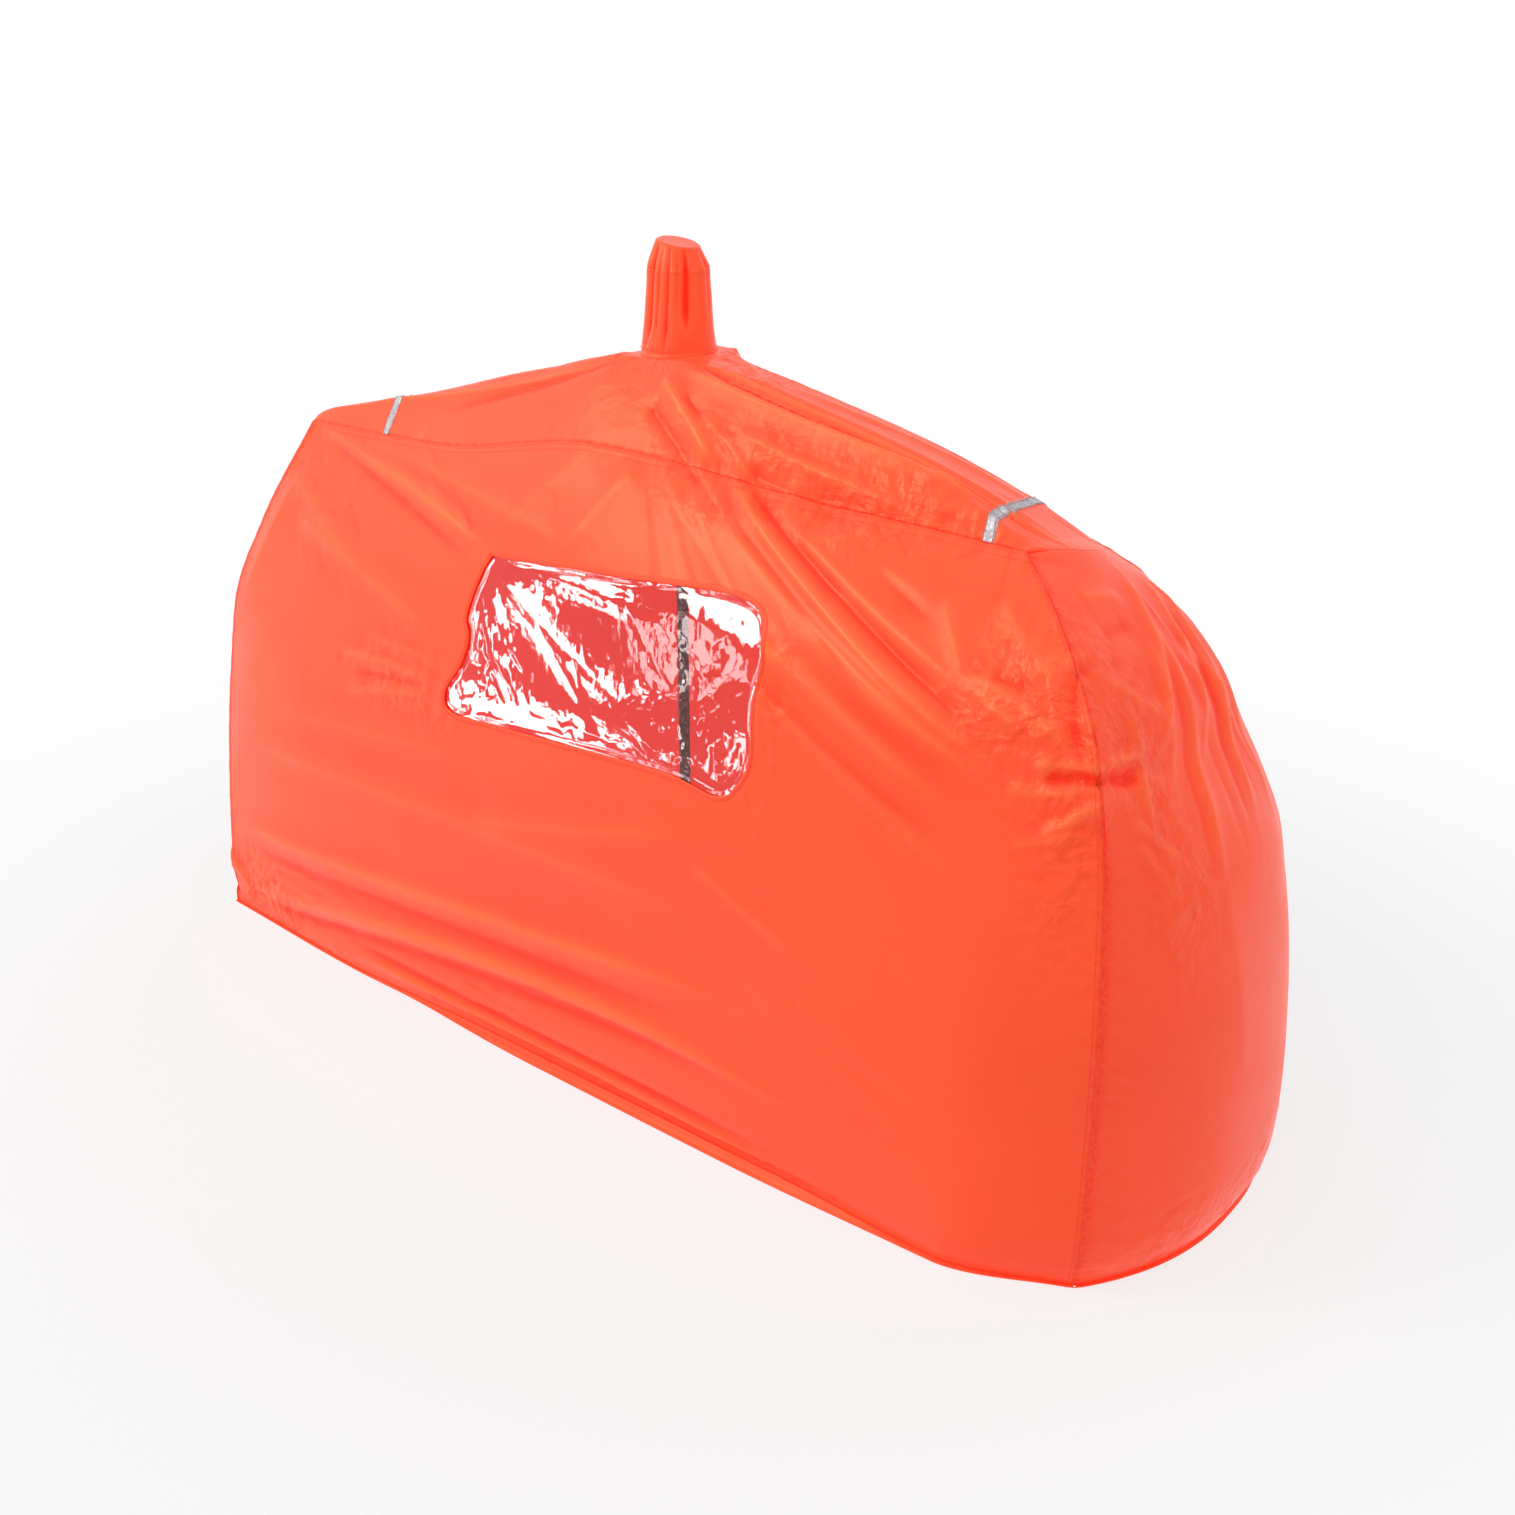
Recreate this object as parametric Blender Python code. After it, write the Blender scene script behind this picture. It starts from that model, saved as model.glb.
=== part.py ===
"""Two-person group shelter, standing on one telescopic walking pole.

Metres, +Z up. The wall with the window faces -Y. Everything is laid out from the pole's axis, and the
finished model then hangs on one empty that brings the middle of its plan box to the origin.
"""

import math

import bmesh
import bpy
import numpy as np
from mathutils import Matrix, Vector

# Cloth and seams
CLOTH = 0.0015
SEAM_GAP = 0.0003
CLEAR = 0.0003

# Outline of the shelter, measured from the pole
BASE_HALF_LENGTH = 0.704
EAVE_REACH_RIGHT = 0.529
EAVE_REACH_LEFT = 0.556
BASE_DEPTH_RIGHT = 0.225
BASE_DEPTH_LEFT = 0.187
EAVE_DEPTH = 0.093
EAVE_HEIGHT = 0.704
EAVE_RISE = 0.042
EAVE_BULGE = 0.032
END_BULGE_RIGHT = 0.065
END_BULGE_LEFT = 0.015
WALL_BELLY = 0.035
BASE_BELLY = 0.045

# Corner seams: share of the height, share of the way from the base corner to the eave corner
RIGHT_SEAM_WAY = [(0, 0), (0.09, -0.06), (0.35, -0.09), (0.6, -0.05), (0.785, 0.1), (0.94, 0.61), (1, 1)]
LEFT_SEAM_WAY = [(0, 0), (0.35, -0.045), (0.62, 0.005), (0.8, 0.37), (1, 1)]
LEFT_DEPTH_POWER = 1.4
# End walls: share of the height, share of the end bulge
RIGHT_END_SWELL = [(0, 1), (0.15, 1.12), (0.33, 1.05), (0.58, 0.8), (0.68, 0.42), (0.76, 0.12), (0.94, 0.15), (1, 0.42)]
LEFT_END_SWELL = [(0, 0.8), (0.3, 1.1), (0.62, 0.9), (1, 1.1)]
# Along the eave and the ground, left to right
EAVE_RISE_SHARE = [(0, 0), (0.25, 0.15), (0.5, 1), (0.75, 0.52), (1, 0)]
EAVE_BULGE_SHARE = [(0, 0), (0.25, 0.7), (0.5, 1), (0.75, 0.7), (1, 0)]
BASE_BELLY_SHARE = [(0, 0), (0.25, 0.67), (0.5, 0.9), (0.75, 1.12), (0.9, 1.2), (1, 0)]
CORNER_SHARPNESS = 7
END_ROUNDNESS = 2.4
END_LEAN = 0.12

# The rear is a little narrower than the front, because the pole leans the cloth forwards
REAR_DEPTH_SHARE = [(0, 0.9), (0.5, 0.8), (0.8, 0.72), (1, 0.74)]
REAR_INSET = [(0, 0.018), (0.6, 0.045), (0.8, 0.062), (1, 0.022)]
REAR_DROP = 0.022

# Roof and chimney
VENT_RADIUS = 0.0435
ROOF_RISE = 0.134
VENT_HEIGHT = EAVE_HEIGHT + ROOF_RISE
VENT_LEVEL = VENT_RADIUS + 0.0035
SHOULDER_RISE_RIGHT = 0.0
SHOULDER_RISE_LEFT = 0.006
RIDGE_SHARE_RIGHT = [(0, 0), (0.06, 0.045), (0.32, 0.255), (0.63, 0.535), (0.9, 0.86), (1, 1)]
RIDGE_SHARE_LEFT = [(0, 0), (0.19, 0.25), (0.31, 0.37), (0.6, 0.69), (0.87, 0.93), (1, 1)]
ROOF_FLAT_SPREAD = 0.075
ROOF_FLAT_LIMIT = 0.88
ROOF_REAR_FLAT = 0.35
ROOF_DROP_POWER = 1.3
ROOF_TILT = 0.14
CHIMNEY_LENGTH = 0.091
CAP_HEIGHT = 0.0285
CHIMNEY_SEAM_HEIGHT = VENT_HEIGHT + CHIMNEY_LENGTH
CHIMNEY_TOP_HEIGHT = CHIMNEY_SEAM_HEIGHT + CAP_HEIGHT
CHIMNEY_SEAM_RADIUS = 0.0368
CHIMNEY_TOP_RADIUS = 0.0246
CHIMNEY_SLANT = 0.22
CHIMNEY_SHIFT = 0.001
PLEAT_DEPTH = 0.0045
PLEAT_WIDTH = 15.0
PLEAT_ANGLES = (-112.0, -80.0, -48.0, 75.0, 160.0)

# Main folds of the front wall: start and end (x, z), height, half width
FRONT_FOLDS = [
    ((0.10, 0.74), (0.43, 0.53), 0.010, 0.030),
    ((0.17, 0.74), (0.62, 0.53), 0.012, 0.034),
    ((0.14, 0.72), (0.52, 0.53), -0.008, 0.022),
    ((-0.53, 0.70), (0.01, 0.54), 0.008, 0.030),
    ((-0.64, 0.116), (0.25, 0.165), 0.006, 0.030),
    ((0.50, 0.62), (0.69, 0.52), 0.009, 0.030),
]
# Main folds of the roof: start and end (x, y), height, half width
ROOF_FOLDS = [
    ((0.05, -0.045), (0.52, -0.085), 0.005, 0.024),
    ((-0.05, -0.045), (-0.54, -0.080), 0.005, 0.024),
    ((0.06, 0.010), (0.50, -0.010), -0.004, 0.026),
    ((-0.06, 0.010), (-0.52, 0.000), -0.004, 0.026),
]
# Main folds of the right end wall: start and end (y, z), height, half width
END_FOLDS = [
    ((-0.10, 0.66), (-0.07, 0.40), 0.006, 0.022),
    ((0.02, 0.68), (0.03, 0.38), 0.005, 0.022),
    ((-0.21, 0.54), (-0.12, 0.50), -0.007, 0.020),
]

# Facets
COLUMNS = 30
VENT_COLUMNS = (14, 17)
ROWS = 16
ROW_CROWDING = 1.15
CROSSWAYS = (-1, -0.86, -0.68, -0.48, -0.27, 0, 0.28, 0.57, 0.75, 0.89, 1)
CHIMNEY_SIDES = 32
CHIMNEY_ROWS = 4
ROUND_SIDES = 24

# Window, as (x, z) corners on the front wall
WINDOW_CORNERS = [(-0.184, 0.421), (0.297, 0.427), (0.295, 0.632), (-0.150, 0.606)]
WINDOW_CORNER_RADIUS = 0.036
WINDOW_MARGIN = 0.012
FILM = 0.0009
BINDING_WIDTH = 0.009
BINDING_THICKNESS = 0.001

# Reflective tapes across the roof: distance from the pole, width and thickness
TAPE_RIGHT = 0.484
TAPE_LEFT = -0.395
TAPE_WIDTH = 0.013
TAPE_THICKNESS = 0.0006

# Ground hem and seats
HEM_WIDTH = 0.03
HEM_THICKNESS = 0.0015
SEAT_THICKNESS = 0.0015
SEAT_HALF_WIDTH = 0.13
SEAT_DEPTH = 0.34
SEAT_CORNER_RADIUS = 0.035

# Walking pole: outer diameter, walls, and heights of its parts in use
UPPER_DIAMETER = 0.016
SLIDING_GAP = 0.0003
UPPER_WALL = 0.0007
MIDDLE_WALL = 0.0007
LOWER_WALL = 0.001
MIDDLE_DIAMETER = UPPER_DIAMETER - 2 * (UPPER_WALL + SLIDING_GAP)
LOWER_DIAMETER = MIDDLE_DIAMETER - 2 * (MIDDLE_WALL + SLIDING_GAP)
UPPER_CLAMP_HEIGHT = 0.592
LOWER_CLAMP_HEIGHT = 0.236
MIDDLE_INSERT = 0.06
LOWER_INSERT = 0.16
END_PLUG_LENGTH = 0.018
GRIP_LENGTH = 0.118
GRIP_HEAD_RADIUS = 0.021
GRIP_HEAD_RISE = 0.024
SHAFT_IN_GRIP = 0.105
PATCH_RADIUS = 0.017
PATCH_THICKNESS = 0.0012

# Grip outline: share of its length from the bottom, half width along X, half width along Y
GRIP_SECTIONS = [
    (0.0, 0.0115, 0.0115),
    (0.06, 0.0145, 0.0155),
    (0.2, 0.0128, 0.0145),
    (0.42, 0.0138, 0.0165),
    (0.62, 0.0128, 0.015),
    (0.82, 0.0148, 0.0175),
    (0.96, 0.0165, 0.0195),
    (1.0, 0.0155, 0.0185),
]

# Lever clamps
CLAMP_HEIGHT = 0.024
CLAMP_WALL = 0.003
CLAMP_SLOT = 0.0016
CLAMP_EAR_REACH = 0.0055
CLAMP_EAR_HALF_WIDTH = 0.0046
CLAMP_EAR_HEIGHT = 0.011
PIN_RADIUS = 0.0015
PIN_GAP = 0.0003
KNUCKLE_RADIUS = PIN_RADIUS + 0.0019
PIN_OFFSET = KNUCKLE_RADIUS + 0.0007
LUG_REACH = PIN_OFFSET + PIN_RADIUS + 0.0019
LUG_HALF_WIDTH = PIN_RADIUS + 0.0027
LEVER_HEIGHT = 0.0114
LEVER_THICKNESS = 0.0024
LEVER_GAP = 0.0008
LEVER_SPAN = 118.0
LUG_SLOT = LEVER_HEIGHT + 0.0012
SCREW_RADIUS = 0.0014
SCREW_HEAD_RADIUS = 0.0027
SCREW_HEAD_LENGTH = 0.0018

# Tip and basket
TIP_LENGTH = 0.012
TIP_POINT_RADIUS = 0.0016
TIP_SHANK_RADIUS = 0.0028
TIP_HOLDER_BASE = 0.008
TIP_HOLDER_TOP = 0.078
TIP_HOLDER_WALL = 0.002
TIP_SOCKET_DEPTH = 0.045
BASKET_HEIGHT = 0.05
BASKET_RADIUS = 0.025
BASKET_THICKNESS = 0.003
BASKET_HUB_WALL = 0.0025
BASKET_HUB_HEIGHT = 0.009
BASKET_HOLES = 6
BASKET_RIM_WIDTH = 0.0042
BASKET_WEB = 0.0009


def clear_scene():
    """Start from an empty scene."""
    for obj in list(bpy.data.objects):
        bpy.data.objects.remove(obj, do_unlink=True)


def material(name, colour, roughness, metallic=0.0, alpha=1.0):
    """A plain Principled material of the sub-part's own."""
    made = bpy.data.materials.new(name)
    made.use_nodes = True
    shader = made.node_tree.nodes["Principled BSDF"]
    shader.inputs["Base Color"].default_value = (*colour, 1.0)
    shader.inputs["Roughness"].default_value = roughness
    shader.inputs["Metallic"].default_value = metallic
    shader.inputs["Alpha"].default_value = alpha
    return made


ORANGE = (0.9, 0.11, 0.05)
SILVER = (0.75, 0.75, 0.77)
CLEAR_FILM = (0.95, 0.9, 0.9)
BLACK = (0.02, 0.02, 0.022)
GREY = (0.12, 0.12, 0.13)
STEEL = (0.6, 0.6, 0.62)


def add_object(name, mesh_or_bm, colour, roughness, metallic=0.0, alpha=1.0, smooth=40.0):
    """Turn a bmesh into a named object with its own material."""
    mesh = bpy.data.meshes.new(name)
    mesh_or_bm.to_mesh(mesh)
    mesh_or_bm.free()
    mesh.materials.append(material(name, colour, roughness, metallic, alpha))
    mesh.shade_smooth()
    mesh.set_sharp_from_angle(angle=math.radians(smooth))
    obj = bpy.data.objects.new(name, mesh)
    bpy.context.scene.collection.objects.link(obj)
    return obj


def smooth_through(knots, x):
    """Smooth curve through (position, value) knots that never overshoots them."""
    places = np.array([knot[0] for knot in knots], float)
    values = np.array([knot[1] for knot in knots], float)
    steps = np.diff(places)
    slopes = np.diff(values) / steps
    tangents = np.empty(len(places))
    tangents[0] = slopes[0]
    tangents[-1] = slopes[-1]
    for i in range(1, len(places) - 1):
        before, after = slopes[i - 1], slopes[i]
        if before * after <= 0:
            tangents[i] = 0.0
            continue
        near = 2 * steps[i] + steps[i - 1]
        far = steps[i] + 2 * steps[i - 1]
        tangents[i] = (near + far) / (near / before + far / after)
    x = np.clip(np.asarray(x, float), places[0], places[-1])
    i = np.clip(np.searchsorted(places, x, side="right") - 1, 0, len(places) - 2)
    t = (x - places[i]) / steps[i]
    rise = values[i] * (1 + 2 * t) * (1 - t) ** 2 + values[i + 1] * t * t * (3 - 2 * t)
    lean = tangents[i] * t * (1 - t) ** 2 + tangents[i + 1] * t * t * (t - 1)
    return rise + steps[i] * lean


def between(start, end, share):
    return start + (end - start) * share


# The skin: long walls, end walls and roof meet along shared seam lines


def long_wall(s, t, rear=False):
    """Front or rear wall: s runs 0 left to 1 right, t runs 0 ground to 1 eave."""
    right = between(BASE_HALF_LENGTH, EAVE_REACH_RIGHT, smooth_through(RIGHT_SEAM_WAY, t))
    left = -between(BASE_HALF_LENGTH, EAVE_REACH_LEFT, smooth_through(LEFT_SEAM_WAY, t))
    depth_right = between(BASE_DEPTH_RIGHT, EAVE_DEPTH, smooth_through(RIGHT_SEAM_WAY, t))
    depth_left = between(BASE_DEPTH_LEFT, EAVE_DEPTH, t**LEFT_DEPTH_POWER)
    height = EAVE_HEIGHT + EAVE_RISE * smooth_through(EAVE_RISE_SHARE, s)
    z = t * height
    if rear:
        right = right - smooth_through(REAR_INSET, t)
        z = z - t * REAR_DROP * (s**3 + 0.3 * (1 - s) ** 3)
    x = between(left, right, s)
    away_from_seams = 1 - np.abs(2 * s - 1) ** CORNER_SHARPNESS
    depth = between(depth_left, depth_right, s)
    depth = depth + BASE_BELLY * smooth_through(BASE_BELLY_SHARE, s) * (1 - t) ** 2
    depth = depth + EAVE_BULGE * smooth_through(EAVE_BULGE_SHARE, s) * t**2
    depth = depth + WALL_BELLY * away_from_seams * np.sin(np.pi * t)
    if rear:
        return np.stack([x, depth * smooth_through(REAR_DEPTH_SHARE, t), z], -1)
    return np.stack([x, -depth, z], -1)


def end_wall(u, t, right=True):
    """End wall: u runs -1 front seam to 1 rear seam, t runs 0 ground to 1 shoulder."""
    s = np.full_like(t, 1.0 if right else 0.0)
    front = long_wall(s, t)
    rear = long_wall(s, t, rear=True)
    across = (u + 1) / 2
    point = front + (rear - front) * across[..., None]
    swell = smooth_through(RIGHT_END_SWELL, t) * END_BULGE_RIGHT
    side = 1.0
    if not right:
        swell = smooth_through(LEFT_END_SWELL, t) * END_BULGE_LEFT
        side = -1.0
    crown = 1 - np.abs(u) ** END_ROUNDNESS
    point[..., 0] += (front[..., 0] + side * swell - point[..., 0]) * crown * (1 - END_LEAN * u)
    rise = SHOULDER_RISE_RIGHT if right else SHOULDER_RISE_LEFT
    point[..., 2] += (rise - ROOF_TILT * u * EAVE_DEPTH * 0.5) * crown * t**4
    return point


def ridge_height(x):
    """Height of the roof's middle line: level at the chimney, then falling to both shoulders."""
    reach = np.where(x > 0, EAVE_REACH_RIGHT, EAVE_REACH_LEFT)
    fall = ROOF_RISE - np.where(x > 0, SHOULDER_RISE_RIGHT, SHOULDER_RISE_LEFT)
    share = np.clip((np.abs(x) - VENT_LEVEL) / (reach - VENT_LEVEL), 0, 1)
    right = smooth_through(RIDGE_SHARE_RIGHT, share)
    left = smooth_through(RIDGE_SHARE_LEFT, share)
    return VENT_HEIGHT - fall * np.where(x > 0, right, left)


def roof(s, u):
    """Roof: s runs 0 left to 1 right, u runs -1 front eave to 1 rear eave."""
    top = np.ones_like(s)
    front = long_wall(s, top)
    rear = long_wall(s, top, rear=True)
    across = (u + 1) / 2
    point = front + (rear - front) * across[..., None]
    crown = 1 - np.abs(u) ** END_ROUNDNESS
    right_end = smooth_through(RIGHT_END_SWELL, 1.0) * END_BULGE_RIGHT
    left_end = smooth_through(LEFT_END_SWELL, 1.0) * END_BULGE_LEFT
    end_share = np.abs(2 * s - 1) ** 6
    ends = np.where(s > 0.5, right_end, -left_end)
    lean = np.where(s > 0.5, 1 - END_LEAN * u, 1 + END_LEAN * u)
    point[..., 0] += (front[..., 0] + ends - point[..., 0]) * end_share * crown * lean
    x, y, eave = point[..., 0], point[..., 1], point[..., 2].copy()
    half_width = np.abs(np.where(u < 0, front[..., 1], rear[..., 1]))
    flat = VENT_LEVEL + ROOF_FLAT_SPREAD * np.abs(x)
    behind = np.maximum(flat * ROOF_REAR_FLAT, VENT_LEVEL - 1.5 * np.maximum(0, np.abs(x) - VENT_LEVEL))
    flat = np.where(y < 0, flat, behind)
    flat = np.minimum(flat, ROOF_FLAT_LIMIT * half_width)
    drop = np.maximum(0, (np.abs(y) - flat) / (half_width - flat)) ** ROOF_DROP_POWER
    ridge = ridge_height(x) - ROOF_TILT * y * np.minimum(1, np.abs(x) / EAVE_REACH_RIGHT)
    tent = eave + (ridge - eave) * (1 - drop)
    rise = np.where(s > 0.5, SHOULDER_RISE_RIGHT, SHOULDER_RISE_LEFT)
    end_height = eave + (rise - ROOF_TILT * u * EAVE_DEPTH * 0.5) * crown
    end_blend = np.abs(2 * s - 1) ** 24
    point[..., 2] = between(tent, end_height, end_blend)
    return point


def fold_height(folds, a, b):
    """Sum of soft ridges and valleys, each along its own line in the wall's face."""
    height = np.zeros_like(a)
    for start, end, rise, half_width in folds:
        run = np.array(end) - np.array(start)
        length = np.hypot(*run)
        along = ((a - start[0]) * run[0] + (b - start[1]) * run[1]) / length**2
        off = ((a - start[0]) * run[1] - (b - start[1]) * run[0]) / length
        fade = np.sin(np.pi * np.clip(along, 0, 1)) ** 0.6
        height = height + rise * fade * np.exp(-((off / half_width) ** 2))
    return height


def wall_grid():
    """Columns that meet the level patch under the chimney, and rows that crowd towards the top."""
    reach = EAVE_REACH_LEFT + EAVE_REACH_RIGHT
    patch = [(EAVE_REACH_LEFT - VENT_LEVEL) / reach, (EAVE_REACH_LEFT + VENT_LEVEL) / reach]
    s = np.interp(np.arange(COLUMNS + 1), (0, *VENT_COLUMNS, COLUMNS), (0, *patch, 1))
    t = 1 - (1 - np.linspace(0, 1, ROWS + 1)) ** ROW_CROWDING
    return np.meshgrid(s, t)


def edge_fade(s, t):
    """1 inside a panel, falling to 0 at its edges, for s and t from 0 to 1."""
    return np.clip(16 * s * (1 - s), 0, 1) * np.clip(16 * t * (1 - t), 0, 1)


def make_skin():
    """Outer surface of each panel as a grid of points, with shared seam points."""
    s, t = wall_grid()
    front = long_wall(s, t)
    lift = fold_height(FRONT_FOLDS, front[..., 0], front[..., 2]) * edge_fade(s, t)
    front[..., 1] -= lift
    rear = long_wall(s, t, rear=True)
    u, t = np.meshgrid(CROSSWAYS, t[:, 0])
    right = end_wall(u, t)
    lift = fold_height(END_FOLDS, right[..., 1], right[..., 2]) * edge_fade((u + 1) / 2, t)
    right[..., 0] += lift
    left = end_wall(u, t, right=False)
    s, u = np.meshgrid(s[0], CROSSWAYS)
    top = roof(s, u)
    lift = fold_height(ROOF_FOLDS, top[..., 0], top[..., 1]) * edge_fade(s, (u + 1) / 2)
    top[..., 2] += lift
    top[:, -1] = right[-1]
    top[:, 0] = left[-1]
    return {"front": front, "rear": rear, "right": right, "left": left, "roof": top}


FLIPPED = {"rear", "left"}


def corner_triangles(rows, columns, flipped):
    """Indices of the two triangles of every cell."""
    faces = []
    for row in range(rows):
        for column in range(columns):
            a = row * (columns + 1) + column
            b, c, d = a + 1, a + columns + 2, a + columns + 1
            pair = [(a, b, c), (a, c, d)]
            faces += [face[::-1] for face in pair] if flipped else pair
    return faces


def skin_normals(skin):
    """Outward unit normals, averaged over every panel that shares a point."""
    totals = {}
    for name, points in skin.items():
        flat = points.reshape(-1, 3)
        rows, columns = points.shape[0] - 1, points.shape[1] - 1
        for face in corner_triangles(rows, columns, name in FLIPPED):
            a, b, c = flat[list(face)]
            push = np.cross(b - a, c - a)
            for index in face:
                key = tuple(np.round(flat[index], 5))
                totals[key] = totals.get(key, 0) + push
    normals = {}
    for name, points in skin.items():
        found = np.array([totals[tuple(np.round(p, 5))] for p in points.reshape(-1, 3)])
        found /= np.linalg.norm(found, axis=1)[:, None]
        normals[name] = found.reshape(points.shape)
    return normals


def draw_in(points, edges, distance):
    """Move the rim of a panel into the panel by a distance along the cloth."""
    moved = points.copy()
    rims = {
        "bottom": (np.s_[0, :], np.s_[1, :]),
        "top": (np.s_[-1, :], np.s_[-2, :]),
        "left": (np.s_[:, 0], np.s_[:, 1]),
        "right": (np.s_[:, -1], np.s_[:, -2]),
    }
    for edge in edges:
        rim, inner = rims[edge]
        way = points[inner] - points[rim]
        way /= np.linalg.norm(way, axis=-1)[..., None]
        moved[rim] += way * distance
    return moved


def closed_shell(outer, inner, flipped):
    """A closed sheet between two grids of points."""
    rows, columns = outer.shape[0] - 1, outer.shape[1] - 1
    count = outer.shape[0] * outer.shape[1]
    faces = corner_triangles(rows, columns, flipped)
    faces += [tuple(index + count for index in face[::-1]) for face in faces]
    rim = [column for column in range(columns + 1)]
    rim += [row * (columns + 1) + columns for row in range(1, rows + 1)]
    rim += [rows * (columns + 1) + column for column in range(columns - 1, -1, -1)]
    rim += [row * (columns + 1) for row in range(rows - 1, 0, -1)]
    for a, b in zip(rim, rim[1:] + rim[:1]):
        pair = [(a, b + count, b), (a, a + count, b + count)]
        faces += [face[::-1] for face in pair] if flipped else pair
    bm = bmesh.new()
    verts = [bm.verts.new(point) for point in np.concatenate([outer.reshape(-1, 3), inner.reshape(-1, 3)])]
    for face in faces:
        bm.faces.new([verts[index] for index in face])
    return bm


def cloth_panel(name, outer, normals, flipped, seams):
    """One panel of the skin, drawn back a little from its seams and standing on the hem."""
    push = normals.copy()
    push[0, :, 2] = 0
    push[0] /= np.linalg.norm(push[0], axis=-1)[..., None]
    outer = draw_in(outer, seams, SEAM_GAP / 2)
    outer[0, :, 2] += HEM_THICKNESS + CLEAR
    inner = outer - push * CLOTH
    return add_object(name, closed_shell(outer, inner, flipped), ORANGE, 0.35, smooth=80)


def layer(name, outer, normals, far, near, colour, roughness, alpha=1.0):
    """A sheet that follows the cloth, from one distance outside it to another."""
    bm = closed_shell(outer + normals * far, outer + normals * near, False)
    return add_object(name, bm, colour, roughness, alpha=alpha, smooth=80)


# Helpers for solids and cuts


def rounded_outline(corners, radius, steps=5):
    """Corner points with each corner rounded by an arc."""
    points = []
    count = len(corners)
    for i in range(count):
        here = Vector(corners[i])
        back = (Vector(corners[i - 1]) - here).normalized()
        ahead = (Vector(corners[(i + 1) % count]) - here).normalized()
        half_angle = back.angle(ahead) / 2
        centre = here + (back + ahead).normalized() * (radius / math.sin(half_angle))
        start = here + back * (radius / math.tan(half_angle)) - centre
        end = here + ahead * (radius / math.tan(half_angle)) - centre
        turn = start.angle_signed(end)
        for step in range(steps + 1):
            points.append(centre + Matrix.Rotation(-turn * step / steps, 2) @ start)
    return points


def grown_outline(corners, distance):
    """A convex outline with every side moved outwards by a distance."""
    count = len(corners)
    grown = []
    for i in range(count):
        here = Vector(corners[i])
        back = (Vector(corners[i - 1]) - here).normalized()
        ahead = (Vector(corners[(i + 1) % count]) - here).normalized()
        half_angle = back.angle(ahead) / 2
        grown.append(here - (back + ahead).normalized() * (distance / math.sin(half_angle)))
    return grown


def prism(points, low, high, axis):
    """A closed prism: 2-D points swept along Y or Z."""
    bm = bmesh.new()
    if axis == "Y":
        ring = [bm.verts.new((p[0], low, p[1])) for p in points]
        reach = Vector((0, high - low, 0))
    else:
        ring = [bm.verts.new((p[0], p[1], low)) for p in points]
        reach = Vector((0, 0, high - low))
    face = bm.faces.new(ring)
    swept = bmesh.ops.extrude_face_region(bm, geom=[face])
    moved = [item for item in swept["geom"] if isinstance(item, bmesh.types.BMVert)]
    bmesh.ops.translate(bm, verts=moved, vec=reach)
    bmesh.ops.recalc_face_normals(bm, faces=bm.faces)
    return bm


def guide(name, bm):
    """A cutter, kept out of the finished model."""
    obj = add_object(name, bm, GREY, 0.5)
    obj.hide_render = True
    obj.display_type = "WIRE"
    return obj


def cut(obj, cutter, operation="DIFFERENCE"):
    modifier = obj.modifiers.new(cutter.name, "BOOLEAN")
    modifier.operation = operation
    modifier.object = cutter
    modifier.solver = "EXACT"
    return modifier


def turned(profile, sides=ROUND_SIDES):
    """A solid turned about Z from a closed (radius, height) profile, wound clockwise in that plane."""
    bm = bmesh.new()
    rings = []
    for radius, height in profile:
        if radius < 1e-6:
            rings.append([bm.verts.new((0, 0, height))] * sides)
            continue
        ring = []
        for side in range(sides):
            angle = 2 * math.pi * side / sides
            ring.append(bm.verts.new((radius * math.cos(angle), radius * math.sin(angle), height)))
        rings.append(ring)
    for below, above in zip(rings, rings[1:] + rings[:1]):
        for side in range(sides):
            after = (side + 1) % sides
            corners = [below[side], below[after], above[after], above[side]]
            face = list(dict.fromkeys(corners))
            if len(face) > 2:
                bm.faces.new(face)
    bmesh.ops.recalc_face_normals(bm, faces=bm.faces)
    return bm


def tube_profile(outer, inner, low, high):
    return [(inner, low), (outer, low), (outer, high), (inner, high)]


def cylinder(radius, low, high, sides=ROUND_SIDES):
    return turned([(0, low), (radius, low), (radius, high), (0, high)], sides)


def block(x, y, z):
    """A box from three (low, high) pairs."""
    bm = bmesh.new()
    size = Vector((x[1] - x[0], y[1] - y[0], z[1] - z[0]))
    centre = Vector((x[1] + x[0], y[1] + y[0], z[1] + z[0])) / 2
    bmesh.ops.create_cube(bm, size=1.0, matrix=Matrix.Translation(centre) @ Matrix.Diagonal((*size, 1)))
    return bm


def lift(bm, height):
    bmesh.ops.translate(bm, verts=bm.verts, vec=(0, 0, height))
    return bm


# Cloth parts


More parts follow.
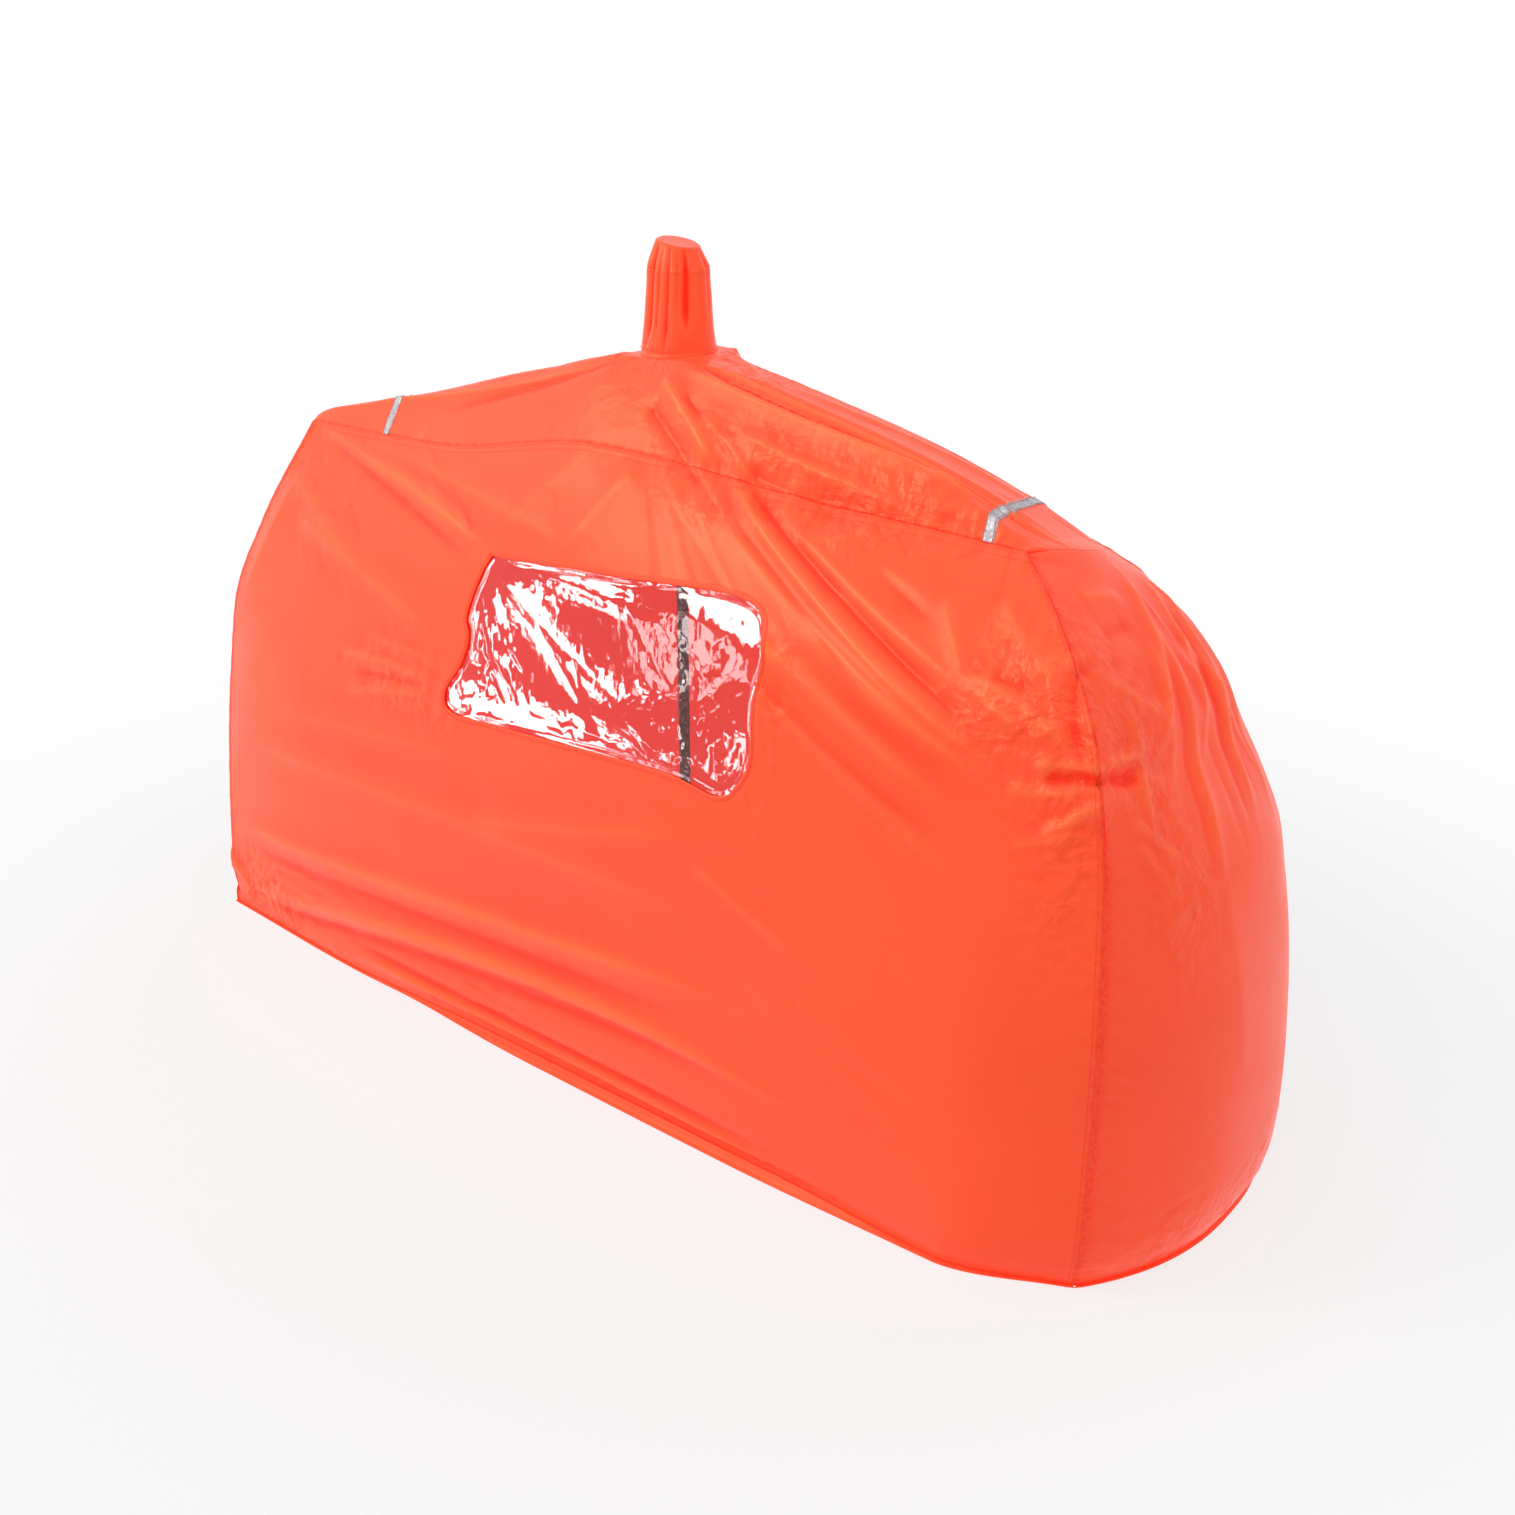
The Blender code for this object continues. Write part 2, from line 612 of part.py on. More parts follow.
def make_walls(skin, normals):
    """Front, rear, end walls and roof, with the window and the vent cut out."""
    walls = {}
    walls["front"] = cloth_panel("front_wall", skin["front"], normals["front"], False, ("left", "right", "top"))
    cloth_panel("rear_wall", skin["rear"], normals["rear"], True, ("left", "right", "top"))
    cloth_panel("right_end_wall", skin["right"], normals["right"], False, ("left", "right", "top"))
    cloth_panel("left_end_wall", skin["left"], normals["left"], True, ("left", "right", "top"))
    outer = draw_in(skin["roof"], ("bottom", "top", "left", "right"), SEAM_GAP / 2)
    bm = closed_shell(outer, outer - normals["roof"] * CLOTH, False)
    roof_panel = add_object("roof_panel", bm, ORANGE, 0.35, smooth=80)
    opening = rounded_outline(WINDOW_CORNERS, WINDOW_CORNER_RADIUS)
    cut(walls["front"], guide("window_cutter", prism(opening, -0.5, 0.0, "Y")))
    vent = cylinder(VENT_RADIUS - CLOTH, VENT_HEIGHT - 0.06, VENT_HEIGHT + 0.03, CHIMNEY_SIDES)
    cut(roof_panel, guide("vent_cutter", vent))


def window_cells(skin):
    """Columns and rows of the front wall that hold the window and its margin."""
    xs = [corner[0] for corner in WINDOW_CORNERS]
    zs = [corner[1] for corner in WINDOW_CORNERS]
    reach = WINDOW_MARGIN + BINDING_WIDTH
    front = skin["front"]
    middle_row = ROWS // 2
    left = np.searchsorted(front[middle_row, :, 0], min(xs) - reach) - 2
    right = np.searchsorted(front[middle_row, :, 0], max(xs) + reach) + 2
    column = COLUMNS // 2
    low = np.searchsorted(front[:, column, 2], min(zs) - reach) - 2
    high = np.searchsorted(front[:, column, 2], max(zs) + reach) + 2
    return np.s_[low : high + 1, left : right + 1]


def make_window(skin, normals):
    """Clear film behind the opening, and the bound edge on the outside."""
    cells = window_cells(skin)
    outer, push = skin["front"][cells], normals["front"][cells]
    pane = layer("window_pane", outer, push, -CLOTH - CLEAR, -CLOTH - CLEAR - FILM, CLEAR_FILM, 0.1, 0.3)
    beyond = grown_outline(WINDOW_CORNERS, WINDOW_MARGIN)
    outline = rounded_outline(beyond, WINDOW_CORNER_RADIUS + WINDOW_MARGIN)
    cut(pane, guide("pane_trimmer", prism(outline, -0.5, 0.0, "Y")), "INTERSECT")
    binding = layer("window_binding", outer, push, CLEAR + BINDING_THICKNESS, CLEAR, ORANGE, 0.4)
    beyond = grown_outline(WINDOW_CORNERS, BINDING_WIDTH)
    outline = rounded_outline(beyond, WINDOW_CORNER_RADIUS + BINDING_WIDTH)
    cut(binding, guide("binding_trimmer", prism(outline, -0.5, 0.0, "Y")), "INTERSECT")
    opening = rounded_outline(WINDOW_CORNERS, WINDOW_CORNER_RADIUS)
    cut(binding, guide("binding_cutter", prism(opening, -0.5, 0.0, "Y")))


def make_tape(name, skin, normals, place):
    """A reflective tape across the roof, from eave to eave."""
    half = TAPE_WIDTH / 2
    columns = skin["roof"][len(CROSSWAYS) // 2, :, 0]
    first = np.searchsorted(columns, place - half) - 2
    last = np.searchsorted(columns, place + half) + 1
    cells = np.s_[:, max(first, 0) : min(last, COLUMNS) + 1]
    tape = layer(name, skin["roof"][cells], normals["roof"][cells], CLEAR + TAPE_THICKNESS, CLEAR, SILVER, 0.3)
    reach = EAVE_DEPTH + EAVE_BULGE - 0.002
    band = [(place - half, -reach), (place + half, -reach), (place + half, reach), (place - half, reach)]
    cut(tape, guide(name + "_trimmer", prism(band, 0.5, 1.0, "Z")), "INTERSECT")


def chimney_ring(radius, angles):
    """Radius round the tube, with its pleats."""
    pleats = np.zeros_like(angles)
    for centre in PLEAT_ANGLES:
        off = (np.degrees(angles) - centre + 180) % 360 - 180
        pleats += np.exp(-((off / PLEAT_WIDTH) ** 2))
    return radius - PLEAT_DEPTH * pleats * radius / VENT_RADIUS


def chimney_point(radius, angle, share, height):
    x = CHIMNEY_SHIFT * share + radius * np.cos(angle)
    return np.stack([x, radius * np.sin(angle), height], -1)


def closed_rings(outer, inner, top_closed):
    """A closed cloth tube between two sets of rings, open at the bottom and open or closed on top."""
    bm = bmesh.new()
    sides = outer.shape[1]
    skins = []
    for points in (outer, inner):
        skins.append([[bm.verts.new(point) for point in ring] for ring in points])
    for rings, inward in ((skins[0], False), (skins[1], True)):
        for below, above in zip(rings, rings[1:]):
            for side in range(sides):
                after = (side + 1) % sides
                corners = [below[side], below[after], above[after], above[side]]
                bm.faces.new(corners[::-1] if inward else corners)
        if top_closed:
            bm.faces.new(rings[-1][::-1] if inward else rings[-1])
    ends = [0] if top_closed else [0, -1]
    for end in ends:
        for side in range(sides):
            after = (side + 1) % sides
            corners = [skins[0][end][after], skins[0][end][side], skins[1][end][side], skins[1][end][after]]
            bm.faces.new(corners if end == 0 else corners[::-1])
    bmesh.ops.recalc_face_normals(bm, faces=bm.faces)
    return bm


def make_chimney():
    """Pleated vent tube on the roof, and its slanted cap."""
    angles = np.linspace(0, 2 * np.pi, CHIMNEY_SIDES, endpoint=False)
    rows_out, rows_in = [], []
    low, high = VENT_HEIGHT + CLEAR, CHIMNEY_SEAM_HEIGHT - CLEAR
    for share in np.linspace(0, 1, CHIMNEY_ROWS + 1):
        radius = between(VENT_RADIUS, CHIMNEY_SEAM_RADIUS, share)
        wavy = chimney_ring(radius, angles)
        wavy = between(radius, wavy, min(1.0, 3 * share))
        height = np.full_like(angles, between(low, high, share))
        rows_out.append(chimney_point(wavy, angles, share, height))
        rows_in.append(chimney_point(wavy - CLOTH, angles, share, height))
    bm = closed_rings(np.array(rows_out), np.array(rows_in), False)
    add_object("chimney_tube", bm, ORANGE, 0.35, smooth=60)
    rows_out, rows_in = [], []
    for radius, share in ((CHIMNEY_SEAM_RADIUS, 0), (CHIMNEY_TOP_RADIUS, 0.96), (CHIMNEY_TOP_RADIUS * 0.9, 1)):
        wavy = chimney_ring(radius, angles) if share == 0 else np.full_like(angles, radius)
        slanted = CHIMNEY_TOP_HEIGHT - CHIMNEY_SLANT * wavy * np.cos(angles)
        height = between(CHIMNEY_SEAM_HEIGHT, slanted, share)
        rows_out.append(chimney_point(wavy, angles, 1, height))
        lower = height - (CLOTH * math.hypot(1, CHIMNEY_SLANT) if share > 0 else 0)
        rows_in.append(chimney_point(wavy - CLOTH, angles, 1, lower))
    bm = closed_rings(np.array(rows_out), np.array(rows_in), True)
    add_object("chimney_cap", bm, ORANGE, 0.35, smooth=50)


def make_pole_patch():
    """Reinforcing patch under the cap, where the pole's grip presses."""
    slope = math.hypot(1, CHIMNEY_SLANT)
    drop = (CLOTH + CLEAR + PATCH_THICKNESS) * slope
    low = CHIMNEY_TOP_HEIGHT + CHIMNEY_SLANT * CHIMNEY_SHIFT - drop
    bm = cylinder(PATCH_RADIUS, 0, PATCH_THICKNESS)
    tilt = Matrix.Rotation(math.atan(CHIMNEY_SLANT), 4, "Y")
    bmesh.ops.transform(bm, matrix=Matrix.Translation((0, 0, low)) @ tilt, verts=bm.verts)
    add_object("pole_patch", bm, ORANGE, 0.5)
    return low


def plan_loop(skin):
    """The cloth's bottom edges in order round the plan, with no point between a corner and its mitre."""
    edges = {
        "front": skin["front"][0, :, :2],
        "right": skin["right"][0, :, :2],
        "rear": skin["rear"][0, ::-1, :2],
        "left": skin["left"][0, ::-1, :2],
    }
    for name, edge in edges.items():
        from_start = np.linalg.norm(edge - edge[0], axis=1)
        from_end = np.linalg.norm(edge - edge[-1], axis=1)
        kept = np.minimum(from_start, from_end) > 1.4 * HEM_WIDTH
        kept[[0, -1]] = True
        edges[name] = edge[kept]
    return edges


def loop_inward(edges):
    """Plan direction and reach of a mitred inward offset at every point of the bottom loop."""
    names = list(edges)
    loop = np.concatenate([edges[name][:-1] for name in names])
    way = np.roll(loop, -1, axis=0) - loop
    way /= np.linalg.norm(way, axis=1)[:, None]
    tangent = way + np.roll(way, 1, axis=0)
    tangent /= np.linalg.norm(tangent, axis=1)[:, None]
    inward = np.stack([-tangent[:, 1], tangent[:, 0]], -1)
    inward /= np.sum(tangent * way, axis=1)[:, None]
    found = {}
    start = 0
    for name in names:
        count = len(edges[name])
        index = np.arange(start, start + count) % len(loop)
        found[name] = inward[index]
        start += count - 1
    return found


def make_hems(skin):
    """The cloth turned in under each wall, lying flat on the ground."""
    edges = plan_loop(skin)
    inward = loop_inward(edges)
    inner_edges = {}
    for name, edge in edges.items():
        inside = edge + inward[name] * HEM_WIDTH
        inner_edges[name] = inside
        flat = np.stack([edge, (edge + inside) / 2, inside])
        flat = np.concatenate([flat, np.zeros(flat.shape[:2] + (1,))], -1)
        flat = draw_in(flat, ("left", "right"), SEAM_GAP / 2)
        top = flat + np.array([0, 0, HEM_THICKNESS])
        label = name + "_hem" if name in ("front", "rear") else name + "_end_hem"
        add_object(label, closed_shell(top, flat, False), ORANGE, 0.45)
    return inner_edges


def make_seat(name, inner_edge, side):
    """A seat panel, sewn to the end hem, on an empty that stands on its fold line."""
    edge = inner_edge[np.argsort(inner_edge[:, 1])]
    middle = (edge[0, 1] + edge[-1, 1]) / 2
    low, high = middle - SEAT_HALF_WIDTH, middle + SEAT_HALF_WIDTH
    inside = edge[(edge[:, 1] > low + 0.004) & (edge[:, 1] < high - 0.004), 1]
    ys = np.concatenate([[low], inside, [high]])
    xs = np.interp(ys, edge[:, 1], edge[:, 0]) - side * CLEAR
    fold_x = side * np.max(side * xs)
    far = fold_x - side * SEAT_DEPTH
    outline = list(zip(xs, ys))
    for centre_y, first in ((high - SEAT_CORNER_RADIUS, 0), (low + SEAT_CORNER_RADIUS, 1)):
        for step in range(6):
            angle = math.pi / 2 * (first + step / 5)
            along = SEAT_CORNER_RADIUS * (1 - math.sin(angle))
            outline.append((far + side * along, centre_y + SEAT_CORNER_RADIUS * math.cos(angle)))
    bm = prism([(x - fold_x, y) for x, y in outline], -SEAT_THICKNESS, 0.0, "Z")
    seat = add_object(name, bm, ORANGE, 0.45)
    fold = bpy.data.objects.new(name + "_fold", None)
    fold.location = (fold_x, 0, SEAT_THICKNESS)
    bpy.context.scene.collection.objects.link(fold)
    seat.parent = fold
    return fold


# Walking pole


def make_grip(patch_low):
    """Moulded grip on the upper shaft, with a rounded head that holds up the chimney."""
    slope = math.hypot(1, CHIMNEY_SLANT)
    head_centre = patch_low - CLEAR - GRIP_HEAD_RADIUS * slope
    grip_top = head_centre - CLEAR
    grip_low = grip_top - GRIP_LENGTH
    bore = UPPER_DIAMETER / 2 + SLIDING_GAP
    shaft_top = grip_low + SHAFT_IN_GRIP
    rings = []
    for share, half_x, half_y in GRIP_SECTIONS:
        rings.append((grip_low + share * GRIP_LENGTH, half_x, half_y))
    bm = bmesh.new()
    loops = []
    for height, half_x, half_y in rings:
        loop = []
        for side in range(ROUND_SIDES):
            angle = 2 * math.pi * side / ROUND_SIDES
            loop.append(bm.verts.new((half_x * math.cos(angle), half_y * math.sin(angle), height)))
        loops.append(loop)
    for height in (shaft_top + CLEAR, grip_low):
        loop = []
        for side in range(ROUND_SIDES):
            angle = 2 * math.pi * side / ROUND_SIDES
            loop.append(bm.verts.new((bore * math.cos(angle), bore * math.sin(angle), height)))
        loops.append(loop)
    outside = len(GRIP_SECTIONS)
    pairs = list(zip(loops[: outside - 1], loops[1:outside]))
    pairs += [(loops[outside], loops[outside + 1]), (loops[outside + 1], loops[0])]
    for below, above in pairs:
        for side in range(ROUND_SIDES):
            after = (side + 1) % ROUND_SIDES
            bm.faces.new([below[side], below[after], above[after], above[side]])
    bm.faces.new(loops[outside - 1])
    bm.faces.new(loops[outside][::-1])
    bmesh.ops.recalc_face_normals(bm, faces=bm.faces)
    add_object("pole_grip", bm, BLACK, 0.7)
    dome = [(0, head_centre)]
    for step in range(7):
        angle = math.pi / 2 * step / 6
        dome.append((GRIP_HEAD_RADIUS * math.cos(angle), head_centre + GRIP_HEAD_RADIUS * math.sin(angle)))
    add_object("grip_head", turned(dome), GREY, 0.45)
    return shaft_top


def make_clamp(prefix, shaft_diameter, height, parent, open_end):
    """Lever clamp round a shaft's lower end: split collar, tension screw, hinge pin and lever."""
    bore = shaft_diameter / 2 + SLIDING_GAP
    ring = bore + CLAMP_WALL
    half = CLAMP_HEIGHT / 2
    lug_end = ring + LUG_REACH
    pin_y = ring + PIN_OFFSET
    ear_end = ring + CLAMP_EAR_REACH
    half_ear = CLAMP_EAR_HEIGHT / 2
    lip = [(open_end, -half), (ring, -half), (ring, half - 0.002), (ring - 0.0012, half), (bore, half)]
    lip.append((bore, open_end and -half + 0.003))
    lip.append((open_end, -half + 0.003))
    collar = add_object(prefix + "_clamp_collar", turned(lip), GREY, 0.45)
    lug = guide(prefix + "_lug", block((-LUG_HALF_WIDTH, LUG_HALF_WIDTH), (bore + 0.001, lug_end), (-half, half)))
    cut(collar, lug, "UNION")
    ears = block((-CLAMP_EAR_HALF_WIDTH, CLAMP_EAR_HALF_WIDTH), (-ear_end, -bore - 0.001), (-half_ear, half_ear))
    cut(collar, guide(prefix + "_ears", ears), "UNION")
    slot = block((-CLAMP_SLOT / 2, CLAMP_SLOT / 2), (-ear_end - 0.001, -bore + 0.004), (-half - 0.001, half + 0.001))
    cut(collar, guide(prefix + "_slot", slot))
    inner_arc = [(ring + CLEAR, math.radians(angle)) for angle in range(30, 155, 5)]
    outer_arc = [(2 * lug_end, math.radians(angle)) for angle in (150, 120, 90, 60, 30)]
    sector = [(radius * math.cos(angle), radius * math.sin(angle)) for radius, angle in inner_arc + outer_arc]
    cut(collar, guide(prefix + "_lever_gap", prism(sector, -LUG_SLOT / 2, LUG_SLOT / 2, "Z")))
    pin_hole = cylinder(PIN_RADIUS + PIN_GAP, -half - 0.001, half + 0.001, 16)
    bmesh.ops.translate(pin_hole, verts=pin_hole.verts, vec=(0, pin_y, 0))
    cut(collar, guide(prefix + "_pin_hole", pin_hole))
    screw_y = -ring - CLAMP_EAR_REACH / 2 + 0.0003
    across = Matrix.Translation((0, screw_y, 0)) @ Matrix.Rotation(math.pi / 2, 4, "Y")
    screw_hole = cylinder(SCREW_RADIUS + PIN_GAP, -0.01, 0.01, 12)
    bmesh.ops.transform(screw_hole, matrix=across, verts=screw_hole.verts)
    cut(collar, guide(prefix + "_screw_hole", screw_hole))
    near = CLAMP_EAR_HALF_WIDTH + CLEAR
    far = near + SCREW_HEAD_LENGTH
    profile = [(0, -far), (SCREW_HEAD_RADIUS, -far), (SCREW_HEAD_RADIUS, -near), (SCREW_RADIUS, -near)]
    profile += [(SCREW_RADIUS, near), (SCREW_HEAD_RADIUS, near), (SCREW_HEAD_RADIUS, far), (0, far)]
    screw_bm = turned(profile, 12)
    bmesh.ops.transform(screw_bm, matrix=across, verts=screw_bm.verts)
    screw = add_object(prefix + "_clamp_screw", screw_bm, STEEL, 0.3, 1.0)
    pin_bm = cylinder(PIN_RADIUS, -half + 0.0005, half - 0.0005, 16)
    bmesh.ops.translate(pin_bm, verts=pin_bm.verts, vec=(0, pin_y, 0))
    pin = add_object(prefix + "_lever_pin", pin_bm, STEEL, 0.3, 1.0)
    lever = make_lever(prefix, ring, pin_y)
    pivot = bpy.data.objects.new(prefix + "_lever_pivot", None)
    pivot.location = (0, pin_y, height)
    bpy.context.scene.collection.objects.link(pivot)
    lever.parent = pivot
    pivot.parent = parent
    for obj in (collar, screw, pin):
        obj.location.z = height
        obj.parent = parent
    hang_guides(prefix + "_", height, parent, lever)
    return pin_y


def hang_guides(prefix, height, parent, lever):
    """Place each cutter with the piece that it shapes."""
    for obj in bpy.data.objects:
        if obj.hide_render and obj.name.startswith(prefix) and obj.parent is None:
            if obj.name.endswith("lever_bore"):
                obj.parent = lever
            else:
                obj.location.z = height
                obj.parent = parent


def make_lever(prefix, ring, pin_y):
    """Curved lever that wraps the collar, modelled about its pin."""
    inner = ring + LEVER_GAP
    outer = inner + LEVER_THICKNESS
    half = LEVER_HEIGHT / 2
    steps = 12
    outside, inside = [], []
    for step in range(steps + 1):
        angle = math.radians(90 + LEVER_SPAN * step / steps)
        swell = 0.0012 * (step / steps) ** 2
        outside.append(((outer + swell) * math.cos(angle), (outer + swell) * math.sin(angle) - pin_y))
        inside.append(((inner + swell) * math.cos(angle), (inner + swell) * math.sin(angle) - pin_y))
    bm = prism(outside + inside[::-1], -half, half, "Z")
    lever = add_object(prefix + "_clamp_lever", bm, BLACK, 0.4)
    knuckle = guide(prefix + "_lever_knuckle", cylinder(KNUCKLE_RADIUS, -half, half, 16))
    cut(lever, knuckle, "UNION")
    bore = guide(prefix + "_lever_bore", cylinder(PIN_RADIUS + PIN_GAP, -half - 0.001, half + 0.001, 16))
    cut(lever, bore)
    knuckle.parent = lever
    bore.parent = lever
    return lever


def make_pole(patch_low):
    """Three telescopic sections with two lever clamps, a tip and a basket."""
    shaft_top = make_grip(patch_low)
    upper_inner = UPPER_DIAMETER / 2 - UPPER_WALL
    upper_low = UPPER_CLAMP_HEIGHT - CLAMP_HEIGHT / 2 + 0.003 + CLEAR
    upper = turned(tube_profile(UPPER_DIAMETER / 2, upper_inner, upper_low, shaft_top))
    add_object("upper_shaft", upper, BLACK, 0.3, 0.3)
    middle_slide = bpy.data.objects.new("middle_slide", None)
    lower_slide = bpy.data.objects.new("lower_slide", None)
    for empty in (middle_slide, lower_slide):
        bpy.context.scene.collection.objects.link(empty)
    lower_slide.parent = middle_slide
    middle_open = MIDDLE_DIAMETER / 2 + SLIDING_GAP
    lower_open = LOWER_DIAMETER / 2 + SLIDING_GAP
    make_clamp("upper", UPPER_DIAMETER, UPPER_CLAMP_HEIGHT, None, middle_open)
    make_clamp("lower", MIDDLE_DIAMETER, LOWER_CLAMP_HEIGHT, middle_slide, lower_open)
    middle_inner = MIDDLE_DIAMETER / 2 - MIDDLE_WALL
    middle_low = LOWER_CLAMP_HEIGHT - CLAMP_HEIGHT / 2 + 0.003 + CLEAR
    middle_top = UPPER_CLAMP_HEIGHT + MIDDLE_INSERT
    middle = turned(tube_profile(MIDDLE_DIAMETER / 2, middle_inner, middle_low, middle_top))
    add_object("middle_shaft", middle, BLACK, 0.3, 0.3).parent = middle_slide
    plug(MIDDLE_DIAMETER / 2, middle_inner, middle_top, "middle_end_plug").parent = middle_slide
    lower_inner = LOWER_DIAMETER / 2 - LOWER_WALL
    lower_low = TIP_HOLDER_TOP - TIP_SOCKET_DEPTH + CLEAR
    lower_top = LOWER_CLAMP_HEIGHT + LOWER_INSERT
    lower = turned(tube_profile(LOWER_DIAMETER / 2, lower_inner, lower_low, lower_top))
    add_object("lower_shaft", lower, BLACK, 0.3, 0.3).parent = lower_slide
    plug(LOWER_DIAMETER / 2, lower_inner, lower_top, "lower_end_plug").parent = lower_slide
    for obj in make_tip_and_basket():
        obj.parent = lower_slide
    return middle_slide, lower_slide


def plug(outer, inner, top, name):
    """Stepped plug that closes and guides the upper end of a sliding shaft."""
    seat = top + CLEAR
    stem = inner - SLIDING_GAP
    profile = [(0, seat - END_PLUG_LENGTH), (stem, seat - END_PLUG_LENGTH), (stem, seat)]
    profile += [(outer, seat), (outer, seat + 0.003), (0, seat + 0.003)]
    return add_object(name, turned(profile), GREY, 0.5)


def make_tip_and_basket():
    """Carbide tip in its tapered holder, and the basket that slides onto the holder."""
    socket = LOWER_DIAMETER / 2 + SLIDING_GAP
    holder_top = socket + TIP_HOLDER_WALL
    floor = TIP_HOLDER_TOP - TIP_SOCKET_DEPTH
    shank_bore = TIP_SHANK_RADIUS + CLEAR
    profile = [(shank_bore, TIP_HOLDER_BASE), (shank_bore + 0.0018, TIP_HOLDER_BASE)]
    profile += [(holder_top, BASKET_HEIGHT - 0.004), (holder_top, TIP_HOLDER_TOP), (socket, TIP_HOLDER_TOP)]
    profile += [(socket, floor), (0, floor), (0, TIP_LENGTH + CLEAR), (shank_bore, TIP_LENGTH + CLEAR)]
    holder = add_object("tip_holder", turned(profile), BLACK, 0.5)
    profile = [(0, 0), (TIP_POINT_RADIUS, 0), (TIP_SHANK_RADIUS, TIP_HOLDER_BASE * 0.6)]
    profile += [(TIP_SHANK_RADIUS, TIP_LENGTH), (0, TIP_LENGTH)]
    tip = add_object("carbide_tip", turned(profile), STEEL, 0.25, 1.0)
    bore = holder_top + CLEAR
    hub = bore + BASKET_HUB_WALL
    low = BASKET_HEIGHT
    rim = BASKET_RADIUS
    profile = [(bore, low), (rim - 0.004, low), (rim, low + 0.0045), (rim - 0.001, low + 0.005)]
    profile += [(rim - 0.005, low + BASKET_THICKNESS - 0.001), (hub, low + BASKET_THICKNESS)]
    profile += [(hub, low + BASKET_HUB_HEIGHT), (bore, low + BASKET_HUB_HEIGHT)]
    basket = add_object("pole_basket", turned(profile), BLACK, 0.55)
    hole_circle = (hub + rim - BASKET_RIM_WIDTH) / 2
    hole_radius = (rim - BASKET_RIM_WIDTH - hub) / 2 - BASKET_WEB
    for hole in range(BASKET_HOLES):
        angle = 2 * math.pi * (hole + 0.5) / BASKET_HOLES
        bm = cylinder(hole_radius, low - 0.002, low + 0.006, 10)
        place = (hole_circle * math.cos(angle), hole_circle * math.sin(angle), 0)
        bmesh.ops.translate(bm, verts=bm.verts, vec=place)
        cutter = guide(f"basket_hole_{hole}", bm)
        cutter.parent = basket
        cut(basket, cutter)
    return holder, tip, basket


def centre_on_origin():
    """Hang the whole model on one empty that brings the middle of its plan box to the origin."""
    bpy.context.view_layer.update()
    corners = []
    for obj in bpy.data.objects:
        if obj.type == "MESH" and not obj.hide_render:
            corners += [obj.matrix_world @ vertex.co for vertex in obj.data.vertices]
    xs = [corner.x for corner in corners]
    ys = [corner.y for corner in corners]
    centre = bpy.data.objects.new("shelter_centre", None)
    centre.location = (-(min(xs) + max(xs)) / 2, -(min(ys) + max(ys)) / 2, 0)
    bpy.context.scene.collection.objects.link(centre)
    for obj in bpy.data.objects:
        if obj.parent is None and obj is not centre:
            obj.parent = centre
    print(f"pole axis at x {centre.location.x:.5f}, y {centre.location.y:.5f}")


def main():
    clear_scene()
    skin = make_skin()
    normals = skin_normals(skin)
    make_walls(skin, normals)
    make_window(skin, normals)
    make_tape("right_reflective_tape", skin, normals, TAPE_RIGHT)
    make_tape("left_reflective_tape", skin, normals, TAPE_LEFT)
    make_chimney()
    patch_low = make_pole_patch()
    inner_edges = make_hems(skin)
    make_seat("right_seat", inner_edges["right"], 1)
    make_seat("left_seat", inner_edges["left"], -1)
    make_pole(patch_low)
    centre_on_origin()


main()
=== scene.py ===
"""Looks of a two-person group shelter on a walking pole: creased cloth, clear window, stitching and stage.

Metres, +Z up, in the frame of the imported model. The cloth is laid out from the pole's axis, as in the
construction, and moved to where the pole stands when its meshes are made.
"""

import math
import random

import bpy
import numpy as np
from mathutils import Matrix, Vector


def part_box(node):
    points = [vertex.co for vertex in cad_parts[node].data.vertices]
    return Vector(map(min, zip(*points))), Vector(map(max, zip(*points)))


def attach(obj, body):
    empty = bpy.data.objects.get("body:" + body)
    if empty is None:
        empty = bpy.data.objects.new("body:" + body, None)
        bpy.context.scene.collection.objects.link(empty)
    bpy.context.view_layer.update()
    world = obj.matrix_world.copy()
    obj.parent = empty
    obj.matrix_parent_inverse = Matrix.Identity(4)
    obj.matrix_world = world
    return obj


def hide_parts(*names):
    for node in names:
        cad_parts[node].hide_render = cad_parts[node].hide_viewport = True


bl_info = {
    "name": "Group shelter finish",
    "version": (1, 0, 0),
    "blender": (4, 5, 0),
    "location": "3D View > Sidebar > Shelter",
    "description": "Creased cloth, clear window, stitching and pole finish for a two-person group shelter",
    "category": "Object",
}

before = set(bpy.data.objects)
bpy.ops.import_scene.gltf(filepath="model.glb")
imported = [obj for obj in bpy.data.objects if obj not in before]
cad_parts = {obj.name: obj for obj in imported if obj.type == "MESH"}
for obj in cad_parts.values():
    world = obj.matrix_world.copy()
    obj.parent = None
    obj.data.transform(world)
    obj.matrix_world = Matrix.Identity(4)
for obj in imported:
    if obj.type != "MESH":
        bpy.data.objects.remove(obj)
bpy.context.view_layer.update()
MM = 0.001


def middle_of(node):
    """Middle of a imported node's box."""
    low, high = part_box(node)
    return (low + high) / 2


POLE_AT = np.array([*middle_of("carbide_tip").xy, 0.0])

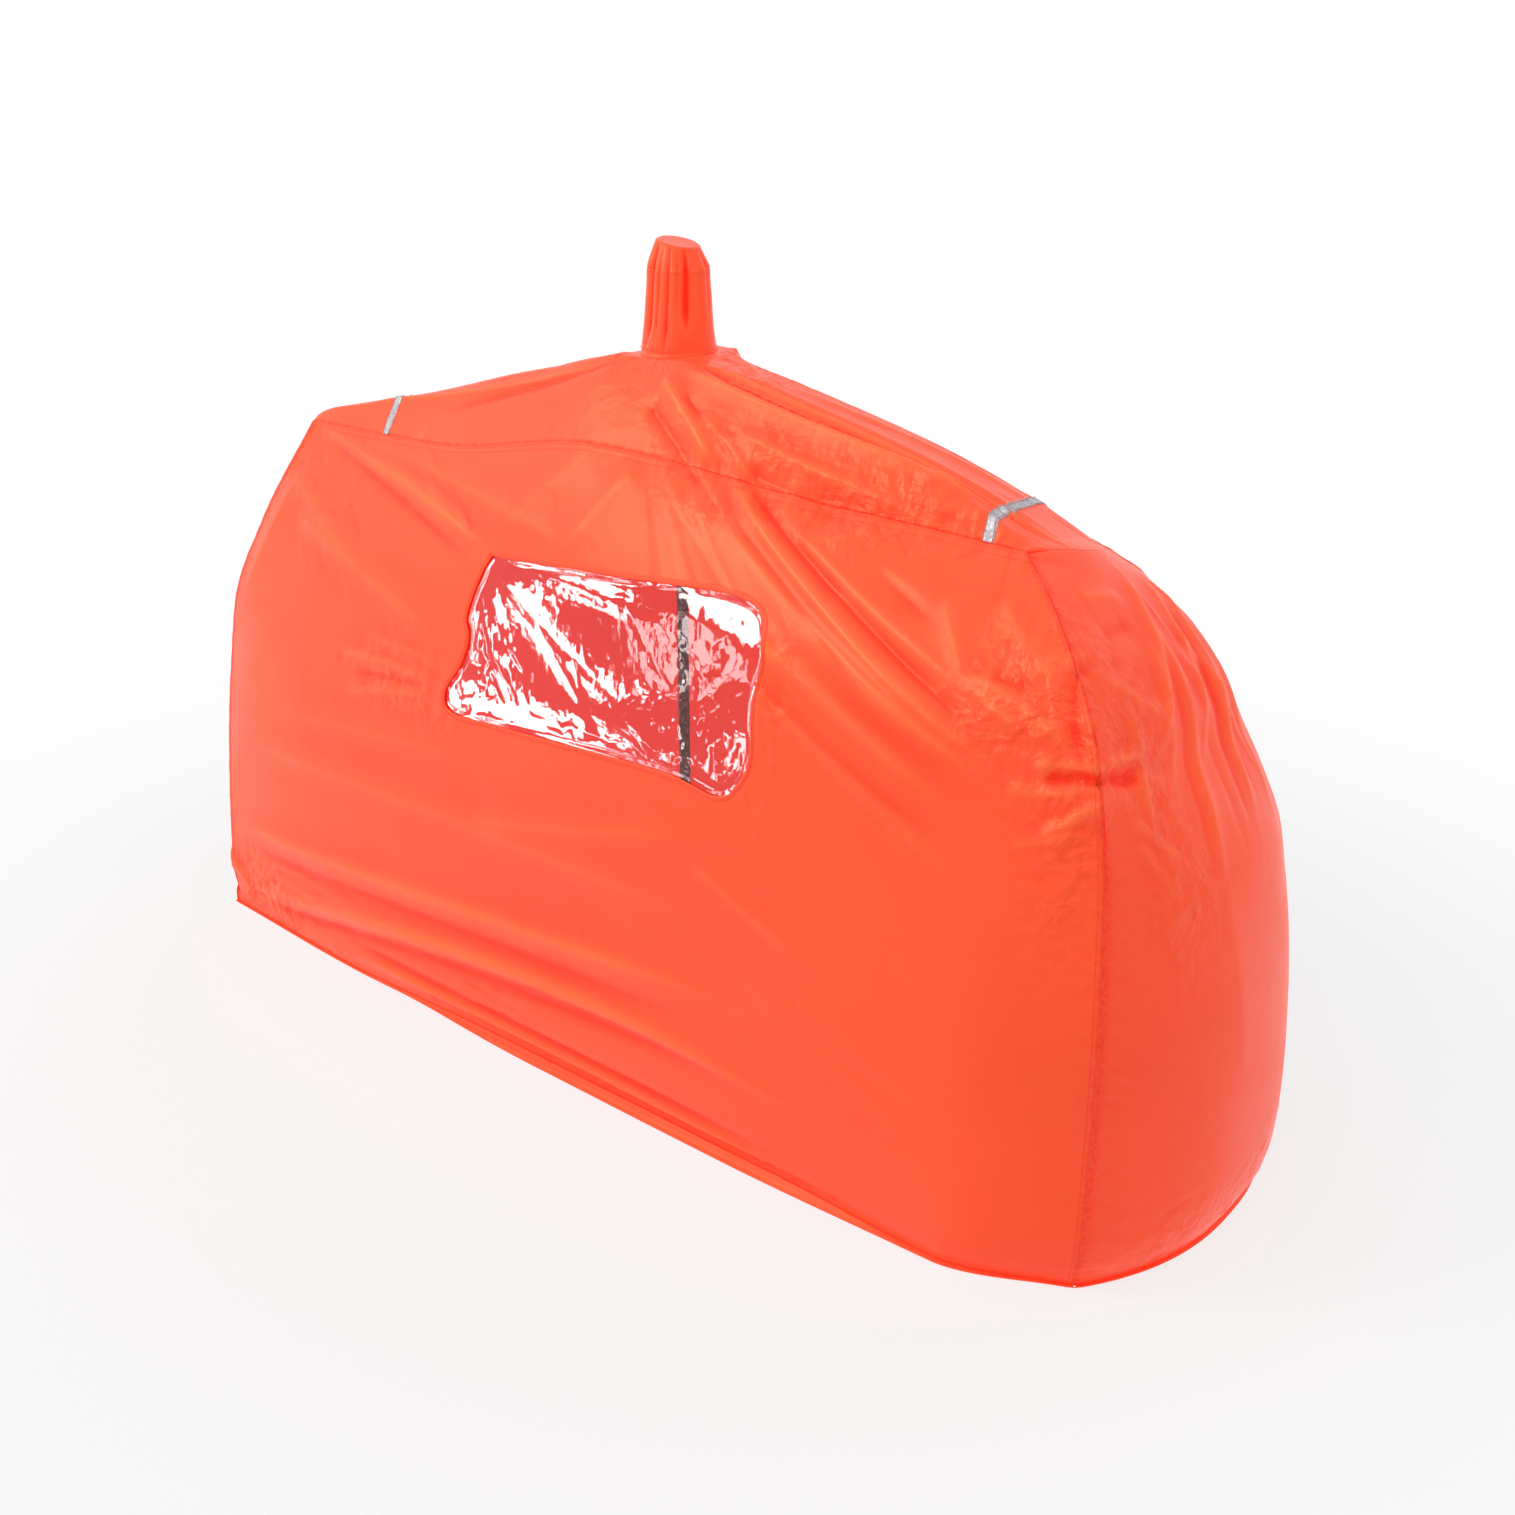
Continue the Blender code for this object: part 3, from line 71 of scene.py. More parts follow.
# Outline of the shelter, measured from the pole, as in the construction
BASE_HALF_LENGTH = 0.704
EAVE_REACH_RIGHT = 0.529
EAVE_REACH_LEFT = 0.556
BASE_DEPTH_RIGHT = 0.225
BASE_DEPTH_LEFT = 0.187
EAVE_DEPTH = 0.093
EAVE_HEIGHT = 0.704
EAVE_RISE = 0.042
EAVE_BULGE = 0.032
END_BULGE_RIGHT = 0.065
END_BULGE_LEFT = 0.015
WALL_BELLY = 0.035
BASE_BELLY = 0.045
RIGHT_SEAM_WAY = [(0, 0), (0.09, -0.06), (0.35, -0.09), (0.6, -0.05), (0.785, 0.1), (0.94, 0.61), (1, 1)]
LEFT_SEAM_WAY = [(0, 0), (0.35, -0.045), (0.62, 0.005), (0.8, 0.37), (1, 1)]
LEFT_DEPTH_POWER = 1.4
RIGHT_END_SWELL = [
    (0, 1), (0.15, 1.12), (0.33, 1.05), (0.58, 0.8), (0.68, 0.42), (0.76, 0.12), (0.94, 0.15), (1, 0.42),
]
LEFT_END_SWELL = [(0, 0.8), (0.3, 1.1), (0.62, 0.9), (1, 1.1)]
EAVE_RISE_SHARE = [(0, 0), (0.25, 0.15), (0.5, 1), (0.75, 0.52), (1, 0)]
EAVE_BULGE_SHARE = [(0, 0), (0.25, 0.7), (0.5, 1), (0.75, 0.7), (1, 0)]
BASE_BELLY_SHARE = [(0, 0), (0.25, 0.67), (0.5, 0.9), (0.75, 1.12), (0.9, 1.2), (1, 0)]
CORNER_SHARPNESS = 7
END_ROUNDNESS = 2.4
END_LEAN = 0.12
REAR_DEPTH_SHARE = [(0, 0.9), (0.5, 0.8), (0.8, 0.72), (1, 0.74)]
REAR_INSET = [(0, 0.018), (0.6, 0.045), (0.8, 0.062), (1, 0.022)]
REAR_DROP = 0.022
VENT_RADIUS = 0.0435
ROOF_RISE = 0.134
VENT_HEIGHT = EAVE_HEIGHT + ROOF_RISE
VENT_LEVEL = VENT_RADIUS + 0.0035
VENT_DIP = 0.0055
SHOULDER_RISE_RIGHT = 0.0
SHOULDER_RISE_LEFT = 0.006
RIDGE_SHARE_RIGHT = [(0, 0), (0.06, 0.045), (0.32, 0.255), (0.63, 0.535), (0.9, 0.86), (1, 1)]
RIDGE_SHARE_LEFT = [(0, 0), (0.19, 0.25), (0.31, 0.37), (0.6, 0.69), (0.87, 0.93), (1, 1)]
ROOF_FLAT_SPREAD = 0.075
ROOF_FLAT_LIMIT = 0.88
ROOF_REAR_FLAT = 0.35
ROOF_DROP_POWER = 1.3
ROOF_TILT = 0.14
CHIMNEY_SEAM_HEIGHT = VENT_HEIGHT + 0.091
CHIMNEY_TOP_HEIGHT = CHIMNEY_SEAM_HEIGHT + 0.0285
CHIMNEY_SEAM_RADIUS = 0.0368
CHIMNEY_TOP_RADIUS = 0.0246
CHIMNEY_SLANT = 0.22
CHIMNEY_SHIFT = 0.001
CAP_GATHER = 0.001
CHIMNEY_COLUMNS = 193
CHIMNEY_ROWS = 61

# Window opening in the front wall, as (x, z) places that its edge curves through
WINDOW_EDGE = [
    (-0.134, 0.604), (-0.158, 0.540), (-0.149, 0.514), (-0.158, 0.481), (-0.184, 0.442), (-0.166, 0.420),
    (-0.060, 0.425), (0.180, 0.437), (0.262, 0.430), (0.292, 0.450), (0.304, 0.482), (0.298, 0.540),
    (0.301, 0.590), (0.262, 0.630), (0.100, 0.626), (-0.108, 0.612),
]
WINDOW_MARGIN = 0.012
BINDING_WIDTH = 0.006
FILM_BEHIND = 0.0022
FILM_THICKNESS = 0.0004
FILM_SPACING = 0.0018

# Reflective tapes: distance from the pole
TAPE_RIGHT = 0.484
TAPE_LEFT = -0.395
TAPE_WIDTH = 0.013
TAPE_SLANT = -0.12
TAPE_LIFT = 0.0012
TAPE_STITCH_OFF = 0.0052

HEM_WIDTH = 0.03
# Where a hem rises to its wall's foot: how far in, over what width, and at which share of its rows
FOOT_REACH = 0.0036
FOOT_SPREAD = 0.0048
RIDGE_SHARE = 0.25
# How far the front hem shows outside its wall, and the share of that along it
FRONT_HEM_OUT = 0.0075
FRONT_HEM_OUT_SHARE = [(0, 0), (0.28, 0), (0.48, 0.9), (0.7, 1), (0.88, 0.3), (1, 0)]
# Room between a seat's sewn side and the hem, so that the seat can fold up
SEAT_SEAM_GAP = 0.002
SEAT_CORNER = 0.035
SEAT_SPACING = 0.004

# Share of the long walls' length, and of the height, at which the grid's lines crowd or thin out
COLUMN_KNOTS = [(0, 0.0), (18, 0.05), (170, 0.55), (340, 0.95), (368, 1.0)]
ROW_KNOTS = [(0, 0.0), (16, 0.06), (96, 0.5), (196, 0.95), (216, 1.0)]
CROSS_COUNT = 151

# Photographed frame: the camera from the pole's foot, its turn and its focal length
CAMERA_AT = (1.452, -1.662, 1.175)
CAMERA_DOWN = 20.83
CAMERA_TURN = 38.8
CAMERA_LENS = 45.15


def length_property(name, description, default):
    return bpy.props.FloatProperty(name=name, description=description, default=default, unit="LENGTH")


def number_property(name, description, default):
    return bpy.props.FloatProperty(name=name, description=description, default=default)


def colour_property(name, description, default):
    return bpy.props.FloatVectorProperty(
        name=name, description=description, default=default, subtype="COLOR", size=3, min=0, max=1
    )


class ShelterSizes(bpy.types.PropertyGroup):
    """Sizes of the cloth's fine form."""

    thickness: length_property("Cloth thickness", "Thickness of the coated cloth", 0.0007)
    fold_scale: number_property("Fold height", "Height of every fold, as a share of the drawn one", 1.0)
    seam_width: length_property("Seam width", "Width of the felled seams", 0.009)
    stitch_pitch: length_property("Stitch pitch", "Distance from one stitch to the next", 0.0032)
    stitch_radius: length_property("Thread radius", "Radius of the sewing thread", 0.00028)


class ShelterColours(bpy.types.PropertyGroup):
    """Colours of the finishes."""

    cloth: colour_property("Cloth", "Coated cloth in plain light", (0.93, 0.132, 0.054))
    # Painted shade and painted highlight: the colours that the cloth takes down in its folds and along its
    # seams, and on its crests
    cloth_deep: colour_property("Cloth in folds", "Coated cloth down in its folds", (0.85, 0.046, 0.020))
    cloth_light: colour_property("Cloth on crests", "Coated cloth along the crests", (0.96, 0.200, 0.070))
    # Painted glow: emitted colours that stand in for daylight shining through the cloth, on its outer and its
    # inner side
    painted_glow: colour_property("Light through", "Daylight that shines through the cloth", (0.38, 0.006, 0.002))
    painted_inner_glow: colour_property("Light inside", "Daylight through cloth, seen inside", (0.15, 0.004, 0.002))
    thread: colour_property("Thread", "Sewing thread", (0.72, 0.06, 0.03))
    film: colour_property("Window film", "Clear film", (1.0, 0.88, 0.86))
    tape: colour_property("Reflective tape", "Silver tape", (0.66, 0.64, 0.66))
    black: colour_property("Black plastic", "Grip, levers, basket", (0.022, 0.022, 0.024))
    grey: colour_property("Grey plastic", "Clamps and grip head", (0.1, 0.1, 0.11))
    shaft: colour_property("Shaft", "Anodised tubes", (0.035, 0.028, 0.028))
    steel: colour_property("Steel", "Screws, pins and tip", (0.56, 0.56, 0.58))


class ShelterStage(bpy.types.PropertyGroup):
    """Light and floor."""

    key_level: number_property("Key", "Brightness of the key softbox", 8.4)
    glint_level: number_property("Glint", "Brightness of the strip lamps mirrored in the film", 25.0)
    glint_rise: number_property("Glint rise", "Turn of the strip lamps above the mirrored view", 13.0)
    top_level: number_property("Top", "Brightness of the overhead softbox", 1.3)
    side_level: number_property("Side", "Brightness of the side softbox", 1.2)
    room_level: number_property("Room", "Brightness of the room on the cloth", 0.28)


def sizes():
    return bpy.context.scene.shelter_sizes


def colours():
    return bpy.context.scene.shelter_colours


# Curves and shapes of the skin


def smooth_through(knots, x):
    """Smooth curve through (position, value) knots that never overshoots them."""
    places = np.array([knot[0] for knot in knots], float)
    values = np.array([knot[1] for knot in knots], float)
    steps = np.diff(places)
    slopes = np.diff(values) / steps
    tangents = np.empty(len(places))
    tangents[0] = slopes[0]
    tangents[-1] = slopes[-1]
    for i in range(1, len(places) - 1):
        before, after = slopes[i - 1], slopes[i]
        if before * after <= 0:
            tangents[i] = 0.0
            continue
        near = 2 * steps[i] + steps[i - 1]
        far = steps[i] + 2 * steps[i - 1]
        tangents[i] = (near + far) / (near / before + far / after)
    x = np.clip(np.asarray(x, float), places[0], places[-1])
    i = np.clip(np.searchsorted(places, x, side="right") - 1, 0, len(places) - 2)
    t = (x - places[i]) / steps[i]
    rise = values[i] * (1 + 2 * t) * (1 - t) ** 2 + values[i + 1] * t * t * (3 - 2 * t)
    lean = tangents[i] * t * (1 - t) ** 2 + tangents[i + 1] * t * t * (t - 1)
    return rise + steps[i] * lean


def between(start, end, share):
    return start + (end - start) * share


def eased(share):
    """0 to 1 with a soft start and end."""
    share = np.clip(share, 0, 1)
    return share * share * (3 - 2 * share)


def long_wall(s, t, rear=False):
    """Front or rear wall: s runs 0 left to 1 right, t runs 0 ground to 1 eave."""
    right = between(BASE_HALF_LENGTH, EAVE_REACH_RIGHT, smooth_through(RIGHT_SEAM_WAY, t))
    left = -between(BASE_HALF_LENGTH, EAVE_REACH_LEFT, smooth_through(LEFT_SEAM_WAY, t))
    depth_right = between(BASE_DEPTH_RIGHT, EAVE_DEPTH, smooth_through(RIGHT_SEAM_WAY, t))
    depth_left = between(BASE_DEPTH_LEFT, EAVE_DEPTH, t**LEFT_DEPTH_POWER)
    z = t * (EAVE_HEIGHT + EAVE_RISE * smooth_through(EAVE_RISE_SHARE, s))
    if rear:
        right = right - smooth_through(REAR_INSET, t)
        z = z - t * REAR_DROP * (s**3 + 0.3 * (1 - s) ** 3)
    x = between(left, right, s)
    away_from_seams = 1 - np.abs(2 * s - 1) ** CORNER_SHARPNESS
    depth = between(depth_left, depth_right, s)
    depth = depth + BASE_BELLY * smooth_through(BASE_BELLY_SHARE, s) * (1 - t) ** 2
    depth = depth + EAVE_BULGE * smooth_through(EAVE_BULGE_SHARE, s) * t**2
    depth = depth + WALL_BELLY * away_from_seams * np.sin(np.pi * t)
    if rear:
        return np.stack([x, depth * smooth_through(REAR_DEPTH_SHARE, t), z], -1)
    return np.stack([x, -depth, z], -1)


def rear_wall(s, t):
    return long_wall(s, t, rear=True)


def end_wall(u, t, right=True):
    """End wall: u runs -1 front seam to 1 rear seam, t runs 0 ground to 1 shoulder."""
    s = np.full_like(t, 1.0 if right else 0.0)
    front = long_wall(s, t)
    rear = long_wall(s, t, rear=True)
    point = front + (rear - front) * ((u + 1) / 2)[..., None]
    swell = smooth_through(RIGHT_END_SWELL, t) * END_BULGE_RIGHT
    side = 1.0
    if not right:
        swell = smooth_through(LEFT_END_SWELL, t) * END_BULGE_LEFT
        side = -1.0
    crown = 1 - np.abs(u) ** END_ROUNDNESS
    point[..., 0] += (front[..., 0] + side * swell - point[..., 0]) * crown * (1 - END_LEAN * u)
    rise = SHOULDER_RISE_RIGHT if right else SHOULDER_RISE_LEFT
    point[..., 2] += (rise - ROOF_TILT * u * EAVE_DEPTH * 0.5) * crown * t**4
    return point


def left_end_wall(u, t):
    return end_wall(u, t, right=False)


def ridge_height(x):
    """Height of the roof's middle line: level at the chimney, then falling to both shoulders."""
    reach = np.where(x > 0, EAVE_REACH_RIGHT, EAVE_REACH_LEFT)
    fall = ROOF_RISE - np.where(x > 0, SHOULDER_RISE_RIGHT, SHOULDER_RISE_LEFT)
    share = np.clip((np.abs(x) - VENT_LEVEL) / (reach - VENT_LEVEL), 0, 1)
    right = smooth_through(RIDGE_SHARE_RIGHT, share)
    left = smooth_through(RIDGE_SHARE_LEFT, share)
    return VENT_HEIGHT - fall * np.where(x > 0, right, left)


def vent_dip(x, y):
    """How far the roof sinks in front of the chimney and to its left."""
    distance = np.hypot(x, y)
    side = eased(0.5 - (0.75 * y + 0.5 * x) / (2 * np.maximum(distance, 0.02)))
    return VENT_DIP * side * (1 - eased((distance - VENT_RADIUS) / 0.07))


def roof(s, u):
    """Roof: s runs 0 left to 1 right, u runs -1 front eave to 1 rear eave."""
    top = np.ones_like(s)
    front = long_wall(s, top)
    rear = long_wall(s, top, rear=True)
    point = front + (rear - front) * ((u + 1) / 2)[..., None]
    crown = 1 - np.abs(u) ** END_ROUNDNESS
    right_end = smooth_through(RIGHT_END_SWELL, 1.0) * END_BULGE_RIGHT
    left_end = smooth_through(LEFT_END_SWELL, 1.0) * END_BULGE_LEFT
    end_share = np.abs(2 * s - 1) ** 6
    ends = np.where(s > 0.5, right_end, -left_end)
    lean = np.where(s > 0.5, 1 - END_LEAN * u, 1 + END_LEAN * u)
    point[..., 0] += (front[..., 0] + ends - point[..., 0]) * end_share * crown * lean
    x, y, eave = point[..., 0], point[..., 1], point[..., 2].copy()
    half_width = np.abs(np.where(u < 0, front[..., 1], rear[..., 1]))
    flat = VENT_LEVEL + ROOF_FLAT_SPREAD * np.abs(x)
    behind = np.maximum(flat * ROOF_REAR_FLAT, VENT_LEVEL - 1.5 * np.maximum(0, np.abs(x) - VENT_LEVEL))
    flat = np.where(y < 0, flat, behind)
    flat = np.minimum(flat, ROOF_FLAT_LIMIT * half_width)
    drop = np.maximum(0, (np.abs(y) - flat) / (half_width - flat)) ** ROOF_DROP_POWER
    ridge = ridge_height(x) - ROOF_TILT * y * np.minimum(1, np.abs(x) / EAVE_REACH_RIGHT)
    tent = eave + (ridge - eave) * (1 - drop)
    rise = np.where(s > 0.5, SHOULDER_RISE_RIGHT, SHOULDER_RISE_LEFT)
    end_height = eave + (rise - ROOF_TILT * u * EAVE_DEPTH * 0.5) * crown
    point[..., 2] = between(tent, end_height, np.abs(2 * s - 1) ** 24) - vent_dip(x, y)
    return point


def wall_share(x, z):
    """Shares s and t at which the front wall passes a place seen straight from the front."""
    s, t = np.full_like(x, 0.5), np.full_like(x, 0.5)
    for _ in range(12):
        t = z / (EAVE_HEIGHT + EAVE_RISE * smooth_through(EAVE_RISE_SHARE, s))
        right = between(BASE_HALF_LENGTH, EAVE_REACH_RIGHT, smooth_through(RIGHT_SEAM_WAY, t))
        left = -between(BASE_HALF_LENGTH, EAVE_REACH_LEFT, smooth_through(LEFT_SEAM_WAY, t))
        s = (x - left) / (right - left)
    return s, t


# Folds, creases and puckers


def fold(start, end, height, width, bow=0.0, lean=0.0, peak=1.25):
    """A fold between two places of a panel; its height, half width and bow are in millimetres.

    A lower peak is a sharper crest, and 0 is a ridge with flat sides.
    """
    return (np.array(start, float), np.array(end, float), height * MM, width * MM, bow * MM, lean, peak)


def folds_of(*rows):
    """Folds from rows of fold's own values, in its order."""
    return [fold(*row) for row in rows]


def fold_field(folds, a, b):
    """Height of all the folds together at places (a, b) of a panel."""
    total = np.zeros_like(a)
    for start, end, height, width, bow, lean, peak in folds:
        low, high = np.minimum(start, end), np.maximum(start, end)
        margin = 3 * width + abs(bow)
        near = (a > low[0] - margin) & (a < high[0] + margin) & (b > low[1] - margin) & (b < high[1] + margin)
        if not near.any():
            continue
        run = end - start
        length = np.hypot(*run)
        x, y = a[near] - start[0], b[near] - start[1]
        along = (x * run[0] + y * run[1]) / length**2
        kept = np.clip(along, 0, 1)
        off = (x * run[1] - y * run[0]) / length - bow * 4 * kept * (1 - kept)
        fade = eased(kept / 0.16) * eased((1 - kept) / 0.32)
        spread = width * (0.5 + 0.5 * np.sqrt(fade)) * (1 + lean * np.sign(off))
        reach = np.hypot(off, (along - kept) * length) / spread
        total[near] += height * fade * (np.exp(-(reach**peak)) if peak else np.maximum(1 - reach, 0))
    return total


def scattered(seed, count, middle, spread, heading, turn, length, height, width):
    """Short creases strewn over an oval patch, most of them along one heading in degrees."""
    chance = random.Random(seed)
    found = []
    for _ in range(count):
        angle = chance.uniform(0, 2 * math.pi)
        radius = math.sqrt(chance.random())
        centre = np.array(middle) + np.array(spread) * radius * np.array([math.cos(angle), math.sin(angle)])
        way = math.radians(heading + chance.uniform(-turn, turn))
        half = chance.uniform(*length) * MM / 2 * np.array([math.cos(way), math.sin(way)])
        lift = chance.uniform(*height) * chance.choice((1, -1))
        wide = chance.uniform(*width)
        found.append(fold(centre - half, centre + half, lift, wide, lean=chance.uniform(-0.5, 0.5), peak=1.2))
    return found


def fanned(seed, count, origin, headings, starts, lengths, height, width):
    """Folds that spread from one place, alternately raised and sunk."""
    chance = random.Random(seed)
    found = []
    for number in range(count):
        heading = between(*headings, (number + chance.uniform(0.2, 0.8)) / count)
        way = np.array([math.cos(math.radians(heading)), math.sin(math.radians(heading))])
        first = chance.uniform(*starts)
        last = first + chance.uniform(*lengths)
        lift = chance.uniform(*height) * (1 if number % 2 else -0.7)
        start, end = np.array(origin) + way * first, np.array(origin) + way * last
        bow = chance.uniform(-6, 6)
        found.append(fold(start, end, lift, chance.uniform(*width), bow, chance.uniform(-0.4, 0.4)))
    return found


def puckers(seed, path, inward, spacing, length, height, width, turn=22):
    """Short folds drawn in from a seam by its stitching. The path holds the seam's places."""
    chance = random.Random(seed)
    steps = np.hypot(*np.diff(path, axis=0).T)
    distance = np.concatenate([[0], np.cumsum(steps)])
    heading = math.atan2(inward[1], inward[0])
    found = []
    place = chance.uniform(*spacing) * MM
    while place < distance[-1]:
        start = np.array([np.interp(place, distance, path[:, 0]), np.interp(place, distance, path[:, 1])])
        way = heading + math.radians(chance.uniform(-turn, turn))
        reach = chance.uniform(*length) * MM
        step = np.array([math.cos(way), math.sin(way)])
        lift = chance.uniform(*height) * chance.choice((1, 1, -1))
        wide = chance.uniform(*width)
        found.append(fold(start - step * reach * 0.35, start + step * reach, lift, wide, peak=1.3))
        place += chance.uniform(*spacing) * MM
    return found


def crumpled(a, b, seed, size, layers):
    """Facets of a film that was folded small: sets of straight creases, one across another, from 0 to 1."""
    chance = random.Random(seed)
    total = np.zeros_like(a)
    for _ in range(layers):
        angle = chance.uniform(0, math.pi)
        across = a * math.cos(angle) + b * math.sin(angle)
        along = b * math.cos(angle) - a * math.sin(angle)
        pitch = size * chance.uniform(0.6, 1.7)
        bend = 0.4 * pitch * np.sin(along / (pitch * 1.7) + chance.uniform(0, 6))
        ridge = 2 * np.abs(((across + bend) / pitch + chance.random()) % 1 - 0.5)
        patch = np.sin(a / size * 0.9 + chance.uniform(0, 6)) * np.sin(b / size * 0.9 + chance.uniform(0, 6))
        total += ridge * (0.5 + 0.5 * patch)
    return total / layers


# Main folds of the front wall, by (x, z)
FRONT_FOLDS = folds_of(
    ((0.085, 0.765), (0.61, 0.512), 10, 12, 15, 0.35), ((0.16, 0.742), (0.605, 0.528), 9, 10, 9, 0.3),
    ((0.08, 0.755), (0.45, 0.565), -8, 12, -4, -0.3), ((0.17, 0.745), (0.585, 0.552), -7, 9, 4, -0.3),
    ((0.255, 0.735), (0.5, 0.632), -5.5, 15, -3), ((0.3, 0.715), (0.48, 0.655), 4, 12, 3),
    ((0.225, 0.725), (0.56, 0.588), 4, 9, 4, 0.3), ((0.06, 0.755), (0.345, 0.56), 3.5, 14, 2),
    ((0.27, 0.61), (0.57, 0.482), 4.5, 15, 4, 0.3), ((0.29, 0.56), (0.56, 0.45), -2.5, 14, 3),
    ((0.31, 0.545), (0.6, 0.415), 3, 16, 4), ((0.34, 0.66), (0.56, 0.56), 2.4, 7, 3),
    ((0.06, 0.735), (-0.02, 0.625), 3, 16), ((-0.01, 0.75), (-0.12, 0.64), 2.4, 18),
    ((0.474, 0.668), (0.548, 0.588), 3.2, 7, 0, 0, 1.2),
    ((0.53, 0.672), (0.63, 0.605), 3.6, 8, 0, 0.4, 1.2),
    ((0.53, 0.609), (0.662, 0.562), 4.2, 8, -6, 0.5, 1.2),
    ((0.545, 0.597), (0.612, 0.568), 3.4, 5, 0, 0, 1.1),
    ((0.555, 0.61), (0.612, 0.605), -2.4, 5, 0, 0, 1.1),
    ((0.632, 0.64), (0.684, 0.532), -5.5, 11, 6, 0.3, 1.2),
    ((0.6, 0.64), (0.665, 0.545), 3, 7, 4, 0, 1.2),
    ((0.635, 0.533), (0.712, 0.537), -8, 7, -3, -0.4, 1.2),
    ((0.62, 0.543), (0.705, 0.551), 5, 8, -2, 0, 1.3),
    ((0.64, 0.482), (0.702, 0.528), 4, 6, 0, 0.4, 1.2), ((0.6, 0.518), (0.67, 0.524), 3, 6, 0, 0, 1.2),
    ((0.615, 0.468), (0.69, 0.492), 2.6, 6, 0, 0, 1.2),
    ((-0.545, 0.7), (-0.13, 0.61), 6.5, 13, -6, 0.35), ((-0.52, 0.688), (-0.15, 0.59), -3.5, 12, -4),
    ((-0.44, 0.695), (0, 0.64), 3.5, 15, -5), ((-0.41, 0.446), (-0.185, 0.446), 3.2, 6, -5, 0.3, 1.2),
    ((-0.39, 0.396), (-0.19, 0.432), 2.4, 6, -4, 0, 1.2), ((-0.37, 0.424), (-0.2, 0.44), -2.4, 5, -4),
    ((-0.35, 0.475), (-0.165, 0.466), 1.8, 5, -3, 0, 1.2), ((-0.56, 0.59), (-0.18, 0.492), 4, 17, -4),
    ((-0.58, 0.635), (-0.39, 0.55), 3, 15), ((-0.56, 0.64), (-0.67, 0.44), 3.5, 20, 6),
    ((-0.64, 0.27), (0.34, 0.288), 4, 22, -10), ((-0.56, 0.33), (-0.1, 0.372), 3, 20, -6),
    ((-0.13, 0.3), (0.26, 0.388), 3.5, 20, 6), ((-0.69, 0.135), (0.36, 0.21), 6, 17, -3, 0.3),
    ((-0.68, 0.105), (0.3, 0.165), -3.5, 13, -6), ((-0.66, 0.02), (0.36, 0.112), -6, 12, -24, 0.3),
    ((-0.66, 0.045), (0.33, 0.135), 5, 12, -20, 0.3), ((-0.5, 0.076), (0.49, 0.1), 3.5, 9, -34),
    ((-0.43, 0.048), (0.4, 0.042), -5, 8, 2, 0.3), ((-0.42, 0.03), (0.46, 0.02), 5, 8, -4),
    ((0.23, 0.352), (0.4, 0.284), 2.2, 9), ((0.38, 0.25), (0.6, 0.162), 1.3, 15, 6),
    ((0.31, 0.25), (0.56, 0.13), 1, 15, 6), ((0.3, 0.62), (0.31, 0.48), 2, 8),
    ((-0.742, 0.078), (-0.685, 0.01), -6.5, 9, 4), ((-0.738, 0.105), (-0.64, 0.03), 4.5, 8, 6),
)

# Main folds of the rear wall, by (x, z)
REAR_FOLDS = folds_of(
    ((0.1, 0.74), (0.57, 0.49), 9, 17, 12, 0.3), ((0.18, 0.72), (0.6, 0.55), 6, 13, 8),
    ((0.12, 0.71), (0.5, 0.5), -6, 14, 6), ((-0.08, 0.74), (-0.58, 0.5), 9, 17, -12, -0.3),
    ((-0.17, 0.73), (-0.6, 0.56), 6, 13, -8), ((-0.12, 0.71), (-0.5, 0.49), -6, 14, -6),
    ((-0.62, 0.12), (0.3, 0.17), 6, 20, -6), ((-0.5, 0.05), (0.5, 0.04), -5, 12, -8),
    ((0.6, 0.22), (-0.2, 0.3), 5, 22, 8), ((0.03, 0.72), (0.09, 0.44), 4, 18),
    ((-0.04, 0.7), (-0.1, 0.4), 4, 18),
)

# Main folds of the right end wall, by (y, z)
RIGHT_END_FOLDS = folds_of(
    ((0.01, 0.68), (-0.125, 0.53), 5, 9, -8, 0.3), ((0.05, 0.672), (-0.05, 0.5), 4, 9, -5),
    ((0.07, 0.66), (0.02, 0.44), 5.5, 10, 5, 0.3), ((0.045, 0.65), (-0.01, 0.43), -3.5, 8),
    ((0.095, 0.64), (0.07, 0.4), 4, 11, 5), ((-0.02, 0.64), (-0.095, 0.4), 3.6, 10, -4),
    ((0.12, 0.6), (0.11, 0.33), 3, 12), ((-0.1, 0.668), (-0.03, 0.656), 3, 6, -3, 0, 1.2),
    ((-0.112, 0.64), (-0.05, 0.64), -2.4, 6, 0, 0, 1.2),
    ((-0.135, 0.6), (-0.165, 0.47), 3.2, 7, -3, 0, 1.2),
    ((-0.15, 0.615), (-0.085, 0.56), 3, 7, 0, 0, 1.2),
    ((-0.2, 0.536), (-0.15, 0.526), -7, 7, 2, -0.4, 1.2),
    ((-0.205, 0.552), (-0.14, 0.545), 4, 7, 0, 0, 1.3),
    ((-0.185, 0.5), (-0.13, 0.44), 3.6, 6, 0, 0.4, 1.2),
    ((-0.19, 0.48), (-0.15, 0.405), 2.4, 6, 0, 0, 1.2), ((-0.09, 0.42), (-0.06, 0.18), 1.8, 20),
)

# Main folds of the left end wall, by (y, z)
LEFT_END_FOLDS = folds_of(
    ((-0.06, 0.69), (-0.12, 0.38), 4.5, 12, -4), ((0, 0.69), (-0.02, 0.34), 4, 13),
    ((0.05, 0.67), (0.09, 0.36), 4.5, 12, 4), ((-0.15, 0.09), (0.1, 0.06), 4, 12),
    ((-0.17, 0.05), (0.02, 0.12), -3, 9),
)

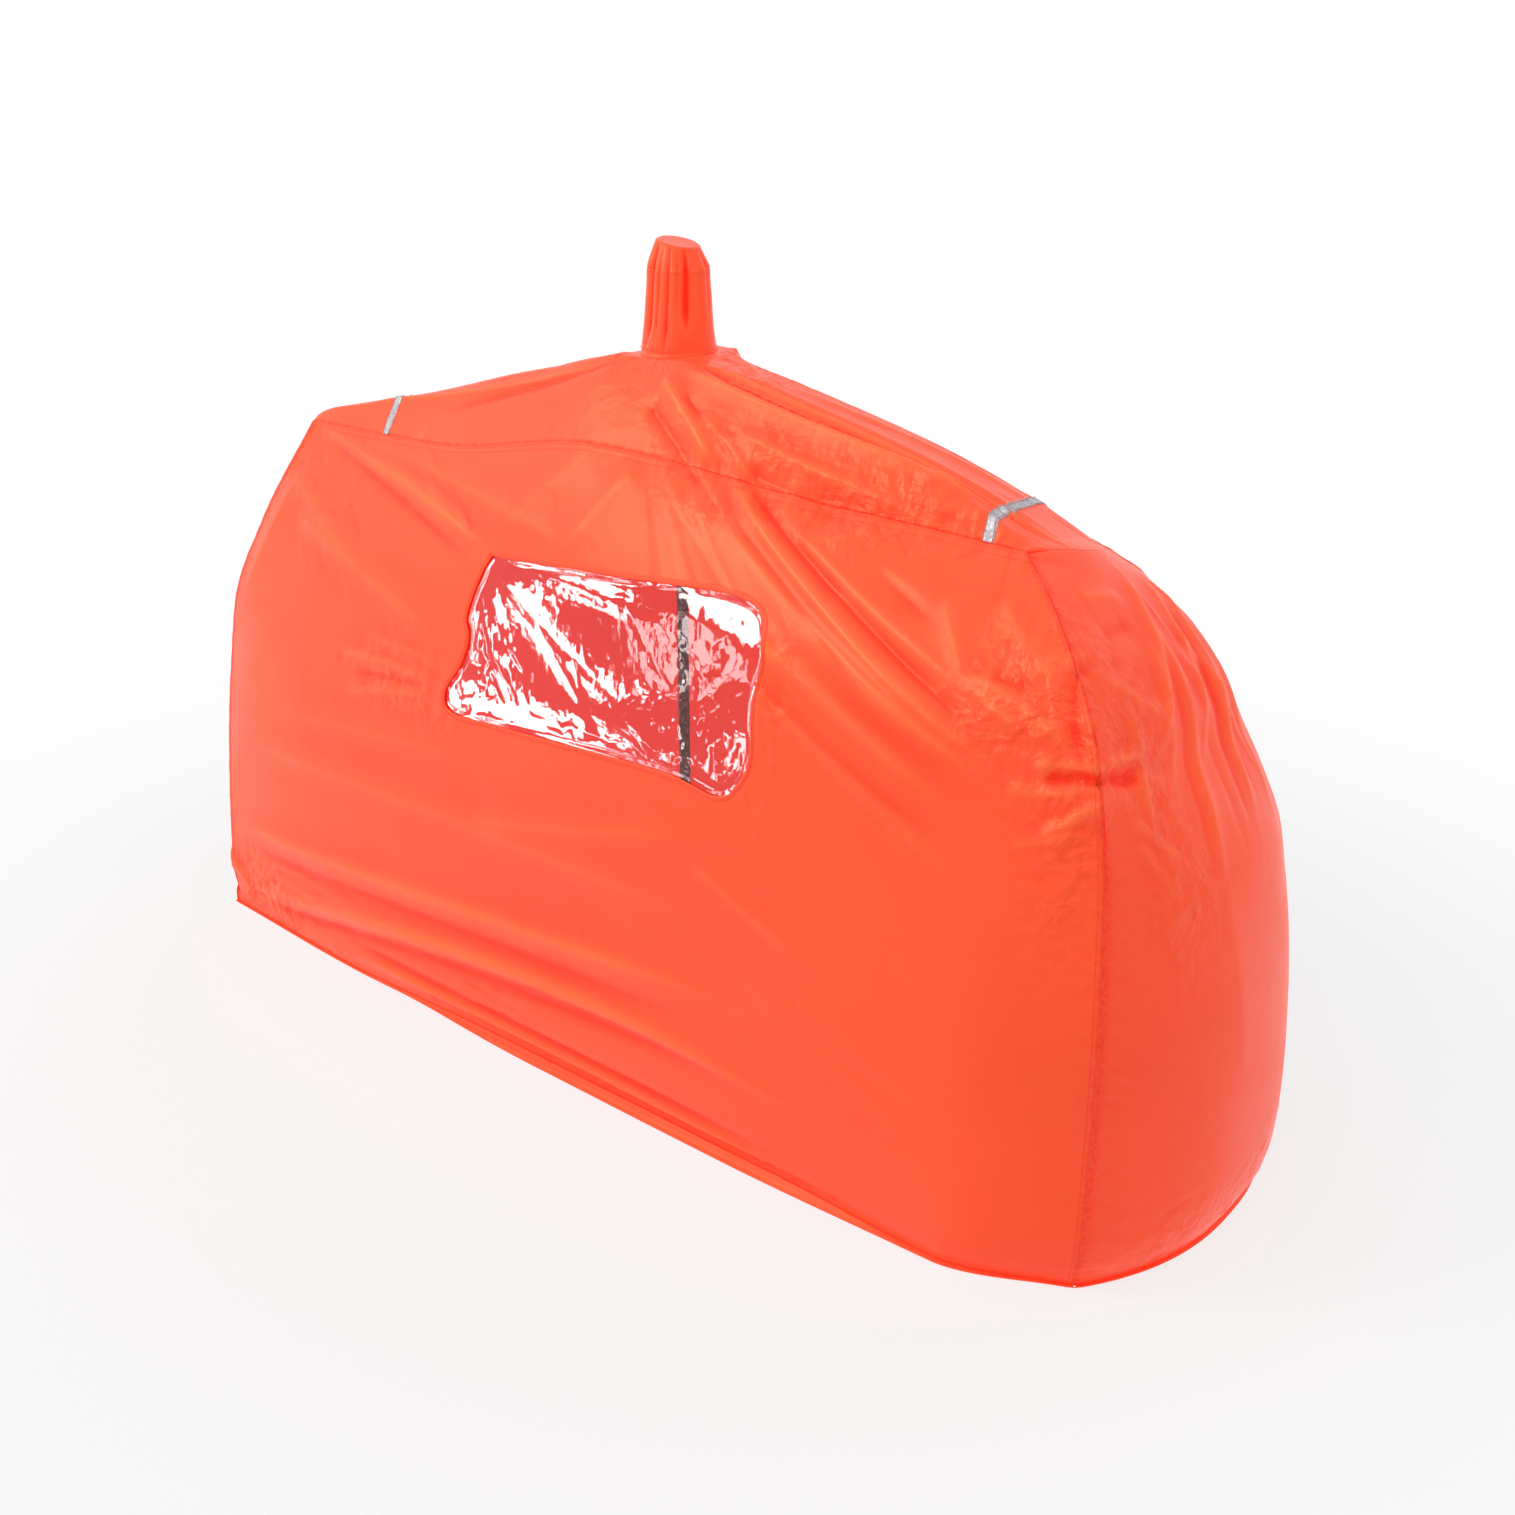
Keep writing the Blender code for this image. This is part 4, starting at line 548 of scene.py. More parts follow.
# Main folds of the roof, by (x, y)
ROOF_FOLDS = folds_of(
    ((0.034, -0.07), (0.175, -0.127), 6, 7, 0, 0.3), ((0.1, -0.088), (0.23, -0.127), 5, 6, -2, 0.3),
    ((0.03, -0.092), (0.14, -0.13), -5, 7), ((0.07, -0.08), (0.19, -0.114), -3.5, 5),
    ((0.045, -0.058), (0.545, -0.066), 6.5, 4.8, 12, 0.3, 1.2),
    ((0.055, -0.038), (0.54, -0.052), 6.5, 5, 14, -0.3, 1.2),
    ((0.052, -0.048), (0.545, -0.059), -7.5, 4, 14, 0, 1.2),
    ((0.07, -0.02), (0.56, -0.028), 3.4, 6.5, 12, 0, 1.3), ((0.065, -0.03), (0.545, -0.04), -4, 5, 13),
    ((0.15, -0.092), (0.5, -0.098), 5, 6, 6, 0.4, 1.2), ((0.18, -0.112), (0.48, -0.112), -2.5, 4, 5),
    ((0.05, 0.032), (0.19, -0.052), 2.4, 5, -3, 0, 1.2),
    ((0.055, 0.008), (0.17, -0.04), -1.8, 4.5, 0, 0, 1.2), ((0.15, -0.004), (0.5, 0.016), 3, 7, 3),
    ((0.08, 0.03), (0.48, 0.05), 3, 8), ((0.38, -0.082), (0.57, -0.04), 3, 5, 0, 0, 1.3),
    ((-0.045, -0.062), (-0.57, -0.068), 3.4, 5, -14, 0.3, 1.3),
    ((-0.02, -0.06), (-0.33, -0.092), -3.4, 5, -5),
    ((-0.06, -0.045), (-0.56, -0.05), 3, 5.5, -14, 0, 1.3), ((-0.065, -0.02), (-0.56, -0.02), -3, 8, -8),
    ((-0.06, 0.012), (-0.54, 0.01), 3, 8), ((-0.06, 0.036), (-0.52, 0.046), 3, 8),
)


# Crinkled places of each panel: the two coordinates, how far it reaches both ways, and how much
CRINKLED = {
    "front": [
        (0.61, 0.6, 0.07, 0.07, 0.8), (0.67, 0.48, 0.04, 0.1, 0.8), (0.3, 0.712, 0.2, 0.022, 0.6),
        (-0.24, 0.44, 0.12, 0.05, 0.4), (-0.5, 0.64, 0.08, 0.06, 0.3), (-0.62, 0.04, 0.1, 0.05, 0.7),
        (0.33, 0.52, 0.03, 0.12, 0.3),
    ],
    "rear": [
        (0.6, 0.58, 0.08, 0.1, 0.6), (-0.6, 0.58, 0.08, 0.1, 0.6),
    ],
    "right": [
        (-0.15, 0.56, 0.05, 0.1, 0.7), (-0.15, 0.42, 0.04, 0.08, 0.5), (0, 0.05, 0.2, 0.04, 0.4),
    ],
    "left": [
        (0, 0.4, 0.15, 0.3, 0.3), (0, 0.05, 0.2, 0.05, 0.7),
    ],
    "roof": [
        (0.31, -0.1, 0.2, 0.018, 0.6), (0.13, 0, 0.09, 0.05, 0.6), (0, 0, 0.075, 0.075, 0.5),
    ],
}


# Where the creases round the vent start
VENT_RAYS_START = (VENT_RADIUS + 0.004, VENT_RADIUS + 0.008)

# Puckers along the edges of each panel: seed, edge, limits of the part that has them, way inwards, and
# the ranges of spacing, length, height and half width in millimetres
PUCKERS = {
    "front": [
        (11, "right", (0.32, 1), (-1, 0.05), (10, 22), (12, 40), (0.2, 0.8), (2.8, 4.2)),
        (12, "right", (-1, 0.36), (-1, 0), (9, 20), (12, 30), (0.2, 0.7), (2.2, 3.4)),
        (13, "top", (0.06, 1), (0.35, -1), (8, 20), (10, 44), (0.3, 1.1), (2.2, 4)),
        (14, "top", (-1, 0.06), (-0.2, -1), (14, 32), (10, 30), (0.2, 0.7), (2.6, 4.2)),
        (15, "left", (-1, 1), (1, 0), (14, 30), (14, 36), (0.3, 0.8), (3, 5)),
        (16, "bottom", (-1, 1), (0.1, 1), (22, 54), (14, 34), (0.4, 1.2), (4, 7)),
    ],
    "rear": [
        (41, "right", (-1, 1), (-1, 0), (7, 15), (14, 42), (0.5, 1.5), (2.8, 4.6)),
        (42, "left", (-1, 1), (1, 0), (8, 18), (14, 40), (0.5, 1.4), (2.8, 4.8)),
        (43, "top", (-1, 1), (0, -1), (8, 16), (14, 38), (0.4, 1.4), (2.8, 4.6)),
        (44, "bottom", (-1, 1), (0, 1), (22, 44), (14, 34), (0.4, 1.2), (4, 7)),
    ],
    "right": [
        (51, "left", (0.32, 1), (1, 0.1), (10, 22), (14, 46), (0.2, 0.8), (2.8, 4.2)),
        (52, "left", (-1, 0.36), (1, -0.2), (9, 22), (14, 44), (0.3, 1), (2.4, 4)),
        (53, "right", (-1, 1), (-1, 0), (8, 18), (14, 44), (0.4, 1.2), (2.4, 4.2)),
        (54, "bottom", (-1, 1), (0, 1), (18, 40), (14, 40), (0.4, 1.3), (4, 7)),
    ],
    "left": [
        (61, "left", (-1, 1), (1, 0), (9, 18), (14, 40), (0.4, 1.4), (2.8, 4.8)),
        (62, "right", (-1, 1), (-1, 0), (9, 18), (14, 40), (0.4, 1.4), (2.8, 4.8)),
        (63, "bottom", (-1, 1), (0, 1), (16, 30), (14, 50), (0.6, 2), (4, 7)),
    ],
    "roof": [
        (71, "bottom", (0.05, 1), (-0.4, 1), (7, 24), (7, 22), (0.3, 1.5), (1.8, 3.4)),
        (72, "bottom", (-1, 0.05), (0, 1), (14, 30), (8, 22), (0.2, 0.7), (2.4, 3.8)),
        (73, "top", (-1, 1), (0, -1), (7, 18), (10, 26), (0.4, 1.2), (2.4, 4)),
    ],
}

# Creases strewn over each panel, as scattered takes them
SCATTERED = {
    "front": [
        (21, 16, (0.6, 0.6), (0.08, 0.07), -35, 35, (30, 90), (0.5, 1.1), (3, 4.4)),
        (22, 8, (0.655, 0.48), (0.04, 0.06), 20, 60, (18, 50), (0.4, 0.9), (3, 4.2)),
        (23, 22, (0.3, 0.705), (0.2, 0.022), -15, 45, (16, 50), (0.3, 1.1), (1.8, 3.2)),
        (24, 14, (-0.3, 0.44), (0.1, 0.05), 10, 50, (18, 60), (0.3, 1), (2, 3.4)),
        (25, 24, (-0.4, 0.6), (0.18, 0.09), -25, 40, (30, 90), (0.2, 0.8), (2.6, 4.6)),
        (26, 24, (0.25, 0.3), (0.3, 0.17), -25, 24, (20, 70), (0.1, 0.35), (2.8, 4.4)),
        (27, 20, (0, 0.67), (0.22, 0.05), -60, 40, (16, 50), (0.2, 0.6), (2.4, 4.2)),
        (28, 14, (0.32, 0.53), (0.03, 0.12), -50, 60, (12, 40), (0.4, 1.1), (1.8, 3.2)),
        (29, 24, (-0.61, 0.05), (0.09, 0.05), 10, 50, (20, 70), (0.8, 2.4), (2.6, 5)),
        (30, 26, (-0.3, 0.08), (0.3, 0.06), 6, 10, (60, 160), (0.5, 1.6), (2.4, 4.4)),
    ],
    "rear": [
        (45, 50, (0.5, 0.58), (0.12, 0.1), -35, 60, (18, 60), (0.5, 2), (2.8, 5)),
        (46, 50, (-0.5, 0.58), (0.12, 0.1), 35, 60, (18, 60), (0.5, 2), (2.8, 5)),
        (47, 70, (0, 0.35), (0.5, 0.25), 10, 50, (20, 80), (0.3, 1), (3, 6)),
    ],
    "right": [
        (55, 12, (-0.13, 0.58), (0.05, 0.08), 20, 40, (22, 60), (0.4, 1), (3, 4.2)),
        (56, 8, (-0.14, 0.44), (0.045, 0.05), -40, 40, (18, 50), (0.3, 0.9), (3, 4.2)),
        (57, 24, (0.04, 0.56), (0.09, 0.1), 80, 14, (40, 140), (0.3, 1.2), (2.4, 4.6)),
        (58, 20, (0, 0.06), (0.18, 0.04), 5, 30, (20, 70), (0.3, 1.2), (3, 6)),
    ],
    "left": [
        (64, 50, (0, 0.4), (0.15, 0.25), 80, 40, (20, 80), (0.3, 1.4), (3, 6)),
        (65, 26, (-0.1, 0.07), (0.08, 0.05), 10, 60, (16, 60), (0.8, 2.6), (3, 6)),
    ],
    "roof": [
        (74, 26, (0.31, -0.1), (0.2, 0.012), 8, 30, (14, 44), (0.3, 1.2), (1.6, 2.6)),
        (75, 18, (0.12, -0.01), (0.08, 0.035), -30, 40, (16, 50), (0.3, 1.1), (1.8, 3.2)),
        (76, 24, (-0.3, -0.02), (0.24, 0.08), 4, 20, (30, 90), (0.2, 0.9), (2, 3.8)),
        (77, 24, (0.3, 0.03), (0.24, 0.06), 4, 20, (30, 90), (0.2, 0.9), (2, 3.8)),
    ],
}

# Creases that spread from one place of each panel, as fanned takes them
FANNED = {
    "front": [
        (31, 9, (0.03, 0.8), (-62, -33), (0.07, 0.12), (0.12, 0.3), (0.5, 1.6), (5, 9)),
        (32, 7, (-0.142, 0.612), (150, 168), (0.02, 0.05), (0.14, 0.3), (0.5, 1.4), (4, 7)),
        (33, 8, (-0.18, 0.438), (158, 205), (0.01, 0.03), (0.06, 0.17), (0.4, 1.2), (3, 5)),
    ],
    "rear": [
        (48, 8, (0.02, 0.8), (-60, -30), (0.07, 0.12), (0.15, 0.35), (1, 2.6), (7, 12)),
        (49, 8, (-0.02, 0.8), (-150, -120), (0.07, 0.12), (0.15, 0.35), (1, 2.6), (7, 12)),
    ],
    "right": [
        (59, 8, (-0.01, 0.7), (-125, -68), (0.05, 0.09), (0.1, 0.24), (0.8, 2.2), (5, 9)),
    ],
    "left": [
        (66, 8, (0, 0.73), (-118, -62), (0.05, 0.09), (0.14, 0.3), (0.8, 2.4), (6, 10)),
    ],
    "roof": [
        (78, 16, (0, 0), (0, 360), VENT_RAYS_START, (0.02, 0.05), (0.6, 1.4), (3, 5)),
    ],
}


def creases_of(name, panel):
    """Fine creases of a panel, and the puckers along its edges."""
    found = []
    for seed, edge, (low, high), *ranges in PUCKERS[name]:
        path = panel.points[EDGES[edge]][:, list(panel.axes)]
        place = path[:, 0 if edge in ("bottom", "top") else 1]
        found += puckers(seed, path[(place > low) & (place < high)], *ranges)
    for row in SCATTERED[name]:
        found += scattered(*row)
    for row in FANNED.get(name, []):
        found += fanned(*row)
    return found


# Panels of cloth

EDGES = {"bottom": np.s_[0, :], "top": np.s_[-1, :], "left": np.s_[:, 0], "right": np.s_[:, -1]}
SEAMS = [
    ("front", "right", "right", "left"),
    ("front", "left", "left", "left"),
    ("rear", "right", "right", "right"),
    ("rear", "left", "left", "right"),
    ("front", "top", "roof", "bottom"),
    ("rear", "top", "roof", "top"),
    ("right", "top", "roof", "right"),
    ("left", "top", "roof", "left"),
]
TOP_CORNERS = [
    (("front", (-1, -1)), ("right", (-1, 0)), ("roof", (0, -1))),
    (("front", (-1, 0)), ("left", (-1, 0)), ("roof", (0, 0))),
    (("rear", (-1, -1)), ("right", (-1, -1)), ("roof", (-1, -1))),
    (("rear", (-1, 0)), ("left", (-1, -1)), ("roof", (-1, 0))),
]


class Panel:
    """A panel of cloth as a grid: columns run across, rows run up, normals point out of the shelter."""

    def __init__(self, shape, across, up, flipped, axes):
        self.across, self.up, self.flipped, self.axes = across, up, flipped, axes
        column, row = np.meshgrid(across, up)
        self.points = shape(column, row)
        along, upward = np.gradient(self.points, axis=1), np.gradient(self.points, axis=0)
        push = np.cross(along, upward) * (-1 if flipped else 1)
        self.normals = push / np.linalg.norm(push, axis=-1)[..., None]
        self.height = np.zeros(self.points.shape[:2])
        self.surface = self.points
        self.crinkles = []

    def places(self):
        """The two coordinates in which the panel's folds are drawn."""
        return self.points[..., self.axes[0]], self.points[..., self.axes[1]]

    def from_edge(self, edge):
        """Distance of every point from one edge."""
        side = self.points[EDGES[edge]]
        side = side[None] if edge in ("bottom", "top") else side[:, None]
        return np.linalg.norm(self.points - side, axis=-1)

    def take_edge(self, edge, wanted, width):
        """Bend the height so that one edge has the wanted height, and the change fades over a width."""
        change = wanted - self.height[EDGES[edge]]
        change = change[None] if edge in ("bottom", "top") else change[:, None]
        self.height = self.height + change * (1 - eased(self.from_edge(edge) / width))

    def at(self, column, row):
        """Points and normals of the finished surface between the grid's lines."""
        i = np.interp(column, self.across, np.arange(len(self.across)))
        j = np.interp(row, self.up, np.arange(len(self.up)))
        i0 = np.minimum(i.astype(int), len(self.across) - 2)
        j0 = np.minimum(j.astype(int), len(self.up) - 2)
        i, j = (i - i0)[..., None], (j - j0)[..., None]
        found = []
        for field in (self.surface, self.normals):
            low = field[j0, i0] * (1 - i) + field[j0, i0 + 1] * i
            high = field[j0 + 1, i0] * (1 - i) + field[j0 + 1, i0 + 1] * i
            found.append(low * (1 - j) + high * j)
        return found


def share_seams(panels, field):
    """Give panels that meet at a seam or a corner the same value there."""
    for first, first_edge, second, second_edge in SEAMS:
        one, two = getattr(panels[first], field), getattr(panels[second], field)
        mean = (one[EDGES[first_edge]] + two[EDGES[second_edge]]) / 2
        one[EDGES[first_edge]] = mean
        two[EDGES[second_edge]] = mean
    for corner in TOP_CORNERS:
        mean = sum(getattr(panels[name], field)[place] for name, place in corner) / 3
        for name, place in corner:
            getattr(panels[name], field)[place] = mean


def seam_band(distance, width):
    """The double thickness of a felled seam beside its edge, and the groove at the edge itself."""
    raised = 1 - eased((np.abs(distance - width / 2) - width * 0.32) / (width * 0.3))
    return 0.0004 * raised - 0.0014 * np.exp(-((distance / 0.0022) ** 2))


# How far each wall's foot is lifted off the ground, along it
FOOT_LIFTS = {
    "front": [(0, 0.002), (0.2, 0.004), (0.42, 0.011), (0.75, 0.010), (0.9, 0.003), (1, 0.002)],
    "rear": [(0, 0.002), (0.3, 0.004), (0.6, 0.008), (1, 0.002)],
    "right": [(-1, 0.002), (0, 0.006), (1, 0.002)],
    "left": [(-1, 0.002), (0, 0.005), (1, 0.002)],
}


def foot(panel, lift_knots):
    """Roll the cloth under at the ground: less height there, and the lowest rows drawn in."""
    rows = eased(1 - panel.up / 0.055)[:, None]
    lift = smooth_through(lift_knots, panel.across)[None]
    panel.surface[..., 2] += lift * rows
    panel.surface -= panel.normals * (0.003 * rows**2)[..., None]
    from_corner = np.minimum(panel.across - panel.across[0], panel.across[-1] - panel.across)
    over_hem = between(0.0005, 0.0022, eased(from_corner / 0.03))
    panel.surface[..., 2] = np.maximum(panel.surface[..., 2], over_hem[None])


def crinkle_of(panel):
    """How crinkled each place of a panel is, from 0 to 1."""
    a, b = panel.places()
    total = np.full(a.shape, 0.06)
    for place_a, place_b, reach_a, reach_b, amount in panel.crinkles:
        total += amount * np.exp(-(((a - place_a) / reach_a) ** 2) - ((b - place_b) / reach_b) ** 2)
    return np.clip(total, 0, 1)


def seam_of(panel, edges):
    """How near each place of a panel is to its seams, from 0 to 1."""
    total = np.zeros(panel.height.shape)
    for edge, reach in edges:
        total = np.maximum(total, np.exp(-((panel.from_edge(edge) / reach) ** 2)))
    return total


def make_panels():
    """All five panels, folded, creased and joined along their seams."""
    s = np.interp(np.arange(COLUMN_KNOTS[-1][0] + 1), *zip(*COLUMN_KNOTS))
    t = np.interp(np.arange(ROW_KNOTS[-1][0] + 1), *zip(*ROW_KNOTS))
    even = np.linspace(-1, 1, CROSS_COUNT)
    u = np.sign(even) * (1 - (1 - np.abs(even)) ** 1.4)
    panels = {
        "front": Panel(long_wall, s, t, False, (0, 2)),
        "rear": Panel(rear_wall, s, t, True, (0, 2)),
        "right": Panel(end_wall, u, t, False, (1, 2)),
        "left": Panel(left_end_wall, u, t, True, (1, 2)),
        "roof": Panel(roof, s, u, False, (0, 1)),
    }
    main_folds = {
        "front": FRONT_FOLDS,
        "rear": REAR_FOLDS,
        "right": RIGHT_END_FOLDS,
        "left": LEFT_END_FOLDS,
        "roof": ROOF_FOLDS,
    }
    share_seams(panels, "normals")
    width = sizes().seam_width
    for name, panel in panels.items():
        folds = main_folds[name] + creases_of(name, panel)
        panel.height = fold_field(folds, *panel.places()) * sizes().fold_scale
        panel.crinkles = CRINKLED[name]
        facets = crumpled(*panel.places(), len(name), 0.05, 6) + 0.5 * crumpled(*panel.places(), 7, 0.021, 6)
        panel.height += 0.0042 * (facets - np.mean(facets)) * crinkle_of(panel)
    for name in ("front", "rear"):
        panel = panels[name]
        panel.take_edge("bottom", np.zeros(len(s)), 0.012)
        for edge, share in (("left", 1.0), ("right", 1.0), ("top", 0.4)):
            panel.height += share * seam_band(panel.from_edge(edge), width)
    for name, edge in (("right", "left"), ("right", "right"), ("left", "left"), ("left", "right")):
        wall = panels["front" if edge == "left" else "rear"]
        panels[name].take_edge(edge, wall.height[EDGES[name]], 0.035)
    for name in ("right", "left"):
        panels[name].take_edge("bottom", np.zeros(len(u)), 0.012)
    top = panels["roof"]
    from_vent = np.hypot(top.points[..., 0], top.points[..., 1]) - VENT_RADIUS
    top.height *= eased(from_vent / 0.02)
    top.take_edge("bottom", panels["front"].height[-1], 0.03)
    top.take_edge("top", panels["rear"].height[-1], 0.03)
    top.take_edge("right", panels["right"].height[-1], 0.05)
    top.take_edge("left", panels["left"].height[-1], 0.05)
    for panel in panels.values():
        panel.surface = panel.points + panel.normals * panel.height[..., None]
    for name, lift_knots in FOOT_LIFTS.items():
        foot(panels[name], lift_knots)
    share_seams(panels, "surface")
    return panels


# Meshes


def grid_faces(rows, columns, flipped=False):
    index = np.arange(rows * columns).reshape(rows, columns)
    a, b, c, d = index[:-1, :-1], index[:-1, 1:], index[1:, 1:], index[1:, :-1]
    faces = np.stack([a, b, c, d], -1).reshape(-1, 4)
    return faces[:, ::-1] if flipped else faces


def closed_curve(places, steps=8):
    """A smooth closed curve through places in a plane."""
    places = np.array(places, float)
    share = (np.arange(steps) / steps)[:, None]
    found = []
    for i in range(len(places)):
        before, here, after, beyond = (places[(i + k) % len(places)] for k in (-1, 0, 1, 2))
        bend = 2 * before - 5 * here + 4 * after - beyond
        turn = 3 * here - before - 3 * after + beyond
        found.append(here + 0.5 * share * (after - before + share * (bend + share * turn)))
    return np.concatenate(found)


def grown(outline, distance):
    """A closed outline, wound counter-clockwise, moved outwards by a distance."""
    way = np.roll(outline, -1, axis=0) - np.roll(outline, 1, axis=0)
    way /= np.linalg.norm(way, axis=1)[:, None]
    return outline + np.stack([way[:, 1], -way[:, 0]], -1) * distance


def to_outline(outline, a, b):
    """Distance of places from a closed outline, negative inside, and the nearest place on it."""
    best = np.full(a.shape, np.inf)
    nearest = np.zeros(a.shape + (2,))
    inside = np.zeros(a.shape, bool)
    for start, end in zip(outline, np.roll(outline, -1, axis=0)):
        run = end - start
        share = np.clip(((a - start[0]) * run[0] + (b - start[1]) * run[1]) / (run @ run), 0, 1)
        place = start + share[..., None] * run
        distance = np.hypot(place[..., 0] - a, place[..., 1] - b)
        closer = distance < best
        best[closer] = distance[closer]
        nearest[closer] = place[closer]
        if start[1] != end[1]:
            crosses = (start[1] > b) != (end[1] > b)
            inside ^= crosses & (a < start[0] + run[0] * (b - start[1]) / run[1])
    return np.where(inside, -best, best), nearest


def trimmed(faces, outline, a, b, keep_inside):
    """Faces on one side of an outline, with the places of their points, the last ones moved onto it."""
    distance, nearest = to_outline(outline, a, b)
    gone = distance > 0 if keep_inside else distance < 0
    faces = faces[~gone[faces].all(axis=1)]
    moved = np.zeros(len(a), bool)
    moved[np.unique(faces)] = True
    moved &= gone
    places = np.stack([a, b], -1)
    places[moved] = nearest[moved]
    return faces, places, moved


def smaller(field, passes):
    """A field with its fine detail smoothed away."""
    for _ in range(passes):
        padded = np.pad(field, 1, mode="edge")
        field = (padded[:-2, 1:-1] + padded[2:, 1:-1] + padded[1:-1, :-2] + padded[1:-1, 2:] + 2 * field) / 6
    return field


def only(obj):
    """Select one object and nothing else."""
    bpy.ops.object.select_all(action="DESELECT")
    obj.select_set(True)
    bpy.context.view_layer.objects.active = obj


def apply_all(obj):
    only(obj)
    for modifier in list(obj.modifiers):
        bpy.ops.object.modifier_apply(modifier=modifier.name)


def new_object(name, points, faces, finishes, uv=None, **fields):
    """A mesh object from points measured from the pole, in its final place."""
    used, faces = np.unique(np.asarray(faces), return_inverse=True)
    faces = faces.reshape(-1, 4)
    mesh = bpy.data.meshes.new(name)
    mesh.from_pydata((points[used] + POLE_AT).tolist(), [], faces.tolist())
    if uv is not None:
        corners = np.empty(len(mesh.loops), np.int32)
        mesh.loops.foreach_get("vertex_index", corners)
        layer = mesh.uv_layers.new(name="cloth")
        layer.data.foreach_set("uv", uv[used][corners].astype(np.float32).ravel())
    for key, field in fields.items():
        attribute = mesh.attributes.new(key, "FLOAT", "POINT")
        attribute.data.foreach_set("value", np.ravel(field)[used].astype(np.float32))
    for finish in finishes:
        mesh.materials.append(finish)
    mesh.shade_smooth()
    obj = bpy.data.objects.new(name, mesh)
    bpy.context.scene.collection.objects.link(obj)
    return obj


def thicken(obj, thickness, edges_only=False):
    """Give a sheet its thickness, inwards, or give it to the sheet's edges only."""
    modifier = obj.modifiers.new("thickness", "SOLIDIFY")
    modifier.thickness = thickness
    modifier.offset = -1
    modifier.use_rim_only = edges_only
    apply_all(obj)


def merge_close(obj, distance=0.00002):
    """Weld points that lie on each other."""
    only(obj)
    bpy.ops.object.mode_set(mode="EDIT")
    bpy.ops.mesh.select_all(action="SELECT")
    bpy.ops.mesh.remove_doubles(threshold=distance)
    bpy.ops.object.mode_set(mode="OBJECT")


def settle(obj, body, slot, *nodes):
    """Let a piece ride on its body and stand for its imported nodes."""
    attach(obj, body)
    if nodes:
        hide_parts(*nodes)
    return obj


def sheet_piece(
    name, points, uv, finish, thickness, slot, node, faces=None, weld=False, body="shelter", **fields
):
    """A thickened sheet, from a grid of points or from points and faces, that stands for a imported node."""
    if faces is None:
        faces = grid_faces(*points.shape[:2])
    fields = {key: np.broadcast_to(field, points.shape[:-1]) for key, field in fields.items()}
    made = new_object(name, points.reshape(-1, 3), faces, finish_named(finish), uv.reshape(-1, 2), **fields)
    if weld:
        merge_close(made)
    thicken(made, thickness)
    return settle(made, body, slot, node)


def crest_of(height, fine=0.0009, broad=0.0030):
    """0 down in a fold, 0.5 on plain cloth, 1 on a crest; the cloth's painted shade and painted highlight
    follow it.
    """
    near, wide = height - smaller(height, 16), height - smaller(height, 110)
    return np.clip(0.5 + 0.12 * near / fine + 0.26 * wide / broad, 0, 1)


# Finishes


